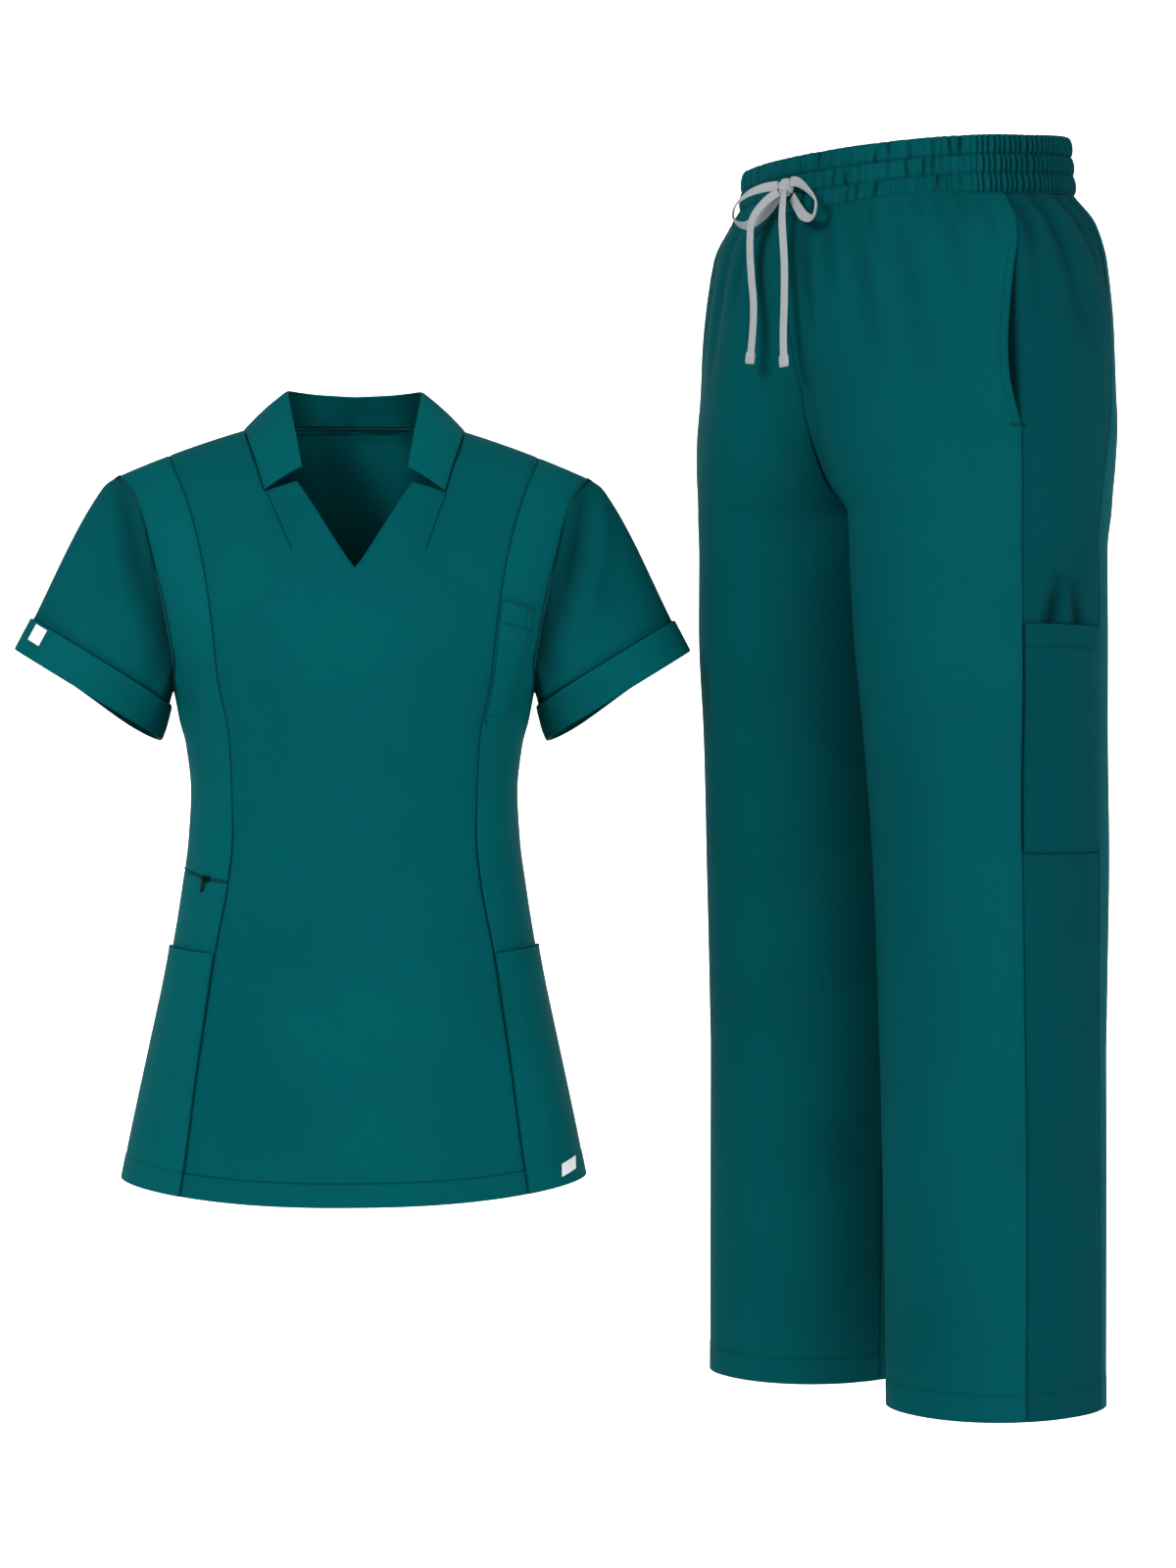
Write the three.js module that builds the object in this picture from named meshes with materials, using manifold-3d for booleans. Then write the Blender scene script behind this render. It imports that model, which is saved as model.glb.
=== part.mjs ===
// Medical scrubs: a short-sleeved V-neck tunic beside drawstring trousers, both filled out and hollow.
// Units are millimetres, +Z is up, and the front view looks along +Y.
// The origin is the middle of the tunic at the height of its neck and shoulder points.

import * as THREE from "three";
import { mergeVertices } from "three/addons/utils/BufferGeometryUtils.js";
import Module from "manifold-3d";

const wasm = await Module();
wasm.setup();

// Driving dimensions
const CLOTH = 1.4; // thickness of a cloth wall
const DOUBLE_CLOTH = 1.9; // thickness of a turned-up or doubled piece
const SEAM_GAP = 0.3; // between two pieces at a seam
const TUNIC_TURN = 3.9; // degrees about Z
const TROUSERS_TURN = -51.8; // degrees about Z
const TROUSERS_X = 447; // middle of the trousers, to the tunic's left side

// Tunic: half width, and how far front and back stand from the middle, by height
const TUNIC_SECTIONS = [
  { height: 20, half_width: 220, front: 106, back: 104 },
  { height: -38, half_width: 208, front: 107, back: 104 },
  { height: -60, half_width: 202, front: 109, back: 104 },
  { height: -100, half_width: 190, front: 113, back: 104 },
  { height: -140, half_width: 175, front: 117, back: 101 },
  { height: -170, half_width: 163, front: 119, back: 98 },
  { height: -194, half_width: 153.5, front: 119, back: 95 },
  { height: -212, half_width: 147, front: 117, back: 92 },
  { height: -237, half_width: 142, front: 113, back: 88 },
  { height: -256, half_width: 137, front: 109, back: 85 },
  { height: -294, half_width: 133, front: 102, back: 82 },
  { height: -333, half_width: 135, front: 101, back: 84 },
  { height: -371, half_width: 140, front: 105, back: 92 },
  { height: -418, half_width: 147.5, front: 113, back: 104 },
  { height: -486, half_width: 162, front: 119, back: 113 },
  { height: -563, half_width: 178.5, front: 122, back: 118 },
  { height: -625, half_width: 191, front: 125, back: 122 },
];
const TUNIC_ROUNDNESS = 2.3; // 2 is an ellipse, more is squarer
const SHOULDER_RISE_FROM = -200; // above this the front and back close towards the shoulder line
const UNDERARM = -212; // top of the side seam
const SHOULDER_CLOSE = 0.0006; // front and back end this far below the shoulder line
const SHOULDER_SLOPE = 0.3; // fall of the shoulder line at the neck
const SHOULDER_CURVE = 0.0007; // how much steeper it falls further out
const NECK_RISE = 30; // how much steeper the cloth stands round the neck
const SHOULDER_TIP = 188.8; // half width at the top of the armhole
const NECK_POINT = 89.2; // half width where neck and shoulder meet
const HEM_SIDE = -606;
const HEM_DROP_FRONT = 13; // lower than the sides at the middle
const HEM_DROP_BACK = 9;

// Princess seam: distance from the middle, by height
const PRINCESS_SEAM = [
  { height: 20, from_middle: 160 },
  { height: -21, from_middle: 150 },
  { height: -59, from_middle: 134.6 },
  { height: -90, from_middle: 125.4 },
  { height: -122, from_middle: 118.5 },
  { height: -160, from_middle: 113 },
  { height: -203, from_middle: 108.5 },
  { height: -257, from_middle: 99 },
  { height: -327, from_middle: 97 },
  { height: -365, from_middle: 100.5 },
  { height: -417, from_middle: 110 },
  { height: -471, from_middle: 118 },
  { height: -524, from_middle: 125.5 },
  { height: -576, from_middle: 132 },
  { height: -625, from_middle: 139 },
];

// Armhole seam as the front view shows it
const ARMHOLE_SEAM = [
  { height: -38, from_middle: 188.8 },
  { height: -54, from_middle: 177 },
  { height: -81, from_middle: 167.5 },
  { height: -107, from_middle: 161 },
  { height: -136, from_middle: 153.6 },
  { height: -166, from_middle: 147.8 },
  { height: -194, from_middle: 144 },
  { height: -212, from_middle: 147 },
];

// Front neck edge, from the bottom of the V, over the notch and up the collar seam
const NECK_EDGE_FRONT = [
  { from_middle: 0, height: -117.7 },
  { from_middle: 22.9, height: -83 },
  { from_middle: 45.8, height: -47.3 },
  { from_middle: 59, height: -51 },
  { from_middle: 72.2, height: -55 },
  { from_middle: 78.4, height: -34.7 },
  { from_middle: 83.5, height: -20.5 },
  { from_middle: 87, height: -10 },
  { from_middle: NECK_POINT, height: -0.001 },
];
const NECK_EDGE_BACK = [
  { from_middle: 0, height: 7 },
  { from_middle: 20, height: 6.8 },
  { from_middle: 40, height: 6 },
  { from_middle: 60, height: 4.4 },
  { from_middle: 77, height: 2.2 },
  { from_middle: NECK_POINT, height: -0.001 },
];
const SHOULDER_COLUMNS = [111, 131];
const PRINCESS_TOP = 150; // from the middle, where the princess seam meets the shoulder

// Collar, half of it, from its front end round to the middle of the back
const COLLAR_ROWS = [
  { share: 0, seam_x: 72.2, seam_z: -55, side: -1, top_x: 42, top_y: -70, top_z: -35.2 },
  { share: 0.16, seam_x: 78.4, seam_z: -34.7, side: -1, top_x: 46, top_y: -51, top_z: -13 },
  { share: 0.32, seam_x: 86.6, seam_z: -10.5, side: -1, top_x: 51, top_y: -28, top_z: 12 },
  { share: 0.46, seam_x: 89.2, seam_z: 0, side: -1, top_x: 54.8, top_y: -4, top_z: 31 },
  { share: 0.6, seam_x: 79, seam_z: 2, side: 1, top_x: 50, top_y: 11, top_z: 33 },
  { share: 0.8, seam_x: 45, seam_z: 5.7, side: 1, top_x: 28, top_y: 23, top_z: 31.6 },
  { share: 1, seam_x: 0, seam_z: 7, side: 1, top_x: 0, top_y: 29, top_z: 30.8 },
];
const COLLAR_THICKNESS = 2.2;

// Sleeves: the hem is a tilted oval; the cuff covers its last stretch
const SLEEVE_HEM = { x: 215.4, y: -3, z: -215, half_width: 67.5, half_depth: 42, rise: 31.3 };
const SLEEVE_AXIS_TILT = 30; // degrees from straight down, outwards
const SLEEVE_LEAVES_TOP = { out: 0.95, down: -0.34, reach: 85 }; // at the shoulder
const SLEEVE_LEAVES_LOW = { out: 0.45, down: -0.9, reach: 26 }; // at the underarm
const SLEEVE_FOLDS = [
  { at: 62, width: 17, depth: 2.6 },
  { at: 132, width: 15, depth: 3.2 },
  { at: 228, width: 15, depth: 3 },
  { at: 298, width: 17, depth: 2.6 },
];
const CUFF_DEPTH = 28;

// Pockets of the tunic
const CHEST_POCKET_EDGE = [
  { height: -144, from_middle: 143 },
  { height: -160, from_middle: 141.5 },
  { height: -174, from_middle: 139.5 },
  { height: -197, from_middle: 133 },
  { height: -221, from_middle: 125.2 },
  { height: -231, from_middle: 121.7 },
];
const ZIP_LINE = [
  { from_middle: 0, height: -374 },
  { from_middle: 101, height: -365.6 },
  { from_middle: 119.8, height: -363 },
  { from_middle: 131, height: -359 },
  { from_middle: 145, height: -355 },
];
const ZIP_SLOT = 2.4;
const SLIDER_FROM_MIDDLE = 117.6;
const ZIP = {
  tape_half: 6, tape_behind: 0.6, tape_cloth: 0.8,
  stem_length: 4.5, stem_width: 1.5, stem_from: -3.1, stem_to: 0.9,
  slider_length: 7, slider_width: 4.6, slider_above: 0.6, slider_top: 1.9,
  post: 0.9, post_at: 2.6, pin_radius: 0.45, axis: 3.7,
  eye_radius: 1.4, eye_hole: 0.85, pull_width: 3, pull_length: 9.5, pull_thickness: 0.9, pull_droop: 14,
};

const CUFF_STAND_OFF = 0.6; // from the sleeve under it
const MOUTH_GAPE = 2; // of a hip pocket
const CHEST_POCKET = {
  inner_top: -141, outer_top: -147.7, inner_bottom: -236.2, outer_bottom: -230.8,
  from_seam: 1.5, point: 4.5, cloth: 1.2, stand_off: 0.6,
};
const HEM_LABEL = { x: 175, height: -595, half_width: 5.4, half_height: 5, tilt: 2.2 };
const CUFF_LABEL = { from: 15, to: 34, upper: 0.12, lower: 0.6 };
const LABEL_CLOTH = 0.6;

// Trousers: outer and inner edge of a leg from the middle, front and back depth, by height.
// Where the inner edge is below zero the two halves run together.
const TROUSER_SECTIONS = [
  { height: 176, outer: 141, inner: -141, front: 123, back: 130 },
  { height: 150, outer: 165, inner: -165, front: 133, back: 141 },
  { height: 120, outer: 177, inner: -177, front: 138, back: 144 },
  { height: 60, outer: 185, inner: -185, front: 140, back: 145 },
  { height: 25, outer: 186, inner: -158, front: 138, back: 142 },
  { height: 0, outer: 185, inner: -112, front: 135, back: 138 },
  { height: -30, outer: 182, inner: -63, front: 129, back: 129 },
  { height: -55, outer: 179, inner: -27, front: 122, back: 120 },
  { height: -75, outer: 176, inner: 0.2, front: 118, back: 114 },
  { height: -100, outer: 174, inner: 4, front: 117, back: 110 },
  { height: -160, outer: 173, inner: 10, front: 116, back: 109 },
  { height: -250, outer: 175, inner: 14, front: 107, back: 105 },
  { height: -352, outer: 180, inner: 18, front: 99, back: 101 },
  { height: -455, outer: 183, inner: 20, front: 94, back: 96 },
  { height: -600, outer: 187, inner: 24, front: 90, back: 91 },
  { height: -800, outer: 189, inner: 27, front: 88, back: 87 },
];
const TROUSER_ROUNDNESS = 2.15;
const TROUSER_ROWS = [
  176, 167, 153, 134, 108, 76, 46, 25, 8, -12, -32, -49, -62, -70, -75,
  -92, -124, -164, -222, -281, -341, -450, -590, -778,
];
const WAIST_DROP_FRONT = 11; // the waist is this much lower than its sides at the front
const WAIST_RISE_BACK = 17; // and this much higher at the back
const WAIST_SEAM = 176; // height of the waistband's seam at the sides
const BAND_DEPTH = 46;
const BAND_TAPER = 4; // the band is this much narrower at its top
const BAND_THICKNESS = 2.4;
const TIER_CROWN = 1.4; // how far each of the three tiers swells

// Side panel seams, in degrees round the leg from its front
const SIDE_PANEL_SEAMS = [
  { height: 200, front: 75, back: 119 },
  { height: 60, front: 73, back: 116 },
  { height: -10, front: 73, back: 115 },
  { height: -164, front: 75, back: 122 },
  { height: -352, front: 69, back: 118 },
  { height: -600, front: 66, back: 116 },
  { height: -800, front: 64, back: 116 },
];
const CARGO_FROM_ROW = 17;
const CARGO_TO_ROW = 20;
const CARGO_BAG = 2.5; // how far the pocket stands off in its middle
const POCKET_FROM_ROW = 3; // the slanted mouth runs from this row down
const POCKET_TO_ROW = 9;
const POCKET_OPEN = 7; // how far the front panel's edge stands off at the mouth
const POCKET_UNDER = 7; // degrees that the side panel runs on under the mouth

// Gathers in the waistband
const FRONT_GATHERS = [
  { at: -58, width: 5, depth: 1.0 }, { at: -51, width: 4, depth: 0.8 }, { at: -45, width: 5, depth: 1.1 },
  { at: -37, width: 4, depth: 0.7 }, { at: -31, width: 5, depth: 1.0 }, { at: -24, width: 4, depth: 0.6 },
  { at: -17, width: 5, depth: 0.8 }, { at: -10, width: 4, depth: 0.7 }, { at: -3, width: 5, depth: 0.8 },
  { at: 5, width: 4, depth: 0.7 }, { at: 11, width: 5, depth: 1.0 }, { at: 19, width: 5, depth: 0.6 },
  { at: 26, width: 4, depth: 0.9 }, { at: 33, width: 5, depth: 1.1 }, { at: 40, width: 5, depth: 0.7 },
  { at: 46, width: 4, depth: 1.0 }, { at: 53, width: 5, depth: 0.8 }, { at: 60, width: 4, depth: 1.1 },
  { at: 66, width: 4, depth: 0.8 },
];
const SHIRRING_FROM = 70; // degrees from the middle of the front
const SHIRRING_RIBS = 92;
const SHIRRING_DEPTH = 1.3;

// Drawstring: a flat tape tied in a bow. Points are in the trousers' own frame.
const TAPE_WIDTH = 8;
const TAPE_THICKNESS = 2.2;
const KNOT = { x: 1, y: -127.6, z: 185, half_width: 7.3, half_depth: 5, half_height: 7.6 };
const LEFT_LOOP = [
  { x: -6.7, y: -129, z: 187.6 }, { x: -19, y: -135, z: 186.5 }, { x: -34, y: -142, z: 183 },
  { x: -44.5, y: -145.5, z: 173 }, { x: -41, y: -145, z: 161.5 }, { x: -31, y: -139, z: 162.5 },
  { x: -20, y: -130, z: 173 }, { x: -7.1, y: -125.6, z: 181.2 },
];
const RIGHT_LOOP = [
  { x: 8.8, y: -129, z: 188.2 }, { x: 22, y: -134, z: 186 }, { x: 39, y: -138.5, z: 177.5 },
  { x: 51, y: -140.5, z: 165.5 }, { x: 46, y: -139, z: 154.5 }, { x: 31, y: -134.5, z: 157.5 },
  { x: 17, y: -129, z: 167 }, { x: 6.9, y: -125.8, z: 176.8 },
];
const LEFT_TAIL = [
  { x: -3.8, y: -131.4, z: 181.6 }, { x: -11.5, y: -137.6, z: 174.8 }, { x: -20.5, y: -143.5, z: 161.5 },
  { x: -22.7, y: -144.5, z: 144 }, { x: -21.5, y: -144, z: 115.5 }, { x: -19.5, y: -143.5, z: 95 },
  { x: -20, y: -143.5, z: 76 }, { x: -23.9, y: -143.5, z: 46.4 },
];
const RIGHT_TAIL = [
  { x: 4, y: -132.2, z: 180.9 }, { x: 9.2, y: -137.8, z: 171.8 }, { x: 13.5, y: -142.5, z: 157 },
  { x: 17.8, y: -144, z: 123 }, { x: 17.3, y: -143.5, z: 93.4 }, { x: 16.1, y: -143.5, z: 62 },
  { x: 17.3, y: -143.5, z: 40.2 },
];
const LOOP_STEPS = 16;
const TAIL_STEPS = 11;

// Colours as the cloth shows them
const TEAL = 0x09585d;
const TEAL_SIDE = 0x0f5e63;
const TEAL_DARK = 0x05545a;
const GREY_TAPE = 0xaeb2b4;
const DARK_METAL = 0x20282a;
const LABEL_WHITE = 0xf2f3f2;

const radians = THREE.MathUtils.degToRad;
const part = new THREE.Group();

// A smooth curve through one column of a table, read by its key column
function curveOf(rows, key, value) {
  const sorted = [...rows].sort((a, b) => a[key] - b[key]);
  const at = sorted.map((row) => row[key]);
  const y = sorted.map((row) => row[value]);
  const last = at.length - 1;
  const rise = at.slice(1).map((x, i) => (y[i + 1] - y[i]) / (x - at[i]));
  const slope = y.map((_, i) => {
    if (i === 0) return rise[0];
    if (i === last) return rise[last - 1];
    if (rise[i - 1] * rise[i] <= 0) return 0;
    return (2 * rise[i - 1] * rise[i]) / (rise[i - 1] + rise[i]);
  });
  return (x) => {
    if (x <= at[0]) return y[0] + (x - at[0]) * slope[0];
    if (x >= at[last]) return y[last] + (x - at[last]) * slope[last];
    let i = 0;
    while (x > at[i + 1]) i += 1;
    const span = at[i + 1] - at[i];
    const t = (x - at[i]) / span;
    const t2 = t * t;
    const t3 = t2 * t;
    const fromStart = (2 * t3 - 3 * t2 + 1) * y[i] + (t3 - 2 * t2 + t) * span * slope[i];
    const fromEnd = (3 * t2 - 2 * t3) * y[i + 1] + (t3 - t2) * span * slope[i + 1];
    return fromStart + fromEnd;
  };
}

const mix = THREE.MathUtils.lerp;
const signedPower = (value, power) => Math.sign(value) * Math.abs(value) ** power;

function steps(count) {
  return Array.from({ length: count + 1 }, (_, i) => i / count);
}

// A closed wall between two grids of points, outer[row][column] and inner[row][column].
// Both have as many columns; a ring joins its last column to its first, and its grids may differ in rows.
function wall(outer, inner, isRing = false) {
  const columns = outer[0].length;
  const points = [...outer.flat(), ...inner.flat()];
  const offset = outer.length * columns;
  const lastOuter = outer.length - 1;
  const lastInner = inner.length - 1;
  const index = [];
  const quad = (a, b, c, d) => index.push(a, b, c, a, c, d);
  const out = (r, c) => r * columns + (c % columns);
  const inn = (r, c) => offset + out(r, c);
  const strips = isRing ? columns : columns - 1;
  for (let c = 0; c < strips; c += 1) {
    for (let r = 0; r < lastOuter; r += 1) {
      quad(out(r, c), out(r, c + 1), out(r + 1, c + 1), out(r + 1, c));
    }
    for (let r = 0; r < lastInner; r += 1) {
      quad(inn(r, c), inn(r + 1, c), inn(r + 1, c + 1), inn(r, c + 1));
    }
    quad(out(0, c), inn(0, c), inn(0, c + 1), out(0, c + 1));
    quad(out(lastOuter, c), out(lastOuter, c + 1), inn(lastInner, c + 1), inn(lastInner, c));
  }
  if (!isRing) {
    for (let r = 0; r < lastOuter; r += 1) {
      quad(out(r, 0), out(r + 1, 0), inn(r + 1, 0), inn(r, 0));
      quad(out(r, strips), inn(r, strips), inn(r + 1, strips), out(r + 1, strips));
    }
  }
  const geometry = new THREE.BufferGeometry();
  const position = new THREE.Float32BufferAttribute(points.flatMap((p) => [p.x, p.y, p.z]), 3);
  geometry.setAttribute("position", position);
  geometry.setIndex(signedVolume(points, index) < 0 ? index.reverse() : index);
  return geometry;
}

function signedVolume(points, index) {
  let volume = 0;
  for (let i = 0; i < index.length; i += 3) {
    const [a, b, c] = [points[index[i]], points[index[i + 1]], points[index[i + 2]]];
    volume += a.dot(new THREE.Vector3().crossVectors(b, c));
  }
  return volume;
}

// Points of a surface at every row and column, with the way out of the cloth at each
function surveyed(surface, grid) {
  const nudge = 0.4;
  return grid.map((row) => row.map(({ u, v }) => {
    const point = surface(u, v);
    const along = surface(u + nudge, v).sub(surface(u - nudge, v));
    const up = surface(u, v + nudge).sub(surface(u, v - nudge));
    return { point, normal: along.cross(up).normalize(), u, v };
  }));
}

// Draws the edges of a survey back by half a seam gap, so that two pieces leave a gap between them
function drawnBack(survey, edges) {
  const trim = SEAM_GAP / 2;
  const rows = survey.length;
  const columns = survey[0].length;
  const moved = (from, to) => {
    const way = to.point.clone().sub(from.point).normalize().multiplyScalar(trim);
    return { ...from, point: from.point.clone().add(way) };
  };
  const copy = survey.map((row) => [...row]);
  for (let r = 0; r < rows; r += 1) {
    if (edges.first) copy[r][0] = moved(survey[r][0], survey[r][1]);
    if (edges.last) copy[r][columns - 1] = moved(survey[r][columns - 1], survey[r][columns - 2]);
  }
  for (let c = 0; c < columns; c += 1) {
    if (edges.bottom) copy[0][c] = moved(copy[0][c], copy[1][c]);
    if (edges.top) copy[rows - 1][c] = moved(copy[rows - 1][c], copy[rows - 2][c]);
  }
  return copy;
}

// A wall from a survey: its outer face stands off by `outer`, its inner face by `inner`,
// `lift` adds to both where the cloth is folded or gapes, and `keep` holds points on their side of a seam
function cloth(survey, outer, inner, { lift = () => 0, keep = () => {}, isRing = false } = {}) {
  const moved = (offset) => survey.map((row, r) => row.map((spot, c) => {
    const total = offset + lift(spot, r, c);
    const point = spot.point.clone().addScaledVector(spot.normal, total);
    keep(point);
    return point;
  }));
  return wall(moved(outer), moved(inner), isRing);
}

// Front and back meet at the side seams and over the shoulders, on the plane y = 0
const inFront = { keep: (point) => { point.y = Math.min(point.y, -SEAM_GAP / 2); } };
const behind = { keep: (point) => { point.y = Math.max(point.y, SEAM_GAP / 2); } };

function addPiece(group, name, geometry, color, roughness = 0.85, metalness = 0) {
  const material = new THREE.MeshStandardMaterial({ color, roughness, metalness });
  const piece = new THREE.Mesh(geometry, material);
  piece.name = name;
  group.add(piece);
  return piece;
}

// Mirrors a geometry across the middle, with its faces still pointing out
function mirrored(geometry) {
  const copy = geometry.clone();
  copy.scale(-1, 1, 1);
  copy.setIndex([...copy.index.array].reverse());
  return copy;
}

// The tunic's surface: u is degrees round the body, 0 at the front and 180 at the back, and v is height
const tunicHalfWidth = curveOf(TUNIC_SECTIONS, "height", "half_width");
const tunicFront = curveOf(TUNIC_SECTIONS, "height", "front");
const tunicBack = curveOf(TUNIC_SECTIONS, "height", "back");
const princessAt = curveOf(PRINCESS_SEAM, "height", "from_middle");
const armholeAt = curveOf(ARMHOLE_SEAM, "height", "from_middle");
const zipHeightAt = curveOf(ZIP_LINE, "from_middle", "height");

// Height at which front and back meet over the shoulder, and where they would over the neck
function shoulderHeight(x) {
  const out = Math.abs(x) - NECK_POINT;
  if (out > 0) return -SHOULDER_SLOPE * out - SHOULDER_CURVE * out * out;
  const inside = 1 - (x / NECK_POINT) ** 2;
  return 0.5 * SHOULDER_SLOPE * NECK_POINT * inside + NECK_RISE * inside * inside;
}

function tunicPoint(u, v) {
  const power = 2 / TUNIC_ROUNDNESS;
  const x = tunicHalfWidth(v) * signedPower(Math.sin(radians(u)), power);
  const depth = Math.abs(u) < 90 ? tunicFront(v) : tunicBack(v);
  const share = (v - SHOULDER_RISE_FROM) / (shoulderHeight(x) - SHOULDER_RISE_FROM);
  const closing = share <= 0 ? 1 : Math.sqrt(Math.max(0, 1 - share * share));
  return new THREE.Vector3(x, -depth * closing * signedPower(Math.cos(radians(u)), power), v);
}

// Degrees round the body at a distance from the middle, on the front
function tunicAngle(x, height) {
  const share = THREE.MathUtils.clamp(x / tunicHalfWidth(height), -1, 1);
  return THREE.MathUtils.radToDeg(Math.asin(signedPower(share, TUNIC_ROUNDNESS / 2)));
}

const princessAngle = (height) => tunicAngle(princessAt(height), height);
const armholeAngle = (height) => (height <= UNDERARM ? 90 : tunicAngle(armholeAt(height), height));

const POCKET_ROW = 5; // the row of the hip pocket's mouth
const ZIP_ROW = 7; // the row of the zip
const SIDE_STRIPS = 4;
const SLEEVE_TOP = shoulderHeight(SHOULDER_TIP) - 0.003;
const LOWER_ROWS = [0, 0.09, 0.19, 0.29, 0.385, 0.475, 0.55, 0.62, 0.7, 0.79, 0.89, 1];
const UPPER_ROWS = steps(9).map((t) => (1 - Math.cos(Math.PI * t)) / 2).slice(1);

function hemHeight(u) {
  const drop = Math.abs(u) < 90 ? HEM_DROP_FRONT : HEM_DROP_BACK;
  return HEM_SIDE - drop * Math.cos(radians(u)) ** 2;
}

// Heights of one column, from the hem to its top; the row at the underarm is shared by all columns
function columnHeights(top, hem) {
  const split = Math.min(UNDERARM, top - 30);
  const lower = LOWER_ROWS.map((t) => mix(hem, split, t));
  const upper = UPPER_ROWS.map((t) => mix(split, top, t));
  return [...lower, ...upper];
}

// The shoulder line's height on a column that keeps its place between two seams
function shoulderTop(angleAt) {
  let height = -25;
  for (let i = 0; i < 40; i += 1) {
    height = shoulderHeight(tunicPoint(angleAt(height), Math.min(height, 0)).x);
  }
  return height - SHOULDER_CLOSE;
}

// Front columns from the middle to the princess seam, one for each corner of the neck edge
function frontColumns() {
  const neck = NECK_EDGE_FRONT.map(({ from_middle, height }) => {
    const share = tunicAngle(from_middle, height) / princessAngle(height);
    return { angleAt: (z) => share * princessAngle(z), top: height };
  });
  const shoulder = [...SHOULDER_COLUMNS, PRINCESS_TOP].map((x) => {
    const height = shoulderHeight(x);
    const share = x === PRINCESS_TOP ? 1 : tunicAngle(x, height) / princessAngle(height);
    const angleAt = (z) => share * princessAngle(z);
    return { angleAt, top: shoulderTop(angleAt) };
  });
  return [...neck, ...shoulder];
}

const oppositeColumn = ({ angleAt, top }) => ({ angleAt: (z) => -angleAt(z), top });

function sideColumns(count) {
  return steps(count).map((t) => {
    const angleAt = (z) => mix(princessAngle(z), armholeAngle(z), t);
    return { angleAt, top: t === 1 ? SLEEVE_TOP : shoulderTop(angleAt) };
  });
}

// Back columns from the middle to the side seam
function backColumns() {
  const neck = NECK_EDGE_BACK.map(({ from_middle, height }) => ({ x: from_middle, top: height }));
  const overSides = sideColumns(SIDE_STRIPS).slice(1, -1);
  const sideTops = overSides.map(({ angleAt, top }) => tunicPoint(angleAt(top), top).x);
  const shoulder = [...SHOULDER_COLUMNS, PRINCESS_TOP, ...sideTops]
    .map((x) => ({ x, top: shoulderHeight(x) - SHOULDER_CLOSE }));
  const columns = [...neck, ...shoulder].map(({ x, top }) => {
    const share = tunicAngle(x, top) / armholeAngle(top);
    return { angleAt: (z) => 180 - share * armholeAngle(z), top };
  });
  const armhole = { angleAt: (z) => 180 - armholeAngle(z), top: SLEEVE_TOP };
  return [...columns, armhole];
}

// The right side front is cut across at the zip; the zip's height replaces one of its rows
function zipCut(columns, offset) {
  return columns.map((column) => {
    const cut = columnHeights(column.top, hemHeight(column.angleAt(HEM_SIDE)));
    const middle = cut[ZIP_ROW];
    const height = zipHeightAt(tunicPoint(column.angleAt(middle), middle).x) + offset;
    return { ...column, zip: height };
  });
}

function bodyRows(columns, fromRow, toRow) {
  const grids = columns.map(({ angleAt, top, zip }) => {
    const heights = columnHeights(top, hemHeight(angleAt(HEM_SIDE)));
    if (zip !== undefined) heights[ZIP_ROW] = zip;
    return heights.slice(fromRow, toRow + 1).map((height) => ({ u: angleAt(height), v: height }));
  });
  return surveyed(tunicPoint, grids[0].map((_, r) => grids.map((column) => column[r])));
}

const LAST_ROW = LOWER_ROWS.length + UPPER_ROWS.length - 1;

function buildBody(tunic) {
  const half = frontColumns();
  const front = bodyRows([...half.slice(1).reverse().map(oppositeColumn), ...half], 0, LAST_ROW);
  const frontCut = drawnBack(front, { first: true, last: true, top: true });
  addPiece(tunic, "front_centre", cloth(frontCut, 0, -CLOTH, inFront), TEAL);

  const columns = sideColumns(SIDE_STRIPS);
  const left = drawnBack(bodyRows(columns, 0, LAST_ROW), { first: true, last: true, top: true });
  addPiece(tunic, "side_front_left", cloth(left, 0, -CLOTH, inFront), TEAL_SIDE);
  const upper = bodyRows(zipCut(columns, ZIP_SLOT / 2), ZIP_ROW, LAST_ROW);
  const upperCut = drawnBack(upper, { first: true, last: true, top: true });
  addPiece(tunic, "side_front_right_upper", mirrored(cloth(upperCut, 0, -CLOTH, inFront)), TEAL_SIDE);
  const lower = bodyRows(zipCut(columns, -ZIP_SLOT / 2), 0, ZIP_ROW);
  const lowerCut = drawnBack(lower, { first: true, last: true });
  addPiece(tunic, "side_front_right_lower", mirrored(cloth(lowerCut, 0, -CLOTH, inFront)), TEAL_SIDE);

  const backHalf = backColumns();
  const back = bodyRows([...backHalf.slice(1).reverse().map(oppositeColumn), ...backHalf], 0, LAST_ROW);
  const backCut = drawnBack(back, { first: true, last: true, top: true });
  addPiece(tunic, "back_panel", cloth(backCut, 0, -CLOTH, behind), TEAL_DARK);
}

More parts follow.
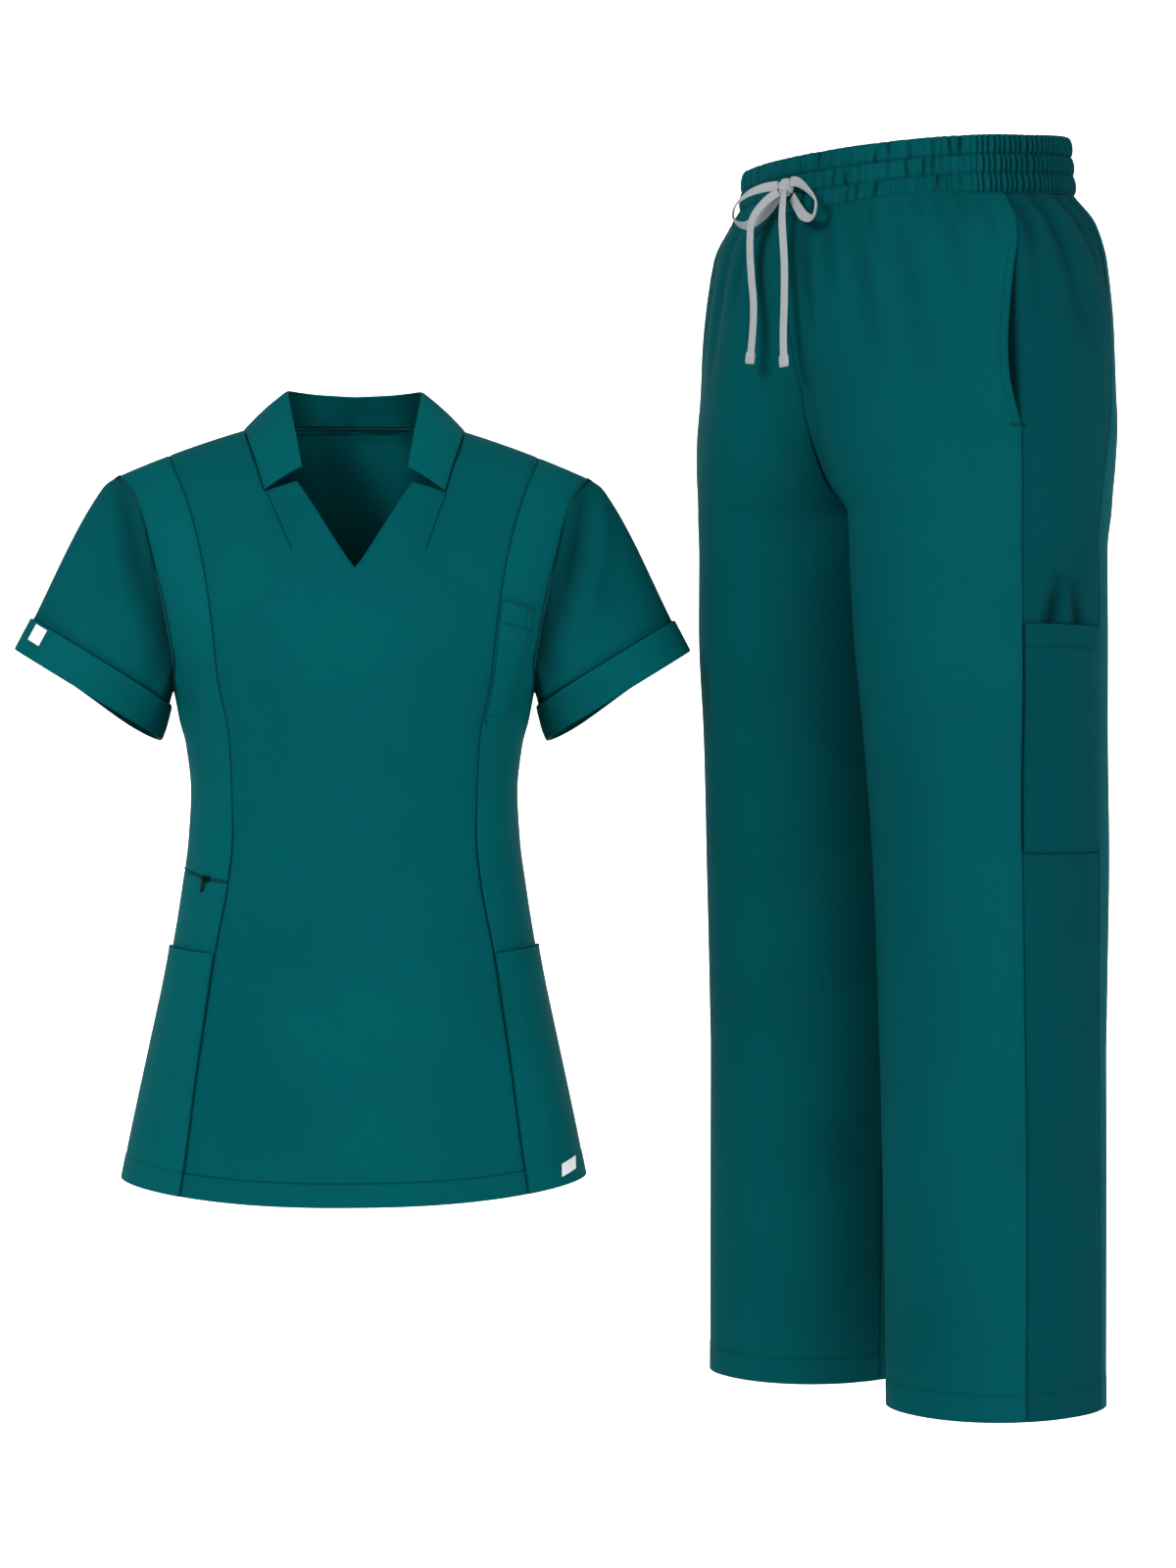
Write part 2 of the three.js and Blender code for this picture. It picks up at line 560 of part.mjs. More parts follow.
// Pockets lie on the side fronts, made from their points, moved out
function buildPockets(tunic) {
  const columns = sideColumns(SIDE_STRIPS);
  const survey = drawnBack(bodyRows(columns, 0, POCKET_ROW), { first: true, last: true });
  const gape = (spot, r, c) => (r === POCKET_ROW ? MOUTH_GAPE * Math.sin((Math.PI * c) / SIDE_STRIPS) : 0);
  const hip = cloth(survey, SEAM_GAP + CLOTH, SEAM_GAP, { lift: gape, ...inFront });
  addPiece(tunic, "hip_pocket_left", hip, TEAL_SIDE);
  addPiece(tunic, "hip_pocket_right", mirrored(hip), TEAL_SIDE);

  const edgeAt = curveOf(CHEST_POCKET_EDGE, "height", "from_middle");
  const rows = steps(8).map((down) => steps(5).map((across) => {
    const inner = mix(CHEST_POCKET.inner_top, CHEST_POCKET.inner_bottom, down);
    const outer = mix(CHEST_POCKET.outer_top, CHEST_POCKET.outer_bottom, down);
    const point = CHEST_POCKET.point * down ** 6 * Math.sin(Math.PI * Math.sqrt(across));
    const height = mix(inner, outer, across) - point;
    const x = mix(princessAt(height) + CHEST_POCKET.from_seam, edgeAt(height), across);
    return { u: tunicAngle(x, height), v: height };
  }));
  const { cloth: thickness, stand_off: standOff } = CHEST_POCKET;
  const chest = cloth(surveyed(tunicPoint, rows), standOff + thickness, standOff);
  addPiece(tunic, "chest_pocket", chest, TEAL_SIDE);
}

// Half of the collar from its front end to the middle of the back, as seam and top points
const collarSeamRows = COLLAR_ROWS.map((row) => {
  const angle = tunicAngle(row.seam_x, row.seam_z);
  const y = tunicPoint(row.side < 0 ? angle : 180 - angle, row.seam_z).y;
  return { ...row, seam_y: row.seam_x >= NECK_POINT ? 0 : y };
});
const collarCurve = Object.fromEntries(
  ["seam_x", "seam_y", "seam_z", "top_x", "top_y", "top_z"].map((name) => [
    name,
    curveOf(collarSeamRows, "share", name),
  ]),
);

// u runs from -100 at one front end to 100 at the other, and v from 0 at the seam to 100 at the top
function collarPoint(u, v) {
  const share = 1 - Math.abs(u) / 100;
  const side = u < 0 ? -1 : 1;
  const seam = ["seam_x", "seam_y", "seam_z"].map((name) => collarCurve[name](share));
  const top = ["top_x", "top_y", "top_z"].map((name) => collarCurve[name](share));
  const [x, y, z] = seam.map((value, i) => mix(value, top[i], v / 100));
  return new THREE.Vector3(side * x, y, z);
}

function buildCollar(tunic) {
  const shares = [0, 0.08, 0.16, 0.24, 0.32, 0.39, 0.46, 0.53, 0.6, 0.7, 0.8, 0.9, 1];
  const half = shares.map((share) => 100 * (1 - share));
  const across = [...half.slice(0, -1).map((u) => -u), ...half.reverse()];
  const rows = [2.5, 27, 51, 76, 100].map((v) => across.map((u) => ({ u, v })));
  const survey = surveyed(collarPoint, rows);
  const crown = (spot) => 1.2 * Math.sin((Math.PI * spot.v) / 100);
  const face = COLLAR_THICKNESS / 2;
  addPiece(tunic, "collar", cloth(survey, face, -face, { lift: crown }), TEAL_SIDE);
}

// Sleeve: u is degrees round it, 0 at the top and 90 at the front, and v goes from 0 at the armhole
// to 100 at the hem
const ARMHOLE_MIDDLE = (SLEEVE_TOP + UNDERARM) / 2;
const ARMHOLE_HALF = (SLEEVE_TOP - UNDERARM) / 2;
const hemRise = radians(SLEEVE_HEM.rise);
const axisTilt = radians(SLEEVE_AXIS_TILT);
const sleeveOut = new THREE.Vector3(Math.cos(hemRise), 0, Math.sin(hemRise));
const sleeveDown = new THREE.Vector3(Math.sin(axisTilt), 0, -Math.cos(axisTilt));

function armholePoint(u) {
  const turn = ((u % 360) + 360) % 360;
  const height = ARMHOLE_MIDDLE + ARMHOLE_HALF * Math.cos(radians(turn));
  const angle = armholeAngle(height);
  return tunicPoint(turn <= 180 ? angle : 180 - angle, height);
}

function sleevePoint(u, v) {
  const start = armholePoint(u);
  const end = new THREE.Vector3(SLEEVE_HEM.x, SLEEVE_HEM.y, SLEEVE_HEM.z)
    .addScaledVector(sleeveOut, SLEEVE_HEM.half_width * Math.cos(radians(u)));
  end.y -= SLEEVE_HEM.half_depth * Math.sin(radians(u));
  const low = (1 - Math.cos(radians(u))) / 2;
  const leaves = (name) => mix(SLEEVE_LEAVES_TOP[name], SLEEVE_LEAVES_LOW[name], low);
  const leave = new THREE.Vector3(leaves("out"), 0, leaves("down")).normalize();
  leave.multiplyScalar(leaves("reach"));
  const length = end.distanceTo(start);
  const t = v / 100;
  const t2 = t * t;
  const t3 = t2 * t;
  return start.multiplyScalar(2 * t3 - 3 * t2 + 1)
    .addScaledVector(leave, t3 - 2 * t2 + t)
    .addScaledVector(end, 3 * t2 - 2 * t3)
    .addScaledVector(sleeveDown, (t3 - t2) * length);
}

// v at which the cuff's top edge runs
function cuffTop(u) {
  const length = sleevePoint(u, 0).distanceTo(sleevePoint(u, 100));
  return 100 * (1 - (CUFF_DEPTH * 0.95) / length);
}

function buildSleeves(tunic) {
  const around = steps(18).slice(0, -1).map((t) => 360 * t);
  const down = [9, 20, 34, 48, 62, 76, 89, 100].map((v) => around.map((u) => ({ u, v })));
  const survey = surveyed(sleevePoint, [around.map((u) => ({ u, v: startOf(u) })), ...down]);
  const sleeve = cloth(survey, 0, -CLOTH, { lift: sleeveFold, isRing: true });
  addPiece(tunic, "sleeve_left", sleeve, TEAL_DARK);
  addPiece(tunic, "sleeve_right", mirrored(sleeve), TEAL_DARK);

  const cuffRows = [0, 0.5, 1].map((t) => around.map((u) => ({ u, v: mix(cuffTop(u), 100, t) })));
  const cuffSurvey = surveyed(sleevePoint, cuffRows);
  const cuff = cloth(cuffSurvey, CUFF_STAND_OFF + DOUBLE_CLOTH, CUFF_STAND_OFF, { isRing: true });
  addPiece(tunic, "cuff_left", cuff, TEAL_SIDE);
  addPiece(tunic, "cuff_right", mirrored(cuff), TEAL_SIDE);
}

// v at which a sleeve starts, a seam gap away from the armhole
function startOf(u) {
  const speed = sleevePoint(u, 1).distanceTo(sleevePoint(u, 0));
  return (SEAM_GAP * 1.3) / speed;
}

// Soft troughs that run down the front and back of a sleeve from its cap
function sleeveFold(spot) {
  const run = Math.sin(Math.PI * THREE.MathUtils.clamp((spot.v - 4) / 74, 0, 1)) ** 2;
  const depthAt = ({ at, width, depth }) => depth * Math.exp(-(((spot.u - at) / width) ** 2));
  return -run * SLEEVE_FOLDS.reduce((sum, fold) => sum + depthAt(fold), 0);
}

function buildLabels(tunic) {
  const { x, height, half_width, half_height } = HEM_LABEL;
  const rows = steps(1).map((t) => steps(3).map((s) => {
    const at = x + half_width * (2 * s - 1);
    const v = height + half_height * (2 * t - 1) + HEM_LABEL.tilt * (2 * s - 1);
    return { u: tunicAngle(at, v), v };
  }));
  const standOff = SEAM_GAP + CLOTH + SEAM_GAP + 0.2;
  const hem = cloth(surveyed(tunicPoint, rows), standOff + LABEL_CLOTH, standOff);
  addPiece(tunic, "label_hem", hem, LABEL_WHITE, 0.7);

  const cuffRows = steps(1).map((t) => steps(3).map((s) => {
    const u = mix(CUFF_LABEL.from, CUFF_LABEL.to, s);
    return { u, v: mix(cuffTop(u), 100, mix(CUFF_LABEL.upper, CUFF_LABEL.lower, t)) };
  }));
  const above = CUFF_STAND_OFF + DOUBLE_CLOTH + SEAM_GAP;
  const label = cloth(surveyed(sleevePoint, cuffRows), above + LABEL_CLOTH, above);
  addPiece(tunic, "label_cuff", mirrored(label), LABEL_WHITE, 0.7);
}

// Zip: a tape inside the slot between the two right side fronts, with its slider outside
function buildZip(tunic) {
  const columns = zipCut(sideColumns(SIDE_STRIPS), 0);
  const rows = [-ZIP.tape_half, 0, ZIP.tape_half].map((offset) =>
    columns.map(({ angleAt, zip }) => ({ u: angleAt(zip), v: zip + offset })));
  const survey = drawnBack(surveyed(tunicPoint, rows), { first: true, last: true });
  const tape = cloth(survey, -CLOTH - ZIP.tape_behind, -CLOTH - ZIP.tape_behind - ZIP.tape_cloth);
  const slider = placedOnZip([
    box(ZIP.stem_length, ZIP.stem_width, ZIP.stem_from, ZIP.stem_to),
    box(ZIP.slider_length, ZIP.slider_width, ZIP.slider_above, ZIP.slider_top),
    box(ZIP.post, ZIP.post, ZIP.slider_top - 0.2, ZIP.axis + 0.5, ZIP.post_at),
    box(ZIP.post, ZIP.post, ZIP.slider_top - 0.2, ZIP.axis + 0.5, -ZIP.post_at),
    rod(ZIP.pin_radius, 2 * ZIP.post_at, ZIP.axis),
  ]);
  const right = [tape, ...slider].map((piece) => solidOf(mirrored(piece)));
  addPiece(tunic, "zip", geometryOf(right.reduce((whole, next) => whole.add(next))), DARK_METAL, 0.5, 0.3);

  const outline = new THREE.Shape();
  outline.absarc(0, 0, ZIP.eye_radius, 0, 2 * Math.PI);
  outline.holes.push(new THREE.Path().absarc(0, 0, ZIP.eye_hole, 0, 2 * Math.PI, true));
  const width = { depth: ZIP.pull_width, bevelEnabled: false, curveSegments: 10 };
  const eye = new THREE.ExtrudeGeometry(outline, width);
  eye.translate(0, 0, -ZIP.pull_width / 2);
  const tab = new THREE.BoxGeometry(ZIP.pull_length, ZIP.pull_thickness, ZIP.pull_width);
  tab.translate(ZIP.eye_hole + 0.15 + ZIP.pull_length / 2, 0, 0);
  const pull = solidOf(eye).add(solidOf(tab));
  const geometry = geometryOf(pull);
  geometry.rotateZ(-radians(ZIP.pull_droop));
  geometry.applyMatrix4(new THREE.Matrix4().makeBasis(
    new THREE.Vector3(0, -1, 0), new THREE.Vector3(0, 0, 1), new THREE.Vector3(-1, 0, 0),
  ));
  geometry.translate(0, 0, ZIP.axis);
  const [hung] = placedOnZip([geometry]);
  addPiece(tunic, "zip_pull", mirrored(hung), DARK_METAL, 0.4, 0.6);
}

// Blocks in the slider's own frame: x along the zip, y across it and up, z out of the cloth
function box(length, width, from, to, x = 0) {
  const geometry = new THREE.BoxGeometry(length, width, to - from);
  geometry.translate(x, 0, (from + to) / 2);
  return geometry;
}

function rod(radius, length, height) {
  const geometry = new THREE.CylinderGeometry(radius, radius, length, 10);
  geometry.rotateZ(Math.PI / 2);
  geometry.translate(0, 0, height);
  return geometry;
}

function placedOnZip(geometries) {
  const height = zipHeightAt(SLIDER_FROM_MIDDLE);
  const angle = tunicAngle(SLIDER_FROM_MIDDLE, height);
  const origin = tunicPoint(angle, height);
  const aside = SLIDER_FROM_MIDDLE + 1;
  const next = tunicPoint(tunicAngle(aside, zipHeightAt(aside)), zipHeightAt(aside));
  const along = next.sub(origin).normalize();
  const climb = tunicPoint(angle, height + 1).sub(origin).normalize();
  const out = new THREE.Vector3().crossVectors(along, climb).normalize();
  const up = new THREE.Vector3().crossVectors(out, along);
  const place = new THREE.Matrix4().makeBasis(along, up, out).setPosition(origin);
  return geometries.map((geometry) => geometry.clone().applyMatrix4(place));
}

// Solids for joins, from a closed geometry with merged corners, and back
function solidOf(geometry) {
  const bare = new THREE.BufferGeometry();
  bare.setAttribute("position", geometry.attributes.position);
  if (geometry.index) bare.setIndex(geometry.index);
  const merged = mergeVertices(bare, 1e-4);
  const mesh = new wasm.Mesh({
    numProp: 3,
    vertProperties: new Float32Array(merged.attributes.position.array),
    triVerts: new Uint32Array(merged.index.array),
  });
  return new wasm.Manifold(mesh);
}

function geometryOf(solid) {
  const mesh = solid.getMesh();
  const geometry = new THREE.BufferGeometry();
  geometry.setAttribute("position", new THREE.BufferAttribute(mesh.vertProperties, 3));
  geometry.setIndex(new THREE.BufferAttribute(mesh.triVerts, 1));
  return geometry;
}

// Trousers, wearer's left half: u is degrees round the leg, 0 at its front and 90 at its outer side.
// v is the height before the waist is tilted.
const trouser = Object.fromEntries(
  ["outer", "inner", "front", "back"].map((name) => [name, curveOf(TROUSER_SECTIONS, "height", name)]),
);
const sideSeam = {
  front: curveOf(SIDE_PANEL_SEAMS, "height", "front"),
  back: curveOf(SIDE_PANEL_SEAMS, "height", "back"),
};

function waistTilt(u) {
  const facing = Math.cos(radians(u));
  return -(facing > 0 ? WAIST_DROP_FRONT : WAIST_RISE_BACK) * facing;
}

function tiltAt(u, v) {
  return waistTilt(u) * THREE.MathUtils.smoothstep(v, -20, WAIST_SEAM);
}

function legPoint(u, v) {
  const power = 2 / TROUSER_ROUNDNESS;
  const middle = (trouser.outer(v) + trouser.inner(v)) / 2;
  const half = (trouser.outer(v) - trouser.inner(v)) / 2;
  const depth = Math.cos(radians(u)) > 0 ? trouser.front(v) : trouser.back(v);
  const x = middle + half * signedPower(Math.sin(radians(u)), power);
  return new THREE.Vector3(x, -depth * signedPower(Math.cos(radians(u)), power), v + tiltAt(u, v));
}

// Where the front of the leg meets the middle: 0 above the crotch curve, -90 at the inseam
function innerAngle(v) {
  const middle = (trouser.outer(v) + trouser.inner(v)) / 2;
  const half = (trouser.outer(v) - trouser.inner(v)) / 2;
  const share = Math.min(1, Math.max(0, middle - 0.01) / half);
  return -THREE.MathUtils.radToDeg(Math.asin(share ** (TROUSER_ROUNDNESS / 2)));
}

function legRows(fromAngle, toAngle, strips, fromRow = 0, toRow = TROUSER_ROWS.length - 1) {
  const heights = TROUSER_ROWS.slice(fromRow, toRow + 1).map((v, i) => ({ v, row: i + fromRow }));
  return heights.map(({ v, row }) =>
    steps(strips).map((t) => ({ u: mix(fromAngle(v, row), toAngle(v, row), t), v })));
}

const allEdges = { first: true, last: true, bottom: true };

// Keeps a half on its own side of the middle
function onOwnSide(survey) {
  const limit = SEAM_GAP / 2;
  for (const row of survey) {
    for (const spot of row) spot.point.x = Math.max(limit, spot.point.x);
  }
  return survey;
}

const slantMouth = (row) => {
  const t = (row - POCKET_FROM_ROW) / (POCKET_TO_ROW - POCKET_FROM_ROW);
  return t <= 0 || t >= 1 ? 0 : Math.sin(Math.PI * t ** 0.85);
};

// Soft folds in the trousers' front and back: at, in degrees, wide, deep, and how far down they run
const FRONT_FOLDS = [
  { at: 14, width: 5, depth: 2.6, until: 60 },
  { at: 33, width: 6, depth: 3.2, until: 20 },
  { at: 52, width: 6, depth: 2.6, until: 70 },
];
const BACK_FOLDS = [
  { at: 132, width: 6, depth: 2.6, until: 90 },
  { at: 150, width: 6, depth: 3, until: 70 },
  { at: 167, width: 5, depth: 2.4, until: 90 },
];

function foldsAt(folds, spot) {
  let lift = 0;
  for (const { at, width, depth, until } of folds) {
    const fade = THREE.MathUtils.smoothstep(spot.v, until, WAIST_SEAM);
    lift -= depth * fade * Math.exp(-(((spot.u - at) / width) ** 2));
  }
  return lift;
}

function buildLegs(trousers) {
  const front = onOwnSide(surveyed(legPoint, legRows(innerAngle, sideSeam.front, 8)));
  const frontCut = onOwnSide(drawnBack(front, allEdges));
  const mouthEdge = (spot, r, c) => POCKET_OPEN * slantMouth(r) * [0, 0, 0, 0, 0, 0, 0.04, 0.3, 1][c];
  const frontLift = (spot, r, c) => foldsAt(FRONT_FOLDS, spot) + mouthEdge(spot, r, c);
  const frontPanel = cloth(frontCut, 0, -CLOTH, { lift: frontLift });

  const under = (v, row) => sideSeam.front(v) - POCKET_UNDER * slantMouth(row);
  const side = drawnBack(surveyed(legPoint, legRows(under, sideSeam.back, 4)), allEdges);
  const alongMouth = (row) => row >= POCKET_FROM_ROW && row <= POCKET_TO_ROW;
  const tuck = (spot, r, c) => (alongMouth(r) && c < 2 ? [-2.3, -0.6][c] * (1 + 0.6 * slantMouth(r)) : 0);
  const sidePanel = cloth(side, 0, -CLOTH, { lift: tuck });

  const back = onOwnSide(surveyed(legPoint, legRows(sideSeam.back, (v) => 180 - innerAngle(v), 8)));
  const backCut = onOwnSide(drawnBack(back, allEdges));
  const backPanel = cloth(backCut, 0, -CLOTH, { lift: (spot) => foldsAt(BACK_FOLDS, spot) });

  for (const [name, panel] of [["front", frontPanel], ["side", sidePanel], ["back", backPanel]]) {
    addPiece(trousers, `trouser_${name}_left`, panel, name === "side" ? TEAL_DARK : TEAL);
    addPiece(trousers, `trouser_${name}_right`, mirrored(panel), name === "side" ? TEAL_DARK : TEAL);
  }

  const cargoGrid = legRows(sideSeam.front, sideSeam.back, 4, CARGO_FROM_ROW, CARGO_TO_ROW);
  const cargo = drawnBack(surveyed(legPoint, cargoGrid), { first: true, last: true });
  const bottomRow = CARGO_TO_ROW - CARGO_FROM_ROW;
  const bag = (spot, r, c) => CARGO_BAG * Math.sin((Math.PI * c) / 4) * (r === bottomRow ? 0.2 : 1);
  addPiece(trousers, "cargo_pocket", cloth(cargo, SEAM_GAP + CLOTH, SEAM_GAP, { lift: bag }), TEAL_DARK);
}

// Waistband: three shirred tiers. u is degrees from the middle of the front, v is height above its seam.
function bandPoint(u, v) {
  const taper = (BAND_TAPER * v) / BAND_DEPTH;
  const power = 2 / TROUSER_ROUNDNESS;
  const depth = Math.abs(u) < 90 ? trouser.front(WAIST_SEAM) : trouser.back(WAIST_SEAM);
  const x = (trouser.outer(WAIST_SEAM) - taper) * signedPower(Math.sin(radians(u)), power);
  const y = -(depth - taper) * signedPower(Math.cos(radians(u)), power);
  return new THREE.Vector3(x, y, WAIST_SEAM + v + waistTilt(u));
}

function bandColumns() {
  const front = FRONT_GATHERS.flatMap(({ at, width, depth }) => [
    { u: at - width / 2, lift: 0 }, { u: at, lift: -depth }, { u: at + width / 2 - 0.3, lift: 0 },
  ]);
  const span = 360 - 2 * SHIRRING_FROM;
  const ribs = steps(2 * SHIRRING_RIBS).map((t, i) => {
    const lift = (i % 2 ? 0.5 : -0.5) * SHIRRING_DEPTH;
    const u = SHIRRING_FROM + span * t;
    return { u: u > 180 ? u - 360 : u, lift };
  });
  return [...front, ...ribs];
}

function buildBand(trousers) {
  const columns = bandColumns();
  const heights = [SEAM_GAP, 7.8, 15.4, 23, 30.6, 38.2, BAND_DEPTH];
  const outerRows = heights.map((v) => columns.map(({ u }) => ({ u, v })));
  const survey = surveyed(bandPoint, outerRows);
  const outer = survey.map((row, r) => row.map((spot, c) => {
    const crown = r % 2 ? TIER_CROWN : 0;
    const pull = r % 2 ? 1 : 0.55;
    return spot.point.clone().addScaledVector(spot.normal, crown + pull * columns[c].lift);
  }));
  const innerRows = [SEAM_GAP, BAND_DEPTH].map((v) => columns.map(({ u }) => ({ u, v })));
  const inner = surveyed(bandPoint, innerRows).map((row) =>
    row.map((spot) => spot.point.clone().addScaledVector(spot.normal, -BAND_THICKNESS)));
  addPiece(trousers, "waistband", wall(outer, inner, true), TEAL_DARK);
}

// A flat tape along a row of points, with its flat side turned to the front
function tapeAlong(points, count) {
  const path = new THREE.CatmullRomCurve3(points.map(({ x, y, z }) => new THREE.Vector3(x, y, z)));
  path.computeFrenetFrames = (segments) => {
    const tangents = steps(segments).map((t) => path.getTangentAt(t));
    const toFront = new THREE.Vector3(0, -1, 0);
    const across = (way) => toFront.clone().addScaledVector(way, -toFront.dot(way)).normalize();
    const normals = tangents.map(across);
    const binormals = tangents.map((way, i) => new THREE.Vector3().crossVectors(way, normals[i]));
    return { tangents, normals, binormals };
  };
  const [thick, wide] = [TAPE_THICKNESS / 2, TAPE_WIDTH / 2];
  const corners = [[thick, 0.6 * wide], [0.45 * thick, wide]];
  const quarter = [...corners, ...corners.map(([x, y]) => [-x, y]).reverse()];
  const outline = [...quarter, ...quarter.map(([x, y]) => [-x, -y])];
  const section = new THREE.Shape(outline.map(([x, y]) => new THREE.Vector2(x, y)));
  const tape = new THREE.ExtrudeGeometry(section, { steps: count, extrudePath: path, bevelEnabled: false });
  return geometryOf(solidOf(tape));
}

function buildDrawstring(trousers) {
  const knot = new THREE.SphereGeometry(1, 12, 8);
  knot.scale(KNOT.half_width, KNOT.half_depth, KNOT.half_height);
  knot.translate(KNOT.x, KNOT.y, KNOT.z);
  addPiece(trousers, "drawstring_knot", geometryOf(solidOf(knot)), GREY_TAPE);
  addPiece(trousers, "drawstring_loop_left", tapeAlong(RIGHT_LOOP, LOOP_STEPS), GREY_TAPE);
  addPiece(trousers, "drawstring_loop_right", tapeAlong(LEFT_LOOP, LOOP_STEPS), GREY_TAPE);
  addPiece(trousers, "drawstring_tail_left", tapeAlong(RIGHT_TAIL, TAIL_STEPS), GREY_TAPE);
  addPiece(trousers, "drawstring_tail_right", tapeAlong(LEFT_TAIL, TAIL_STEPS), GREY_TAPE);
}

const tunic = new THREE.Group();
tunic.rotation.z = radians(TUNIC_TURN);
part.add(tunic);
buildBody(tunic);
buildPockets(tunic);
buildCollar(tunic);
buildSleeves(tunic);
buildLabels(tunic);
buildZip(tunic);

const trousers = new THREE.Group();
trousers.position.x = TROUSERS_X;
trousers.rotation.z = radians(TROUSERS_TURN);
part.add(trousers);
buildLegs(trousers);
buildBand(trousers);
buildDrawstring(trousers);

export default part;
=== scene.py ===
"""Looks of a set of medical scrubs: a V-neck tunic beside drawstring trousers, filled out and hollow.

Lengths in tables are millimetres in each garment's own frame; meshes are metres in the row frame.
"""

import logging
import math
from dataclasses import dataclass, field
from enum import Enum
from typing import Callable, NamedTuple, Sequence

import bpy
import numpy as np
from mathutils import Matrix, Vector


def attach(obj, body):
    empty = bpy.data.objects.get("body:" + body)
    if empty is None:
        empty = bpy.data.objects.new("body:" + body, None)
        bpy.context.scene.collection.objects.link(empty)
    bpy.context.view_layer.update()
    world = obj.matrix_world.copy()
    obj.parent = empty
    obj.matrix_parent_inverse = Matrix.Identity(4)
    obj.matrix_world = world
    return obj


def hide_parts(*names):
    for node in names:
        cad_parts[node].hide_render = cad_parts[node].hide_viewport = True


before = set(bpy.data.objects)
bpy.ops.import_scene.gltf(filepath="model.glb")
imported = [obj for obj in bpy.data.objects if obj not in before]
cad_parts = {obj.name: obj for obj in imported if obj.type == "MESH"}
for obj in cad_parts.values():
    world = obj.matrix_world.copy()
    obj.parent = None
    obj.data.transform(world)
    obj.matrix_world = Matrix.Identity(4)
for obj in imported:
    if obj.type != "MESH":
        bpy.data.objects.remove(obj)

log = logging.getLogger("scrubs")

MM = 0.001
# Thickness of one and of two layers of cloth, the gap between two panels, and a tunic hem's stitch line
CLOTH = 1.4
DOUBLE_CLOTH = 1.9
SEAM_GAP = 0.3
HEM_STITCH = 18.8
# Where a panel's grid gets extra rows beside its seams
NEAR = (0.5, 1.2, 2.2)
NEAR_LEG = (0.5, 1.2, 2.2, 4.0)
MIRROR = np.array([-1.0, 1.0, 1.0])
Surface = Callable[[np.ndarray, np.ndarray], np.ndarray]
Place = Callable[[np.ndarray], np.ndarray]
Rgb = tuple[float, float, float]


class Body(Enum):
    """Bodies of the part that pieces ride on."""

    GARMENTS = "garments"
    PULL_TAB = "pull_tab"


class Slot(Enum):
    """Material slots of the record."""

    CLOTH_FRONT = "cloth_front"
    CLOTH_SIDE = "cloth_side"
    CLOTH_DARK = "cloth_dark"
    GREY_TAPE = "grey_tape"
    ZIP_TAPE = "zip_tape"
    DARK_METAL = "dark_metal"
    WHITE_LABEL = "white_label"


class Edge(Enum):
    """How one edge of a panel is finished."""

    SEAM = "seam"
    HEM = "hem"
    OPEN = "open"


class Edges(NamedTuple):
    """How a panel's four edges are finished."""

    first: Edge = Edge.SEAM
    last: Edge = Edge.SEAM
    low: Edge = Edge.HEM
    top: Edge = Edge.SEAM


ALL_OPEN = Edges(Edge.OPEN, Edge.OPEN, Edge.OPEN, Edge.OPEN)
LEG_EDGES = Edges(low=Edge.SEAM, top=Edge.HEM)
SLEEVE_EDGES = Edges(low=Edge.SEAM, top=Edge.OPEN)


# ---- curves and surfaces ----


class Profile:
    """A smooth curve through one column of a table, without overshoot."""

    def __init__(self, at: Sequence[float], values: Sequence[float]) -> None:
        """Prepare the slopes at each row.

        Args:
            at: where the rows stand.
            values: the curve's value at each row.
        """
        order = np.argsort(at)
        self.at = np.array(at, float)[order]
        self.values = np.array(values, float)[order]
        rise = np.diff(self.values) / np.diff(self.at)
        slope = np.zeros_like(self.values)
        slope[0], slope[-1] = rise[0], rise[-1]
        same = rise[:-1] * rise[1:] > 0
        product = 2 * rise[:-1] * rise[1:]
        total = np.where(same, rise[:-1] + rise[1:], 1.0)
        slope[1:-1] = np.where(same, product / total, 0.0)
        self.slope = slope

    def __call__(self, x: np.ndarray) -> np.ndarray:
        """Follow the curve, straight on beyond its ends.

        Args:
            x: where.

        Returns:
            The curve's values there.
        """
        x = np.asarray(x, float)
        i = np.clip(np.searchsorted(self.at, x) - 1, 0, len(self.at) - 2)
        span = self.at[i + 1] - self.at[i]
        t = (x - self.at[i]) / span
        inside = np.clip(t, 0, 1)
        t2, t3 = inside**2, inside**3
        value = (2 * t3 - 3 * t2 + 1) * self.values[i] + (t3 - 2 * t2 + inside) * span * self.slope[i]
        value += (3 * t2 - 2 * t3) * self.values[i + 1] + (t3 - t2) * span * self.slope[i + 1]
        before = np.minimum(t, 0) * span * self.slope[0]
        after = np.maximum(t - 1, 0) * span * self.slope[-1]
        return value + before + after


def profile(rows: Sequence[tuple], key: int, value: int) -> Profile:
    """Return the smooth curve of one column of a table.

    Args:
        rows: the table.
        key: number of the column that says where each row stands.
        value: number of the column with the values.

    Returns:
        The curve.
    """
    return Profile([row[key] for row in rows], [row[value] for row in rows])


def signed_power(value: np.ndarray, power: float) -> np.ndarray:
    """Return value raised to a power, with its sign kept."""
    return np.sign(value) * np.abs(value) ** power


def mix(a: np.ndarray, b: np.ndarray, t: np.ndarray) -> np.ndarray:
    """Return the value that lies a share t of the way from a to b."""
    return a + (b - a) * t


def smoothstep(x: np.ndarray, low: float, high: float) -> np.ndarray:
    """Return 0 below low, 1 above high and a soft rise between them."""
    t = np.clip((x - low) / (high - low), 0, 1)
    return t * t * (3 - 2 * t)


def bell(x: np.ndarray, at: float, width: float) -> np.ndarray:
    """Return a soft bell of height 1 round a place."""
    return np.exp(-(((x - at) / width) ** 2))


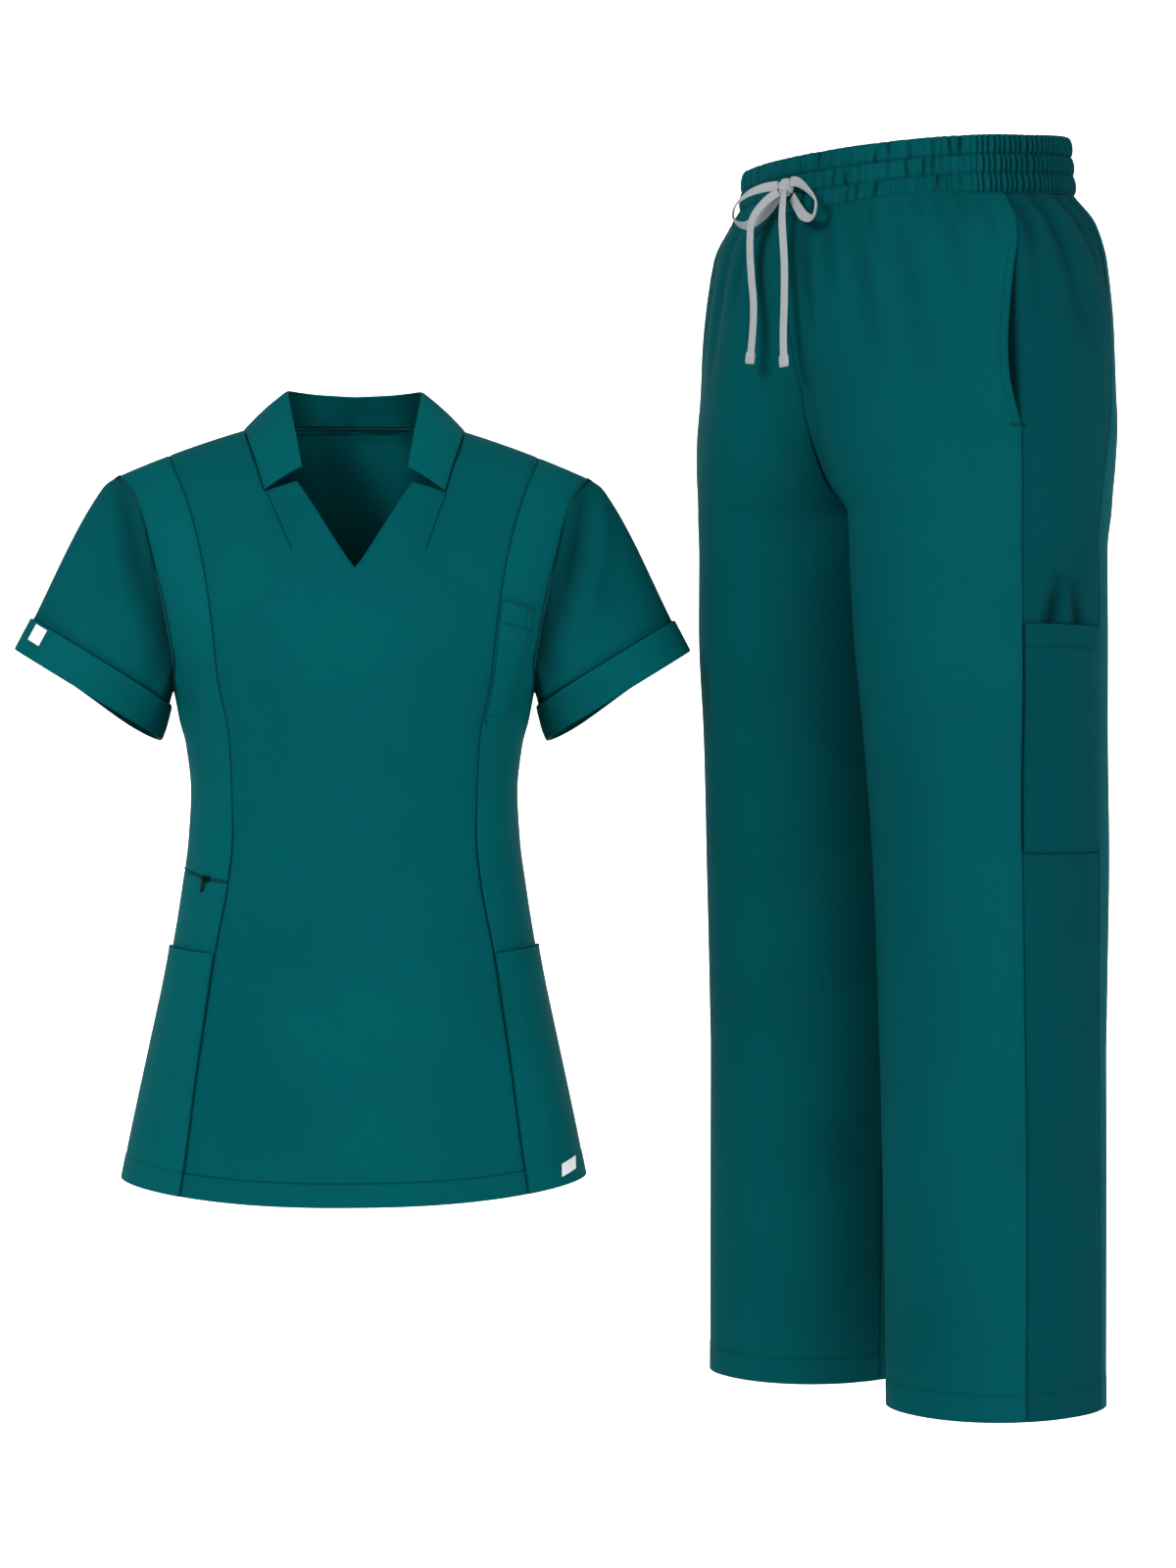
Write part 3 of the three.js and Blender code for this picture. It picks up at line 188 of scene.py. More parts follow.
def unit(vectors: np.ndarray) -> np.ndarray:
    """Return vectors at length 1."""
    return vectors / np.maximum(np.linalg.norm(vectors, axis=-1, keepdims=True), 1e-9)


def distance_along(line: np.ndarray) -> np.ndarray:
    """Return how far along a run of points each point lies."""
    return np.concatenate([[0.0], np.cumsum(np.linalg.norm(np.diff(line, axis=0), axis=1))])


class BodySection(NamedTuple):
    """Half width and depths of the tunic at one height."""

    height: float
    half_width: float
    front: float
    back: float


TUNIC_SECTIONS = [
    BodySection(20, 220, 106, 104),
    BodySection(-38, 208, 107, 104),
    BodySection(-60, 202, 109, 104),
    BodySection(-100, 190, 113, 104),
    BodySection(-140, 175, 117, 101),
    BodySection(-170, 163, 119, 98),
    BodySection(-194, 153.5, 119, 95),
    BodySection(-212, 147, 117, 92),
    BodySection(-237, 142, 113, 88),
    BodySection(-256, 137, 109, 85),
    BodySection(-294, 133, 102, 82),
    BodySection(-333, 135, 101, 84),
    BodySection(-371, 140, 105, 92),
    BodySection(-418, 147.5, 113, 104),
    BodySection(-486, 162, 119, 113),
    BodySection(-563, 178.5, 122, 118),
    BodySection(-625, 191, 125, 122),
]
# Height and distance from the middle, for the seams; the other way round for the neck edges and the zip
PRINCESS_SEAM = [
    (20, 160), (-21, 150), (-59, 134.6), (-90, 125.4), (-122, 118.5), (-160, 113), (-203, 108.5), (-257, 99),
    (-327, 97), (-365, 100.5), (-417, 110), (-471, 118), (-524, 125.5), (-576, 132), (-625, 139),
]
ARMHOLE_SEAM = [
    (-38, 188.8), (-54, 177), (-81, 167.5), (-107, 161), (-136, 153.6), (-166, 147.8), (-194, 144), (-212, 147),
]
NECK_POINT = 89.2
NECK_EDGE_FRONT = [
    (0, -117.7), (22.9, -83), (45.8, -47.3), (59, -51), (72.2, -55), (78.4, -34.7), (83.5, -20.5), (87, -10),
    (NECK_POINT, -0.001),
]
NECK_EDGE_BACK = [(0, 7), (20, 6.8), (40, 6), (60, 4.4), (77, 2.2), (NECK_POINT, -0.001)]
ZIP_HEIGHT = -363.0
ZIP_LINE = [(0, -374), (101, -365.6), (119.8, -363), (131, -359), (145, -355)]
CHEST_POCKET_EDGE = [(-144, 143), (-160, 141.5), (-174, 139.5), (-197, 133), (-221, 125.2), (-231, 121.7)]


@dataclass(frozen=True)
class TunicForm:
    """The tunic's own sizes and its surface, u in degrees round the body and v in height."""

    turn: float = 3.9
    roundness: float = 2.3
    rise_from: float = -200
    underarm: float = -212
    shoulder_close: float = 0.0006
    shoulder_slope: float = 0.3
    shoulder_curve: float = 0.0007
    neck_rise: float = 30
    shoulder_tip: float = 188.8
    princess_top: float = 150
    hem_side: float = -606
    hem_drop_front: float = 13
    hem_drop_back: float = 9
    zip_slot: float = 1.6
    half_width: Profile = field(default_factory=lambda: profile(TUNIC_SECTIONS, 0, 1))
    front: Profile = field(default_factory=lambda: profile(TUNIC_SECTIONS, 0, 2))
    back: Profile = field(default_factory=lambda: profile(TUNIC_SECTIONS, 0, 3))
    princess: Profile = field(default_factory=lambda: profile(PRINCESS_SEAM, 0, 1))
    armhole: Profile = field(default_factory=lambda: profile(ARMHOLE_SEAM, 0, 1))
    zip_height: Profile = field(default_factory=lambda: profile(ZIP_LINE, 0, 1))

    def shoulder_height(self, x: np.ndarray) -> np.ndarray:
        """Find the shoulder line.

        Args:
            x: distances from the middle.

        Returns:
            The heights at which front and back meet.
        """
        out = np.abs(x) - NECK_POINT
        inside = 1 - (x / NECK_POINT) ** 2
        over_neck = 0.5 * self.shoulder_slope * NECK_POINT * inside + self.neck_rise * inside**2
        over_shoulder = -self.shoulder_slope * out - self.shoulder_curve * out**2
        return np.where(out > 0, over_shoulder, over_neck)

    def point(self, u: np.ndarray, v: np.ndarray) -> np.ndarray:
        """Return points of the surface.

        Args:
            u: degrees round the body, 0 at the front and 180 at the back.
            v: heights.

        Returns:
            The points, in the tunic's frame.
        """
        power = 2 / self.roundness
        turn = np.radians(u)
        x = self.half_width(v) * signed_power(np.sin(turn), power)
        depth = np.where(np.abs(u) < 90, self.front(v), self.back(v))
        share = (v - self.rise_from) / (self.shoulder_height(x) - self.rise_from)
        closing = np.sqrt(np.clip(1 - np.where(share > 0, share, 0) ** 2, 0, 1))
        return np.stack([x, -depth * closing * signed_power(np.cos(turn), power), v + 0 * u], axis=-1)

    def angle(self, x: np.ndarray, height: np.ndarray) -> np.ndarray:
        """Return the degrees round the front at a distance from the middle."""
        share = np.clip(x / self.half_width(height), -1, 1)
        return np.degrees(np.arcsin(signed_power(share, self.roundness / 2)))

    def princess_angle(self, height: np.ndarray) -> np.ndarray:
        """Return where the princess seam runs, in degrees."""
        return self.angle(self.princess(height), height)

    def armhole_angle(self, height: np.ndarray) -> np.ndarray:
        """Return where the armhole runs, in degrees; the side seam is at 90."""
        return np.where(height <= self.underarm, 90.0, self.angle(self.armhole(height), height))

    def hem(self, u: np.ndarray) -> np.ndarray:
        """Return the height of the hem at u degrees."""
        drop = np.where(np.abs(u) < 90, self.hem_drop_front, self.hem_drop_back)
        return self.hem_side - drop * np.cos(np.radians(u)) ** 2

    @property
    def sleeve_top(self) -> float:
        """Return the height of the armhole's top."""
        return float(self.shoulder_height(np.array(self.shoulder_tip))) - 0.003

    def on_shoulder(self, angle_at: Callable[[np.ndarray], np.ndarray]) -> float:
        """Find where a column meets the shoulder line.

        Args:
            angle_at: the column's degrees round the body, by height.

        Returns:
            The height, just under the line.
        """
        height = -25.0
        for _ in range(40):
            x = self.point(angle_at(np.array(height)), np.array(min(height, 0.0)))[0]
            height = float(self.shoulder_height(x))
        return height - self.shoulder_close

    def place(self, points: np.ndarray) -> np.ndarray:
        """Return points of the tunic's frame in the row frame, in metres."""
        return turned(points, self.turn, 0.0)


def turned(points: np.ndarray, degrees: float, x: float) -> np.ndarray:
    """Turn points about Z and move them along X.

    Args:
        points: the points, in millimetres.
        degrees: the turn.
        x: the move, in millimetres.

    Returns:
        The points, in metres.
    """
    c, s = math.cos(math.radians(degrees)), math.sin(math.radians(degrees))
    px, py = points[..., 0], points[..., 1]
    return np.stack([c * px - s * py + x, s * px + c * py, points[..., 2]], axis=-1) * MM


TUNIC = TunicForm()


class LegSection(NamedTuple):
    """Edges and depths of one trouser half at one height."""

    height: float
    outer: float
    inner: float
    front: float
    back: float


TROUSER_SECTIONS = [
    LegSection(176, 141, -141, 123, 130),
    LegSection(150, 165, -165, 133, 141),
    LegSection(120, 177, -177, 138, 144),
    LegSection(60, 185, -185, 140, 145),
    LegSection(25, 186, -158, 138, 142),
    LegSection(0, 185, -112, 135, 138),
    LegSection(-30, 182, -63, 129, 129),
    LegSection(-55, 179, -27, 122, 120),
    LegSection(-75, 176, 0.2, 118, 114),
    LegSection(-100, 174, 4, 117, 110),
    LegSection(-160, 173, 10, 116, 109),
    LegSection(-250, 175, 14, 107, 105),
    LegSection(-352, 180, 18, 99, 101),
    LegSection(-455, 183, 20, 94, 96),
    LegSection(-600, 187, 24, 90, 91),
    LegSection(-800, 189, 27, 88, 87),
]
# Heights at which the solids' rows stand
TROUSER_ROWS = [
    176, 167, 153, 134, 108, 76, 46, 25, 8, -12, -32, -49, -62, -70, -75, -92, -124, -164, -222, -281, -341, -450,
    -590, -778,
]
# How far the cloth draws in at the centre seams, by height
CENTRE_DIP = [
    (200, 0), (150, 0.01), (98, 0.08), (46, 0.16), (20, 0.2), (-20, 0.19), (-75, 0.09), (-170, 0), (-800, 0),
]
# Height, and the degrees of the side panel's front and back seams
SIDE_PANEL_SEAMS = [
    (200, 84, 119), (160, 79, 118), (115, 74.5, 117), (60, 73, 116), (-10, 73, 115), (-164, 75, 122),
    (-352, 69, 118), (-600, 66, 116), (-800, 64, 116),
]
# Rows at the ends of the slanted pocket's mouth and of the cargo pocket
MOUTH_TOP_ROW = 3
MOUTH_LOW_ROW = 9
CARGO_TOP_ROW = 17
CARGO_LOW_ROW = 20


@dataclass(frozen=True)
class TrouserForm:
    """The trousers' own sizes and the surface of their left half."""

    turn: float = -51.8
    x: float = 447
    roundness: float = 2.15
    drop_front: float = 11
    rise_back: float = 17
    seam: float = 176
    band_depth: float = 46
    band_taper: float = 4
    outer: Profile = field(default_factory=lambda: profile(TROUSER_SECTIONS, 0, 1))
    inner: Profile = field(default_factory=lambda: profile(TROUSER_SECTIONS, 0, 2))
    front: Profile = field(default_factory=lambda: profile(TROUSER_SECTIONS, 0, 3))
    back: Profile = field(default_factory=lambda: profile(TROUSER_SECTIONS, 0, 4))
    dip: Profile = field(default_factory=lambda: profile(CENTRE_DIP, 0, 1))
    dip_width: float = 40
    dip_back: float = 0.6
    side_front: Profile = field(default_factory=lambda: profile(SIDE_PANEL_SEAMS, 0, 1))
    side_back: Profile = field(default_factory=lambda: profile(SIDE_PANEL_SEAMS, 0, 2))

    def tilt(self, u: np.ndarray) -> np.ndarray:
        """Return how much higher the waist is at u degrees than at the sides."""
        facing = np.cos(np.radians(u))
        return -np.where(facing > 0, self.drop_front, self.rise_back) * facing

    def point(self, u: np.ndarray, v: np.ndarray) -> np.ndarray:
        """Return points of the left half.

        Args:
            u: degrees round the leg, 0 at its front and 90 at its outer side.
            v: heights before the waist is tilted.

        Returns:
            The points, in the trousers' frame.
        """
        power = 2 / self.roundness
        turn = np.radians(u)
        middle = (self.outer(v) + self.inner(v)) / 2
        half = (self.outer(v) - self.inner(v)) / 2
        depth = np.where(np.cos(turn) > 0, self.front(v), self.back(v))
        z = v + self.tilt(u) * smoothstep(v, -20, self.seam)
        x = middle + half * signed_power(np.sin(turn), power)
        facing = np.where(np.cos(turn) > 0, 1.0, self.dip_back)
        drawn_in = 1 - self.dip(v) * bell(x, 0, self.dip_width) * facing
        return np.stack([x, -depth * signed_power(np.cos(turn), power) * drawn_in, z], axis=-1)

    def inner_angle(self, v: np.ndarray) -> np.ndarray:
        """Find where the front meets the middle.

        Args:
            v: heights.

        Returns:
            Degrees round the leg: 0 above the crotch, -90 at the inseam.
        """
        middle = (self.outer(v) + self.inner(v)) / 2
        half = (self.outer(v) - self.inner(v)) / 2
        share = np.minimum(1, np.maximum(0, middle - 0.01) / half)
        return -np.degrees(np.arcsin(share ** (self.roundness / 2)))

    def band_point(self, u: np.ndarray, v: np.ndarray) -> np.ndarray:
        """Return points of the waistband.

        Args:
            u: degrees round the waist.
            v: heights above the band's seam.

        Returns:
            The points, in the trousers' frame.
        """
        taper = self.band_taper * v / self.band_depth
        power = 2 / self.roundness
        turn = np.radians(u)
        depth = np.where(np.cos(turn) > 0, self.front(self.seam), self.back(self.seam))
        x = (self.outer(self.seam) - taper) * signed_power(np.sin(turn), power)
        y = -(depth - taper) * signed_power(np.cos(turn), power)
        return np.stack([x, y, self.seam + v + self.tilt(u)], axis=-1)

    def place(self, points: np.ndarray) -> np.ndarray:
        """Return points of the trousers' frame in the row frame, in metres."""
        return turned(points, self.turn, self.x)


TROUSERS = TrouserForm()


# ---- folds ----


class Fold(NamedTuple):
    """A soft crease: a run of (u, v) places, its half width, depth (a trough below zero) and shade."""

    run: tuple
    width: float
    depth: float
    shade: float = 0.0


class Relief(NamedTuple):
    """Moves of a panel's points along their normals, and how shaded each is, from 0 to 1."""

    lift: np.ndarray
    shade: np.ndarray


def fold_relief(points: np.ndarray, surface: Surface, folds: Sequence[Fold]) -> Relief:
    """Return how far folds move each point along its normal.

    Args:
        points: grid of points, in a garment's frame.
        surface: the surface that the folds lie on.
        folds: the folds.

    Returns:
        The moves and shades, one for each point.
    """
    total = np.zeros(points.shape[:-1])
    shade = np.zeros(points.shape[:-1])
    for fold in folds:
        places = np.array(fold.run, float)
        line = surface(places[:, 0], places[:, 1])
        lengths = np.linalg.norm(np.diff(line, axis=0), axis=1)
        whole = lengths.sum()
        nearest = np.full(total.shape, np.inf)
        along = np.zeros(total.shape)
        start = 0.0
        for a, b, length in zip(line[:-1], line[1:], lengths):
            way = (b - a) / max(length, 1e-6)
            t = np.clip((points - a) @ way, 0, length)
            gap = np.linalg.norm(points - a - t[..., None] * way, axis=-1)
            closer = gap < nearest
            nearest = np.where(closer, gap, nearest)
            along = np.where(closer, start + t, along)
            start += length
        fade = np.sin(np.pi * np.clip(0.12 + 0.88 * along / whole, 0, 1)) ** 0.7
        cross = np.exp(-((nearest / fold.width) ** 2))
        total += fold.depth * fade * cross
        shade += fold.shade * fade * cross
    return Relief(total, shade)


# ---- panels ----


@dataclass
class Grid:
    """Rows and columns of (u, v) on a surface."""

    u: np.ndarray
    v: np.ndarray


def normals_of(surface: Surface, grid: Grid) -> np.ndarray:
    """Find the way out of the cloth.

    Args:
        surface: the surface that the cloth lies on.
        grid: the places.

    Returns:
        The way out at each place, at length 1.
    """
    nudge = 0.4
    along = surface(grid.u + nudge, grid.v) - surface(grid.u - nudge, grid.v)
    up = surface(grid.u, grid.v + nudge) - surface(grid.u, grid.v - nudge)
    return unit(np.cross(along, up))


class EdgeDistances(NamedTuple):
    """Distance of each point of a panel from its four edges."""

    first: np.ndarray
    last: np.ndarray
    low: np.ndarray
    top: np.ndarray


def edge_distances(points: np.ndarray) -> EdgeDistances:
    """Measure how far each point lies from the edges, along the cloth.

    Args:
        points: a grid of points.

    Returns:
        The distances.
    """
    across = np.linalg.norm(np.diff(points, axis=1), axis=-1)
    first = np.concatenate([np.zeros((len(points), 1)), np.cumsum(across, axis=1)], axis=1)
    up = np.linalg.norm(np.diff(points, axis=0), axis=-1)
    low = np.concatenate([np.zeros((1, points.shape[1])), np.cumsum(up, axis=0)], axis=0)
    return EdgeDistances(first, first[:, -1:] - first, low, low[-1:] - low)


def even_with_edges(
    count: int, length: float, near: Sequence[float] = (0.5, 1.1, 2.0, 3.4), also: Sequence[float] = ()
) -> np.ndarray:
    """Return shares from 0 to 1, even in the middle and closer at both ends.

    Args:
        count: even steps.
        length: length of the panel that way, in millimetres.
        near: distances from each end that also get a step.
        also: further distances from the start that get one.

    Returns:
        The shares.
    """
    close = np.array(near) / length
    inner = np.linspace(0, 1, count + 1)
    inner = inner[(inner > close[-1] * 1.3) & (inner < 1 - close[-1] * 1.3)]
    further = np.array(also) / length
    if len(further):
        inner = inner[(inner < further.min() - 0.004) | (inner > further.max() + 0.004)]
    return np.unique(np.concatenate([[0.0], close, inner, further, 1 - close, [1.0]]))


@dataclass
class Panel:
    """One cut piece of cloth on a surface, with its relief, as an outer and an inner grid.

    outer and inner are its faces' distances from the surface, ring says that it closes on itself,
    mirror that it is the twin on the wearer's right, and keep holds its points on their side of a
    seam. roll is how deep it turns into its seams and seam_shade how much painted shade it gets there,
    and its inside's painted shade, painted light where it is below zero, comes from a callable of its own.
    """

    name: str
    surface: Surface
    grid: Grid
    place: Place
    outer: float = 0.0
    inner: float = -CLOTH
    edges: Edges = Edges()
    ring: bool = False
    mirror: bool = False
    keep: Callable[[np.ndarray], np.ndarray] | None = None
    relief: Callable[["Panel"], Relief] | None = None
    roll: float = 0.6
    seam_shade: float = 0.3
    lining: Callable[["Panel"], np.ndarray] | None = None
    flip: bool = False

    def build(self) -> bpy.types.Object:
        """Shape the panel.

        Returns:
            Its object.
        """
        self.base = self.surface(self.grid.u, self.grid.v)
        self.normals = normals_of(self.surface, self.grid) * (-1 if self.flip else 1)
        self.far = edge_distances(self.base)
        lift, shade = self.rolled()
        if self.relief is not None:
            more = self.relief(self)
            lift, shade = lift + more.lift, shade + more.shade
        lift = np.nan_to_num(lift)
        self.shade = np.clip(shade, 0, 1)
        # painted shade of the inside, and painted light where it is below zero
        self.inner_shade = self.shade if self.lining is None else np.clip(self.lining(self), -1.3, 1)
        points = self.drawn_back(self.base)
        self.sewn = self.kept(self.base + self.normals * (self.outer + lift)[..., None])
        self.outside = self.kept(points + self.normals * (self.outer + lift)[..., None])
        self.inside = self.kept(points + self.normals * (self.inner + lift)[..., None])
        if self.mirror:
            self.outside, self.inside = self.outside * MIRROR, self.inside * MIRROR
            self.sewn, self.normals = self.sewn * MIRROR, self.normals * MIRROR
        return shell_object(self)

    def rolled(self) -> Relief:
        """Roll the cloth down into its seams and shade it there.

        Returns:
            The relief.
        """
        lift = np.zeros(self.grid.u.shape)
        shade = np.zeros(self.grid.u.shape)
        pairs = list(zip(self.edges, self.far))
        for edge, far in pairs[2:] if self.ring else pairs:
            if edge is Edge.SEAM:
                lift -= self.roll * bell(far, 0, 1.3)
                shade += self.seam_shade * bell(far, 0, 0.7) + 0.1 * bell(far, 0, 4)
        return Relief(lift, shade)

    def edge(self, which: str, start: float = 0.0, end: float = 1.0) -> "Line":
        """Return a stretch of one edge of the panel, at its seam.

        Args:
            which: first, last, low or top.
            start: share of the edge at which the stretch starts.
            end: share of the edge at which it ends.

        Returns:
            The line.
        """
        pick = {"first": np.s_[:, 0], "last": np.s_[:, -1], "low": np.s_[0], "top": np.s_[-1]}[which]
        points, normals = self.sewn[pick], self.normals[pick]
        if self.ring:
            points, normals = np.vstack([points, points[:1]]), np.vstack([normals, normals[:1]])
        low, high = int(start * (len(points) - 1)), int(end * (len(points) - 1)) + 1
        return Line(points[low:high], normals[low:high])

    def drawn_back(self, base: np.ndarray) -> np.ndarray:
        """Draw the seamed edges half a seam gap back.

        Args:
            base: the panel's points on its surface.

        Returns:
            The points.
        """
        points = base.copy()

        def pull(to: np.ndarray, start: np.ndarray) -> np.ndarray:
            """Return the start moved half a seam gap on."""
            return start + unit(to - start) * SEAM_GAP / 2

        if not self.ring:
            if self.edges.first is Edge.SEAM:
                points[:, 0] = pull(base[:, 1], base[:, 0])
            if self.edges.last is Edge.SEAM:
                points[:, -1] = pull(base[:, -2], base[:, -1])
        if self.edges.low is Edge.SEAM:
            points[0] = pull(points[1], points[0])
        if self.edges.top is Edge.SEAM:
            points[-1] = pull(points[-2], points[-1])
        return points

    def folded(self, folds: Sequence[Fold]) -> Relief:
        """Return the relief of some folds on the panel."""
        return fold_relief(self.base, self.surface, folds)

    def kept(self, points: np.ndarray) -> np.ndarray:
        """Return the points held on their own side of a seam."""
        return points if self.keep is None else self.keep(points)

    def line_at(self, far: np.ndarray, distance: float, across: bool) -> "Line":
        """Return the line on the outer face at a distance from an edge.

        Args:
            far: the panel's distances from that edge.
            distance: how far from the edge the line runs.
            across: whether the line crosses the columns, as a hem's does.

        Returns:
            The line, with the way out of the cloth.
        """
        points, normals = self.outside, self.normals
        if not across:
            points, normals, far = points.swapaxes(0, 1), normals.swapaxes(0, 1), far.swapaxes(0, 1)
        places, outs = [], []
        for column in range(points.shape[1]):
            order = np.argsort(far[:, column])
            steps = far[order, column]
            if steps[-1] < distance:
                continue
            places.append([np.interp(distance, steps, points[order, column, k]) for k in range(3)])
            outs.append([np.interp(distance, steps, normals[order, column, k]) for k in range(3)])
        return Line(np.array(places), np.array(outs))

    def area(self) -> float:
        """Measure the outer face.

        Returns:
            Its area in square metres.
        """
        points = self.outside
        if self.ring:
            points = np.concatenate([points, points[:, :1]], axis=1)
        a, b = points[:-1, :-1], points[:-1, 1:]
        c, d = points[1:, 1:], points[1:, :-1]
        one = np.linalg.norm(np.cross(b - a, c - a), axis=-1)
        two = np.linalg.norm(np.cross(c - a, d - a), axis=-1)
        return float((one.sum() + two.sum()) / 2) * MM * MM


class Line(NamedTuple):
    """A run of points on the cloth, in a garment's frame, with the way out at each."""

    points: np.ndarray
    normals: np.ndarray

    def sunk(self, depth: float) -> "Line":
        """Return the line moved into the cloth."""
        return Line(self.points - self.normals * depth, self.normals)


def grid_faces(rows: int, columns: int, wrap: int) -> np.ndarray:
    """Return the faces between the rows of a grid.

    Args:
        rows: how many rows it has.
        columns: how many points a row has.
        wrap: how many faces a row has: one for each point where it closes on itself.

    Returns:
        The corner numbers of each face.
    """
    r, c = np.meshgrid(np.arange(rows - 1), np.arange(wrap), indexing="ij")
    r, c = r.ravel(), c.ravel()
    a, b = r * columns + c, r * columns + (c + 1) % columns
    return np.stack([a, b, b + columns, a + columns], 1)


def shell_object(panel: Panel) -> bpy.types.Object:
    """Make a closed thin shell between a panel's two faces, with its cut as a UV map.

    Args:
        panel: the shaped panel.

    Returns:
        The object.
    """
    rows, columns = panel.outside.shape[:2]
    points = np.concatenate([panel.outside.reshape(-1, 3), panel.inside.reshape(-1, 3)])
    offset = rows * columns
    wrap = columns if panel.ring else columns - 1
    outer = grid_faces(rows, columns, wrap)
    faces = [outer, outer[:, [0, 3, 2, 1]] + offset]
    low = np.arange(wrap)
    low_next = (low + 1) % columns
    top, top_next = low + (rows - 1) * columns, low_next + (rows - 1) * columns
    faces.append(np.stack([low, low + offset, low_next + offset, low_next], 1))
    faces.append(np.stack([top, top_next, top_next + offset, top + offset], 1))
    if not panel.ring:
        side = np.arange(rows - 1) * columns
        up = side + columns
        faces.append(np.stack([side, up, up + offset, side + offset], 1))
        last, last_up = side + columns - 1, up + columns - 1
        faces.append(np.stack([last, last + offset, last_up + offset, last_up], 1))
    quads = np.concatenate(faces)
    if panel.mirror:
        quads = quads[:, ::-1]
    cut = np.stack([panel.far.first * MM, panel.far.low * MM], axis=-1).reshape(-1, 2)
    cut = np.concatenate([cut, cut])
    shade = np.concatenate([panel.shade.ravel(), panel.inner_shade.ravel()])
    return mesh_object(panel.name, panel.place(points), quads, cut, shade)


def mesh_object(
    name: str, points: np.ndarray, faces: np.ndarray, cut: np.ndarray | None = None,
    shade: np.ndarray | None = None,
) -> bpy.types.Object:
    """Return a new mesh object in the scene, with its faces outward.

    Args:
        name: the object's name.
        points: vertex places in the row frame, in metres.
        faces: corner numbers of each face.
        cut: a UV place for each vertex, or None.
        shade: how shaded each vertex is, or None.

    Returns:
        The object.
    """
    quads = np.asarray(faces)
    if volume_of(points, quads) < 0:
        quads = quads[:, ::-1]
    mesh = bpy.data.meshes.new(name)
    mesh.from_pydata(points.tolist(), [], quads.tolist())
    if cut is not None:
        layer = mesh.uv_layers.new(name="cut")
        corners = np.empty(len(mesh.loops), np.int32)
        mesh.loops.foreach_get("vertex_index", corners)
        places = cut[corners].reshape(len(mesh.polygons), -1, 2)
        whole = float(cut[:, 0].max())
        across = places[..., 0]
        wraps = across.max(axis=1, keepdims=True) - across.min(axis=1, keepdims=True) > whole / 2
        places[..., 0] = np.where(wraps & (across < whole / 2), across + whole, across)
        layer.data.foreach_set("uv", places.astype(np.float32).ravel())
    if shade is not None:
        layer = mesh.attributes.new("shade", "FLOAT", "POINT")
        layer.data.foreach_set("value", shade.astype(np.float32))
    mesh.polygons.foreach_set("use_smooth", [True] * len(mesh.polygons))
    mesh.update()
    obj = linked(name, mesh)
    only(obj)
    bpy.ops.object.shade_smooth_by_angle(angle=math.radians(50))
    return obj


def linked(name: str, data: bpy.types.ID) -> bpy.types.Object:
    """Put a new object in the scene.

    Args:
        name: its name.
        data: its mesh, camera or light.

    Returns:
        The object.
    """
    obj = bpy.data.objects.new(name, data)
    bpy.context.scene.collection.objects.link(obj)
    return obj


def volume_of(points: np.ndarray, quads: np.ndarray) -> float:
    """Measure what faces enclose.

    Args:
        points: vertex places.
        quads: corner numbers of each face.

    Returns:
        Six times the volume, below zero where the faces look inward.
    """
    total = 0.0
    for second in range(1, quads.shape[1] - 1):
        a, b, c = points[quads[:, 0]], points[quads[:, second]], points[quads[:, second + 1]]
        total += float(np.einsum("ij,ij->i", a, np.cross(b, c)).sum())
    return total


def only(obj: bpy.types.Object) -> None:
    """Select one object and make it the active one.

    Args:
        obj: the object.
    """
    bpy.ops.object.select_all(action="DESELECT")
    obj.select_set(True)
    bpy.context.view_layer.objects.active = obj


# ---- stitches ----


def resampled(line: Line, pitch: float) -> tuple[np.ndarray, np.ndarray, np.ndarray]:
    """Step evenly along a line.

    Args:
        line: the line.
        pitch: the length of a step.

    Returns:
        The points, the ways along and the ways out at the steps.
    """
    at = distance_along(line.points)
    count = max(2, int(at[-1] / pitch))
    steps = (np.arange(count) + 0.5) * at[-1] / count

    def taken(rows: np.ndarray, where: np.ndarray) -> np.ndarray:
        """Return rows read off at distances along the line."""
        return np.stack([np.interp(where, at, rows[:, k]) for k in range(3)], 1)

    ahead, back = np.minimum(steps + 0.5, at[-1]), np.maximum(steps - 0.5, 0)
    along = unit(taken(line.points, ahead) - taken(line.points, back))
    normals = taken(line.normals, steps)
    normals -= np.sum(normals * along, axis=1, keepdims=True) * along
    return taken(line.points, steps), along, unit(normals)


@dataclass(frozen=True)
class Thread:
    """Size of a row of lockstitches."""

    pitch: float = 2.9
    length: float = 2.25
    thick: float = 0.42
    proud: float = 0.16

    def sewn(self, name: str, lines: Sequence[Line], place: Place) -> bpy.types.Object:
        """Return the stitches of some lines as one object.

        Args:
            name: the object's name.
            lines: lines on the cloth.
            place: takes the garment's frame to the row frame.

        Returns:
            The object.
        """
        all_points, all_faces = [], []
        offset = 0
        for line in lines:
            if len(line.points) < 2:
                continue
            points, along, out = resampled(line, self.pitch)
            side = np.cross(along, out)
            half = self.length / 2
            rings = [(-half, 0.35, -0.1), (-half * 0.55, 1.0, 0.1), (half * 0.55, 1.0, 0.1), (half, 0.35, -0.1)]
            corners = [(1.0, 0.0), (0.0, 1.0), (-1.0, 0.0), (0.0, -1.0)]
            stack = []
            for shift, size, rise in rings:
                for across, up in corners:
                    move = along * shift + side * (across * size * self.thick / 2)
                    move = move + out * (up * size * self.thick / 2 + self.proud + rise)
                    stack.append(points + move)
            faces = np.concatenate([grid_faces(4, 4, 4), [[3, 2, 1, 0], [12, 13, 14, 15]]])
            shifts = offset + 16 * np.arange(len(points))
            all_faces.append((faces[None] + shifts[:, None, None]).reshape(-1, 4))
            all_points.append(np.stack(stack, 1).reshape(-1, 3))
            offset += 16 * len(points)
        return mesh_object(name, place(np.concatenate(all_points)), np.concatenate(all_faces))


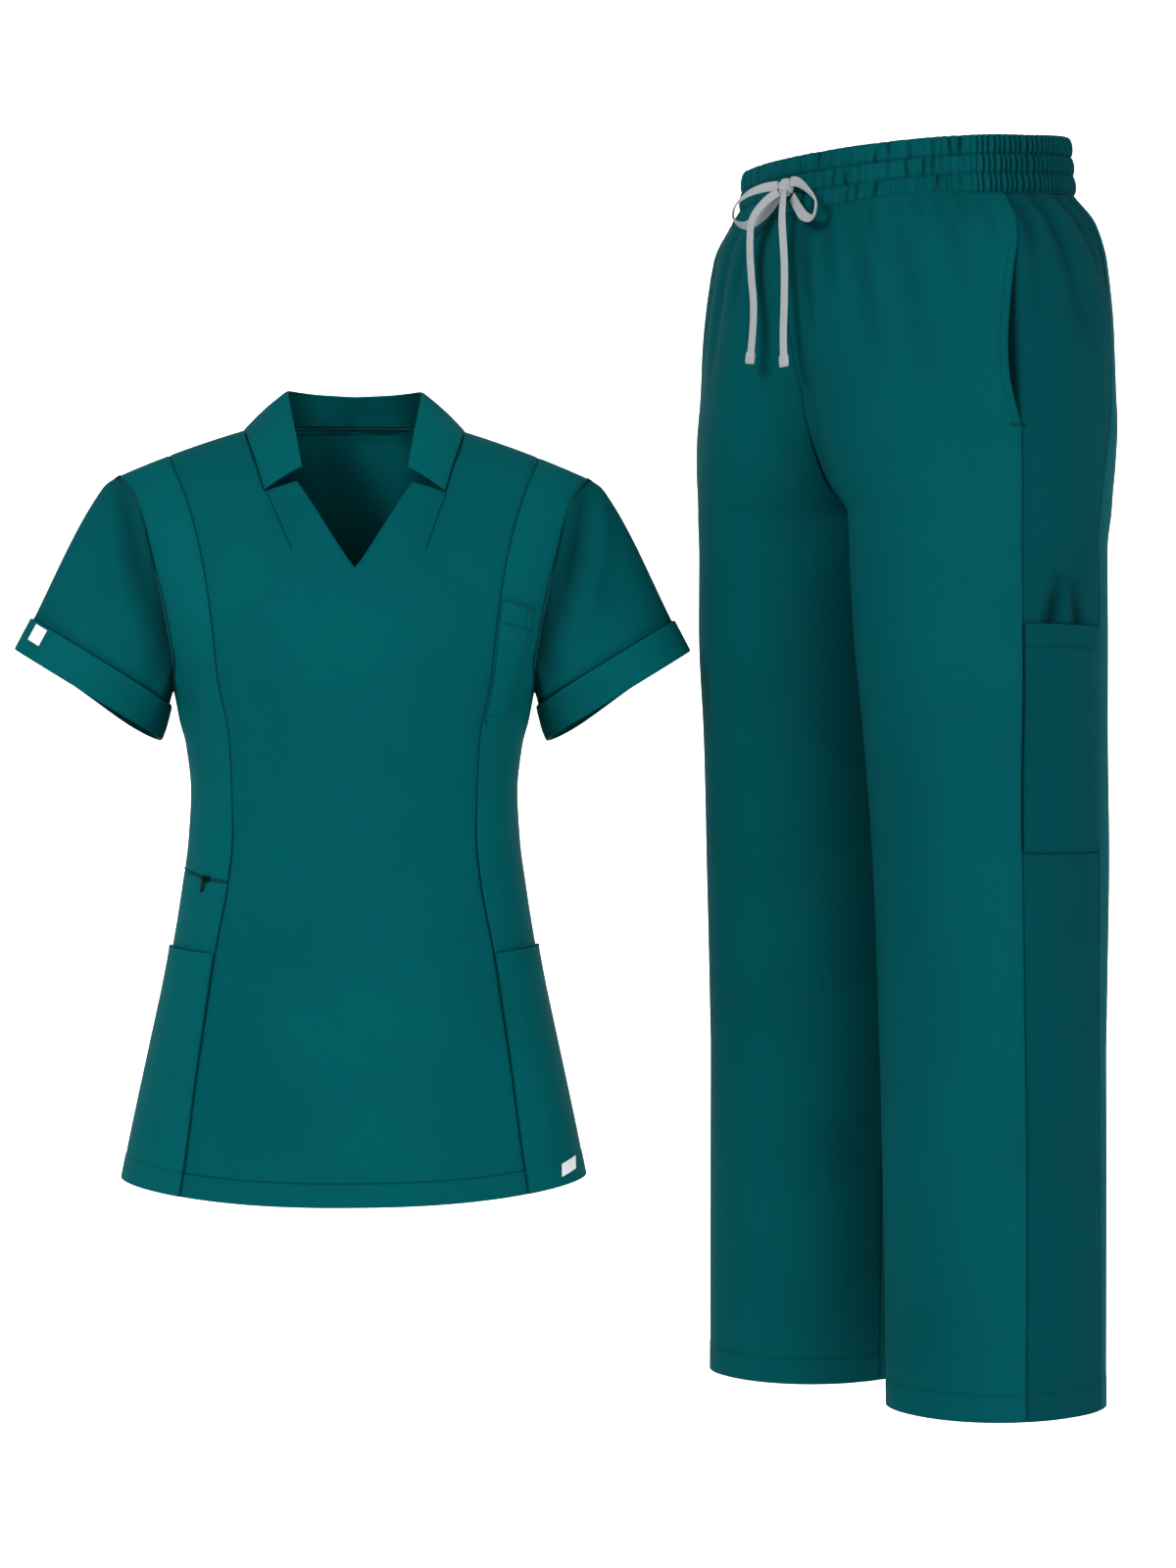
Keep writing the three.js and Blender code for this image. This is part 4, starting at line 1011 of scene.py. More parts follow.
@dataclass(frozen=True)
class SeamCord:
    """A seam's dark line: painted shade in the groove between two panels, where turned-in cloth and thread show."""

    radius: float = 0.5
    sink: float = 0.1
    sides: int = 6

    def laid(self, name: str, lines: Sequence[Line], place: Place) -> bpy.types.Object:
        """Return slender closed tubes along some lines, as one object.

        Args:
            name: the object's name.
            lines: lines on the cloth.
            place: takes the garment's frame to the row frame.

        Returns:
            The object.
        """
        all_points, all_faces = [], []
        offset = 0
        turns = np.linspace(0, 2 * np.pi, self.sides + 1)[:-1]
        for line in lines:
            points, along, out = resampled(line, 2.0)
            side = np.cross(along, out)
            count = len(points)
            thin = np.minimum(1, np.minimum(np.arange(count), np.arange(count)[::-1]) * 0.5 + 0.3)
            cos, sin = np.cos(turns)[None, :, None], np.sin(turns)[None, :, None]
            round_out = cos * out[:, None] + sin * side[:, None]
            ring = (points - out * self.sink)[:, None] + round_out * (self.radius * thin)[:, None, None]
            all_faces.append(grid_faces(count, self.sides, self.sides) + offset)
            k = np.arange(1, self.sides - 2, 2)
            first = np.stack([0 * k, k + 2, k + 1, k], 1)
            all_faces.append(first + offset)
            all_faces.append(first[:, ::-1] + offset + (count - 1) * self.sides)
            all_points.append(ring.reshape(-1, 3))
            offset += count * self.sides
        return mesh_object(name, place(np.concatenate(all_points)), np.concatenate(all_faces))


# ---- finishes ----


def linear(rgb: Rgb) -> tuple[float, float, float, float]:
    """Turn a display colour into the shader's.

    Args:
        rgb: the colour, 0 to 255.

    Returns:
        The colour, linear, with full alpha.
    """
    parts = []
    for value in rgb:
        share = value / 255
        parts.append(share / 12.92 if share <= 0.04045 else ((share + 0.055) / 1.055) ** 2.4)
    return (parts[0], parts[1], parts[2], 1.0)


class Nodes:
    """A small hand to build node trees with."""

    def __init__(self, name: str) -> None:
        """Start a material with its shader and output.

        Args:
            name: the material's name.
        """
        self.material = bpy.data.materials.new(name)
        self.material.use_nodes = True
        self.tree = self.material.node_tree
        self.tree.nodes.clear()
        self.shader = self.add("ShaderNodeBsdfPrincipled")
        output = self.add("ShaderNodeOutputMaterial")
        self.link(self.shader.outputs["BSDF"], output.inputs["Surface"])

    def add(self, kind: str, **settings: object) -> bpy.types.Node:
        """Add a node.

        Args:
            kind: its type.
            settings: its properties.

        Returns:
            The node.
        """
        node = self.tree.nodes.new(kind)
        for key, value in settings.items():
            setattr(node, key, value)
        return node

    def link(self, start: bpy.types.NodeSocket, end: bpy.types.NodeSocket) -> None:
        """Join two sockets."""
        self.tree.links.new(start, end)

    def value(self, node: bpy.types.Node, **values: object) -> bpy.types.Node:
        """Set a node's inputs.

        Args:
            node: the node.
            values: the inputs by name, with _ for a space.

        Returns:
            The node.
        """
        for key, value in values.items():
            node.inputs[key.replace("_", " ")].default_value = value
        return node

    def math(self, operation: str, a: object, b: object) -> bpy.types.NodeSocket:
        """Do a sum.

        Args:
            operation: its name.
            a: a socket or a number.
            b: a socket or a number.

        Returns:
            The result's socket.
        """
        node = self.add("ShaderNodeMath", operation=operation)
        for i, part in enumerate((a, b)):
            if isinstance(part, bpy.types.NodeSocket):
                self.link(part, node.inputs[i])
            else:
                node.inputs[i].default_value = part
        return node.outputs[0]

    def blend(self, factor: bpy.types.NodeSocket, a: tuple, b: tuple) -> bpy.types.NodeSocket:
        """Blend two colours.

        Args:
            factor: how far from a to b.
            a: a colour.
            b: a colour.

        Returns:
            The blend's socket.
        """
        node = self.add("ShaderNodeMix", data_type="RGBA")
        self.link(factor, node.inputs[0])
        node.inputs[6].default_value = a
        node.inputs[7].default_value = b
        return node.outputs[2]


@dataclass(frozen=True)
class ScrubCloth:
    """Fine plain-woven scrub cloth: matte, with a soft sheen and faint slubs."""

    name: str
    colour: Rgb
    deep: Rgb
    # fold is the colour of painted shade, which the shade attribute mixes towards
    fold: Rgb = (0, 22, 26)
    sheen: Rgb = (0, 160, 168)
    thread: float = 0.00042
    weave_depth: float = 0.00006

    def material(self) -> bpy.types.Material:
        """Mix the finish: weave and slubs on the cut, clouds on the piece, painted shade in its folds, seams and
        insides, and painted light where its shade attribute is below zero.

        Returns:
            The material.
        """
        nodes = Nodes(self.name)
        cut = nodes.add("ShaderNodeUVMap", uv_map="cut")
        place = nodes.add("ShaderNodeTexCoord")
        parts = nodes.add("ShaderNodeSeparateXYZ")
        nodes.link(cut.outputs["UV"], parts.inputs[0])
        turns = math.pi / self.thread
        warp = nodes.math("SINE", nodes.math("MULTIPLY", parts.outputs["X"], turns), 0.0)
        weft = nodes.math("SINE", nodes.math("MULTIPLY", parts.outputs["Y"], turns), 0.0)
        weave = nodes.math("MULTIPLY", warp, weft)
        slub_map = nodes.add("ShaderNodeMapping")
        slub_map.inputs["Scale"].default_value = (420.0, 60.0, 1.0)
        nodes.link(cut.outputs["UV"], slub_map.inputs["Vector"])
        slub = nodes.value(nodes.add("ShaderNodeTexNoise"), Scale=1.0, Detail=3.0, Roughness=0.6)
        nodes.link(slub_map.outputs["Vector"], slub.inputs["Vector"])
        cloud = nodes.value(nodes.add("ShaderNodeTexNoise"), Scale=9.0, Detail=3.0, Roughness=0.55)
        nodes.link(place.outputs["Object"], cloud.inputs["Vector"])
        broad = nodes.math("MULTIPLY", cloud.outputs["Fac"], 0.75)
        tone = nodes.math("ADD", broad, nodes.math("MULTIPLY", slub.outputs["Fac"], 0.25))
        spread = nodes.add("ShaderNodeMapRange")
        nodes.value(spread, From_Min=0.3, From_Max=0.7)
        nodes.link(tone, spread.inputs["Value"])
        plain = nodes.blend(spread.outputs["Result"], linear(self.deep), linear(self.colour))
        # painted shade: the shade attribute mixes the colour towards fold; below zero, unclamped, it paints light
        # instead
        shade = nodes.add("ShaderNodeAttribute", attribute_name="shade")
        shaded = nodes.add("ShaderNodeMix", data_type="RGBA", clamp_factor=False)
        nodes.link(nodes.math("MULTIPLY", shade.outputs["Fac"], 0.88), shaded.inputs[0])
        nodes.link(plain, shaded.inputs[6])
        shaded.inputs[7].default_value = linear(self.fold)
        nodes.link(shaded.outputs[2], nodes.shader.inputs["Base Color"])
        rough = nodes.add("ShaderNodeMapRange")
        nodes.value(rough, From_Min=0.3, From_Max=0.7, To_Min=0.74, To_Max=0.86)
        nodes.link(slub.outputs["Fac"], rough.inputs["Value"])
        nodes.link(rough.outputs["Result"], nodes.shader.inputs["Roughness"])
        slubs = nodes.math("MULTIPLY", slub.outputs["Fac"], 1.2)
        height = nodes.math("ADD", nodes.math("MULTIPLY", weave, 0.5), slubs)
        bump = nodes.value(nodes.add("ShaderNodeBump"), Strength=0.35, Distance=self.weave_depth)
        nodes.link(height, bump.inputs["Height"])
        nodes.link(bump.outputs["Normal"], nodes.shader.inputs["Normal"])
        nodes.value(nodes.shader, Specular_IOR_Level=0.025, Sheen_Weight=0.02, Sheen_Roughness=0.4)
        nodes.shader.inputs["Sheen Tint"].default_value = linear(self.sheen)
        return nodes.material


@dataclass(frozen=True)
class PlainFinish:
    """Thread, tape, metal or label: one colour with a grain that follows the piece."""

    name: str
    colour: Rgb
    deep: Rgb
    grain: float = 900.0
    roughness: float = 0.7
    metallic: float = 0.0
    depth: float = 0.00008
    specular: float = 0.3

    def material(self) -> bpy.types.Material:
        """Mix the finish.

        Returns:
            The material.
        """
        nodes = Nodes(self.name)
        place = nodes.add("ShaderNodeTexCoord")
        grain = nodes.value(nodes.add("ShaderNodeTexNoise"), Scale=self.grain, Detail=4.0, Roughness=0.6)
        nodes.link(place.outputs["Object"], grain.inputs["Vector"])
        colour = nodes.blend(grain.outputs["Fac"], linear(self.deep), linear(self.colour))
        nodes.link(colour, nodes.shader.inputs["Base Color"])
        rough = nodes.add("ShaderNodeMapRange")
        nodes.value(rough, To_Min=self.roughness - 0.08, To_Max=self.roughness + 0.08)
        nodes.link(grain.outputs["Fac"], rough.inputs["Value"])
        nodes.link(rough.outputs["Result"], nodes.shader.inputs["Roughness"])
        bump = nodes.value(nodes.add("ShaderNodeBump"), Strength=0.4, Distance=self.depth)
        nodes.link(grain.outputs["Fac"], bump.inputs["Height"])
        nodes.link(bump.outputs["Normal"], nodes.shader.inputs["Normal"])
        nodes.value(nodes.shader, Metallic=self.metallic, Specular_IOR_Level=self.specular)
        return nodes.material


@dataclass
class Finishes:
    """All finishes of the set, made once; side, dark and turned are lit and shaded copies of the front's teal cloth:
    painted light and painted shade.
    """

    front: bpy.types.Material
    side: bpy.types.Material
    dark: bpy.types.Material
    turned: bpy.types.Material
    thread: bpy.types.Material
    seam: bpy.types.Material
    tape: bpy.types.Material
    tape_thread: bpy.types.Material
    zip_tape: bpy.types.Material
    metal: bpy.types.Material
    label: bpy.types.Material

    @classmethod
    def made(cls) -> "Finishes":
        """Mix all finishes.

        Returns:
            The finishes.
        """
        return cls(
            # painted light and shade: one teal cloth in four brightnesses, side lighter and dark and turned darker,
            # for how light falls on each panel
            front=ScrubCloth("teal_cloth", (0, 84, 88), (0, 77, 82)).material(),
            side=ScrubCloth("teal_cloth_lit", (1, 89, 93), (0, 83, 87)).material(),
            dark=ScrubCloth("teal_cloth_shaded", (0, 80, 84), (0, 73, 78)).material(),
            turned=ScrubCloth("teal_cloth_deep_shaded", (0, 67, 73), (0, 61, 67)).material(),
            thread=PlainFinish("teal_thread", (5, 70, 75), (1, 52, 57), roughness=0.7, specular=0.1).material(),
            seam=PlainFinish("seam_shade", (0, 46, 51), (0, 28, 32), roughness=0.9, specular=0.0).material(),
            tape=PlainFinish("grey_tape", (178, 182, 184), (148, 152, 155), 700.0, 0.8, depth=0.00014).material(),
            tape_thread=PlainFinish("grey_thread", (150, 153, 155), (118, 121, 123)).material(),
            zip_tape=PlainFinish("zip_tape", (3, 68, 73), (1, 54, 59), roughness=0.8, specular=0.05).material(),
            metal=PlainFinish("dark_metal", (10, 24, 26), (5, 14, 16), 300.0, 0.5, 0.0, 0.00002, 0.1).material(),
            label=PlainFinish("white_label", (250, 250, 250), (238, 239, 239), 700.0, 0.6).material(),
        )


@dataclass
class Workshop:
    """Dresses pieces and hangs them on their bodies."""

    finishes: Finishes

    def dress(
        self, obj: bpy.types.Object, finish: bpy.types.Material, slot: Slot, nodes: Sequence[str] = (),
        body: Body = Body.GARMENTS,
    ) -> bpy.types.Object:
        """Give a piece its finish and body, and hide the CAD nodes that it stands for.

        Args:
            obj: the piece.
            finish: its material.
            slot: not used.
            nodes: CAD nodes that it replaces.
            body: the body that it rides on.

        Returns:
            The piece.
        """
        obj.data.materials.clear()
        obj.data.materials.append(finish)
        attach(obj, body.value)
        if nodes:
            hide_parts(*nodes)
        log.info("%s: %d faces", obj.name, len(obj.data.polygons))
        return obj

    def hang(
        self, panel: Panel, finish: bpy.types.Material, slot: Slot, node: str, held: str = "hung"
    ) -> None:
        """Build and dress a panel.

        Args:
            panel: the panel.
            finish: its material.
            slot: the record's slot.
            node: the CAD node that it replaces.
            held: not used.
        """
        obj = self.dress(panel.build(), finish, slot, [node])
        self.sheet(panel)

    def stitches(
        self, name: str, lines: Sequence[Line], place: Place, slot: Slot, thread: Thread = Thread()
    ) -> None:
        """Sew rows of stitches.

        Args:
            name: the piece's name.
            lines: the rows.
            place: takes the garment's frame to the row frame.
            slot: the record's slot.
            thread: the stitches' size.
        """
        self.dress(thread.sewn(name, lines, place), self.finishes.thread, slot)

    def seams(
        self, name: str, lines: Sequence[Line], place: Place, slot: Slot,
        radius: float = 0.5, sink: float = 0.1,
    ) -> None:
        """Lay the dark lines of some seams: painted shade in their grooves.

        Args:
            name: the piece's name.
            lines: the seams.
            place: takes the garment's frame to the row frame.
            slot: the record's slot.
            radius: of the line.
            sink: how far its middle lies under the cloth's face.
        """
        obj = SeamCord(radius, sink).laid(name, lines, place)
        self.dress(obj, self.finishes.seam, slot)

    def sheet(self, panel: Panel) -> None:
        """Take the points of a panel's outer face, closed round for a ring; nothing more is done with them.

        Args:
            panel: the panel.
        """
        points = panel.outside
        if panel.ring:
            points = np.concatenate([points, points[:, :1]], axis=1)


# ---- tunic ----


class Column(NamedTuple):
    """A column of a body panel: its place round the body and its top."""

    angle_at: Callable[[np.ndarray], np.ndarray]
    top: float


# Rows by the hem's stitches, and the shares of the rows below and above the underarm
HEM_ROWS = (17.0, 17.6, 18.1, 18.5, 18.9, 19.3, 19.8, 20.4)
LOWER = even_with_edges(58, 392, also=HEM_ROWS)
UPPER = (1 - np.cos(np.pi * np.linspace(0, 1, 51))) / 2


def hemmed(panel: Panel, relief: Relief) -> Relief:
    """Return a relief with the thin step, the pull and the stitch line of a turned-up hem, with painted shade along
    the stitch line and the hem's edge.

    Args:
        panel: the panel, whose first row is its hem.
        relief: its other relief.

    Returns:
        The relief.
    """
    far = panel.far.low
    step = 0.4 * (1 - smoothstep(far, 17.5, 19.2)) - 0.5 * bell(far, HEM_STITCH, 0.8)
    shade = relief.shade + 0.42 * bell(far, HEM_STITCH, 0.55) + 0.3 * bell(far, 0, 0.8)
    return Relief(relief.lift + step, shade)


def body_grid(columns: Sequence[Column], low: Callable | None = None, high: Callable | None = None) -> Grid:
    """Return the grid of a body panel.

    Args:
        columns: its columns.
        low: height of its lower edge for a column, or None for the hem.
        high: height of its upper edge for a column, or None for the column's top.

    Returns:
        The grid.
    """
    us, vs = [], []
    for column in columns:
        bottom = low(column) if low else float(TUNIC.hem(column.angle_at(np.array(TUNIC.hem_side))))
        if high:
            heights = mix(bottom, high(column), LOWER)
        else:
            split = min(TUNIC.underarm, column.top - 30)
            heights = np.concatenate([mix(bottom, split, LOWER), mix(split, column.top, UPPER[1:])])
        us.append(column.angle_at(heights) + 0 * heights)
        vs.append(heights)
    return Grid(np.stack(us, 1), np.stack(vs, 1))


def in_front(points: np.ndarray) -> np.ndarray:
    """Hold points on the front's side of the side seams and shoulders."""
    points[..., 1] = np.minimum(points[..., 1], -SEAM_GAP / 2)
    return points


def behind(points: np.ndarray) -> np.ndarray:
    """Hold points on the back's side of the side seams and shoulders."""
    points[..., 1] = np.maximum(points[..., 1], SEAM_GAP / 2)
    return points


def front_column(share: float, top: float | None) -> Column:
    """Make a column of the front.

    Args:
        share: share of the way from the middle to the princess seam.
        top: its top, or None for the shoulder line.

    Returns:
        The column.
    """

    def angle_at(height: np.ndarray) -> np.ndarray:
        """Return the column's degrees at a height."""
        return share * TUNIC.princess_angle(height)

    return Column(angle_at, TUNIC.on_shoulder(angle_at) if top is None else top)


def side_column(share: float) -> Column:
    """Make a column of a side front, up to the shoulder line or the sleeve's top.

    Args:
        share: share of the way from the princess seam to the armhole.

    Returns:
        The column.
    """

    def angle_at(height: np.ndarray) -> np.ndarray:
        """Return the column's degrees at a height."""
        return mix(TUNIC.princess_angle(height), TUNIC.armhole_angle(height), share)

    return Column(angle_at, TUNIC.sleeve_top if share == 1 else TUNIC.on_shoulder(angle_at))


def side_columns(steps: int) -> list[Column]:
    """Return a side front's columns, closer at its seams."""
    return [side_column(float(share)) for share in even_with_edges(steps, 60, NEAR)]


def back_column(share: float, top: float) -> Column:
    """Return a column of the back at a share of the way to the armhole."""
    return Column(lambda height: 180 - share * TUNIC.armhole_angle(height), top)


def both_sides(half: Sequence[Column]) -> list[Column]:
    """Return a half's columns with their twins on the other side of the middle."""
    twins = [Column(lambda height, c=column: -c.angle_at(height), column.top) for column in half[:0:-1]]
    return twins + list(half)


def zip_at(column: Column, offset: float) -> float:
    """Find a height beside the zip.

    Args:
        column: a column of a side front.
        offset: how far above the zip's line.

    Returns:
        The height.
    """
    middle = np.array(ZIP_HEIGHT)
    return float(TUNIC.zip_height(TUNIC.point(column.angle_at(middle), middle)[0])) + offset


def neck_shares(edge: Sequence[tuple], reach: Callable, per_piece: int) -> list[tuple[float, float]]:
    """Return (share, top) along a neck edge, several to each of its pieces.

    Args:
        edge: (from the middle, height) rows.
        reach: the angle of the seam that shares are counted to, by height.
        per_piece: steps between two rows.

    Returns:
        The shares and tops.
    """
    corners = [(float(TUNIC.angle(np.array(x), np.array(z)) / reach(np.array(z))), z) for x, z in edge]
    rows = [
        (mix(a, b, k / per_piece), mix(za, zb, k / per_piece))
        for (a, za), (b, zb) in zip(corners[:-1], corners[1:]) for k in range(per_piece)
    ]
    return rows + [corners[-1]]


# Soft folds of the tunic, in (degrees round the body, height); similar ones lie on the hidden back
FRONT_FOLDS = [
    Fold(((28, -150), (24, -230), (20, -300)), 20, -2.0, 0.05),
    Fold(((-30, -160), (-25, -240), (-22, -310)), 20, -1.8, 0.05),
    Fold(((36, -340), (33, -450), (30, -600)), 28, -2.2, 0.04),
    Fold(((-34, -345), (-32, -460), (-29, -602)), 26, -2.0, 0.04),
    Fold(((8, -360), (9, -480), (7, -610)), 34, 1.6),
    Fold(((-12, -300), (-8, -330), (2, -352)), 12, -1.0, 0.03),
]
SIDE_FOLDS = [
    Fold(((64, -190), (62, -250), (60, -300)), 12, -1.8, 0.08),
    Fold(((70, -70), (66, -120), (64, -170)), 12, -1.4, 0.05),
    Fold(((76, -214), (70, -224), (62, -230)), 7, -1.4, 0.1),
]
BACK_FOLDS = [
    Fold(((150, -160), (153, -240), (158, -300)), 20, -2.2, 0.06),
    Fold(((-148, -165), (-152, -245), (-157, -305)), 20, -2.0, 0.06),
    Fold(((126, -190), (134, -255), (142, -300)), 14, -2.2, 0.08),
    Fold(((-127, -185), (-135, -250), (-143, -298)), 14, -2.0, 0.08),
    Fold(((160, -330), (156, -440), (152, -600)), 28, -2.6, 0.06),
    Fold(((-162, -335), (-157, -450), (-153, -600)), 28, -2.4, 0.06),
    Fold(((178, -350), (177, -470), (178, -605)), 30, 1.8),
    Fold(((165, -300), (176, -318), (-170, -312)), 11, -1.4, 0.05),
]
NECK_DARTS = (
    ((-70.8, -54.2), (-63, -72), (-55.5, -89), (-47.9, -106.4)),
    ((73.4, -54.4), (67, -72), (61, -89), (55.1, -105.6)),
)


@dataclass
class TunicBody:
    """Front, side fronts and back of the tunic."""

    workshop: Workshop
    shoulder_steps: int = 14

    def front_columns(self) -> list[Column]:
        """Lay out half of the front.

        Returns:
            Its columns, from the middle to the princess seam.
        """
        neck = neck_shares(NECK_EDGE_FRONT, TUNIC.princess_angle, 6)
        columns = [front_column(share, top) for share, top in neck]
        for x in np.linspace(NECK_POINT, TUNIC.princess_top, self.shoulder_steps)[1:-1]:
            height = TUNIC.shoulder_height(x)
            columns.append(front_column(float(TUNIC.angle(x, height) / TUNIC.princess_angle(height)), None))
        last = columns[-1].angle_at(np.array(-100.0)) / TUNIC.princess_angle(np.array(-100.0))
        for share in 1 - (1 - last) * np.array([0.5, 0.3, 0.17, 0.08, 0.0]):
            columns.append(front_column(float(share), None))
        return columns

    def back_columns(self) -> list[Column]:
        """Lay out half of the back.

        Returns:
            Its columns, from the middle to the side seam.
        """
        neck = neck_shares(NECK_EDGE_BACK, TUNIC.armhole_angle, 6)
        columns = [back_column(share, top) for share, top in neck]
        top = np.array(TUNIC.sleeve_top)
        tip = float(np.abs(TUNIC.point(TUNIC.armhole_angle(top), top)[0]))
        for t in even_with_edges(24, tip - NECK_POINT, (0.9, 2.4))[1:-1]:
            x = mix(NECK_POINT, tip, t)
            top = float(TUNIC.shoulder_height(x)) - TUNIC.shoulder_close
            share = float(TUNIC.angle(x, top) / TUNIC.armhole_angle(np.array(top)))
            columns.append(back_column(share, top))
        return columns + [back_column(1.0, TUNIC.sleeve_top)]

    def front_relief(self, panel: Panel) -> Relief:
        """Return the dimples of the two neck darts with the soft folds and the hem."""
        darts = [Fold(self.dart_run(dart), 7, -1.2, 0.08) for dart in NECK_DARTS]
        return hemmed(panel, panel.folded(FRONT_FOLDS + darts))

    @staticmethod
    def side_relief(panel: Panel) -> Relief:
        """Return the left side front's folds and hem."""
        return hemmed(panel, panel.folded(SIDE_FOLDS))

    @staticmethod
    def upper_relief(panel: Panel) -> Relief:
        """Return the upper side front's folds, tucked in at the zip with painted shade there."""
        folds, from_zip = panel.folded(SIDE_FOLDS), panel.far.low
        return Relief(folds.lift - 0.5 * bell(from_zip, 0, 1.5), folds.shade + 0.4 * bell(from_zip, 0, 1.2))

    @staticmethod
    def lower_relief(panel: Panel) -> Relief:
        """Return the lower side front's hem, tucked in at the zip with painted shade there."""
        at_zip = bell(panel.far.top, 0, 1.2)
        return hemmed(panel, Relief(-0.5 * at_zip, 0.4 * at_zip))

    @staticmethod
    def back_relief(panel: Panel) -> Relief:
        """Return the back's folds and hem."""
        return hemmed(panel, panel.folded(BACK_FOLDS))

    @staticmethod
    def back_lining(panel: Panel) -> np.ndarray:
        """Paint shade on the back's inside away from the neck's light, and paint light near the neck.

        Args:
            panel: the back.

        Returns:
            The painted shade of its inside, below zero for painted light.
        """
        aside, down = np.abs(panel.base[..., 0]), -panel.base[..., 2]
        lit = (1 - smoothstep(aside, 26, 60)) * (1 - smoothstep(down, 30, 115))
        return 0.5 * smoothstep(aside, 40, 62) + 0.75 * smoothstep(down, 80, 140) - 1.1 * lit

    @staticmethod
    def dart_run(dart: tuple) -> tuple:
        """Return a dart's line as degrees and heights."""
        return tuple((float(TUNIC.angle(np.array(x), np.array(float(z)))), float(z)) for x, z in dart)

    def dart_lines(self) -> list[Line]:
        """Draw the two darts.

        Returns:
            Their lines on the finished front.
        """
        lines = []
        for dart in NECK_DARTS:
            run = np.array(self.dart_run(dart))
            steps = np.linspace(0, len(run) - 1, 24)
            u = np.interp(steps, range(len(run)), run[:, 0])
            v = np.interp(steps, range(len(run)), run[:, 1])
            normals = normals_of(TUNIC.point, Grid(u, v))
            sunk = 1.2 * np.sin(np.pi * np.clip(0.12 + 0.88 * np.linspace(0, 1, 24), 0, 1)) ** 0.7 - 0.1
            lines.append(Line(TUNIC.point(u, v) - normals * sunk[:, None], normals))
        return lines

    def build(self) -> None:
        """Make the body's pieces."""
        finishes, gap, side = self.workshop.finishes, TUNIC.zip_slot / 2, side_columns(22)

        def panel(name: str, grid: Grid, relief: Callable[[Panel], Relief], **cut: object) -> Panel:
            """Return a panel of the body; cut is how it differs from a plain one."""
            return Panel(name, TUNIC.point, grid, TUNIC.place, relief=relief, **{"keep": in_front, **cut})

        front_grid = body_grid(both_sides(self.front_columns()))
        upper_grid = body_grid(side, low=lambda column: zip_at(column, gap))
        lower_grid = body_grid(side, high=lambda column: zip_at(column, -gap))
        back_grid = body_grid(both_sides(self.back_columns()))
        above, below = Edges(low=Edge.OPEN), Edges(top=Edge.OPEN)
        front = panel("tunic_front", front_grid, self.front_relief, seam_shade=0.22)
        left = panel("tunic_side_left", body_grid(side), self.side_relief)
        upper = panel("tunic_side_right_upper", upper_grid, self.upper_relief, edges=above, mirror=True)
        lower = panel("tunic_side_right_lower", lower_grid, self.lower_relief, edges=below, mirror=True)
        back = panel("tunic_back", back_grid, self.back_relief, keep=behind, lining=self.back_lining)
        # painted light and shade: the side fronts wear the lit copy of the cloth, the back the dark copy
        self.workshop.hang(front, finishes.front, Slot.CLOTH_FRONT, "front_centre")
        self.workshop.hang(left, finishes.side, Slot.CLOTH_SIDE, "side_front_left")
        self.workshop.hang(upper, finishes.side, Slot.CLOTH_SIDE, "side_front_right_upper")
        self.workshop.hang(lower, finishes.side, Slot.CLOTH_SIDE, "side_front_right_lower")
        self.workshop.hang(back, finishes.dark, Slot.CLOTH_DARK, "back_panel")

        hems = [p.line_at(p.far.low, HEM_STITCH, True) for p in (front, left, lower, back)]
        self.workshop.stitches("tunic_hem_stitches", hems, TUNIC.place, Slot.CLOTH_FRONT)
        lines = [p.edge(which) for which in ("first", "last") for p in (left, upper, lower)]
        lines += self.dart_lines() + self.shoulder_lines()
        self.workshop.seams("tunic_seams", lines, TUNIC.place, Slot.CLOTH_FRONT, 0.34)
        self.bindings()

    @staticmethod
    def shoulder_lines() -> list[Line]:
        """Draw the two shoulder seams.

        Returns:
            Their lines.
        """
        lines = []
        for side in (-1, 1):
            x = side * np.linspace(NECK_POINT + 1, TUNIC.shoulder_tip - 4, 60)
            height = TUNIC.shoulder_height(x)
            up = np.stack([0 * x, 0 * x + 0.35, 0 * x + 0.94], 1)
            lines.append(Line(np.stack([x, 0 * x + 0.4, height + 2.1], 1), up))
        return lines

    def bindings(self) -> None:
        """Bind the armhole and neck seams inside, where the turned-in cloth lies."""
        hole = Sleeves(self.workshop).armhole_point(np.linspace(0, 360, 181))
        inward = unit(hole.mean(axis=0) - hole)
        lines = [Line((hole + inward * 1.9) * flip, -inward * flip) for flip in (np.ones(3), MIRROR)]
        shares = np.linspace(-1, 1, 161)
        seam = Collar(self.workshop).point(shares * 62, 0 * shares)
        inward = unit(np.stack([-0.6 * seam[:, 0], -seam[:, 1] - 20, 0 * shares], 1))
        lines.append(Line(seam + inward * 1.6 + np.array([0, 0, 0.3]), inward))
        tubes = SeamCord(1.5, 0.0, 10).laid("tunic_bindings", lines, TUNIC.place)
        self.workshop.dress(tubes, self.workshop.finishes.thread, Slot.CLOTH_DARK)
        low = Line(seam + inward * 2.2 + np.array([0, 0, -4.6]), inward)
        high = Line(seam + inward * 3.0 + np.array([0, 0, 1.6]), inward)
        self.workshop.seams("neck_tape_seams", [low, high], TUNIC.place, Slot.CLOTH_DARK, 0.42)


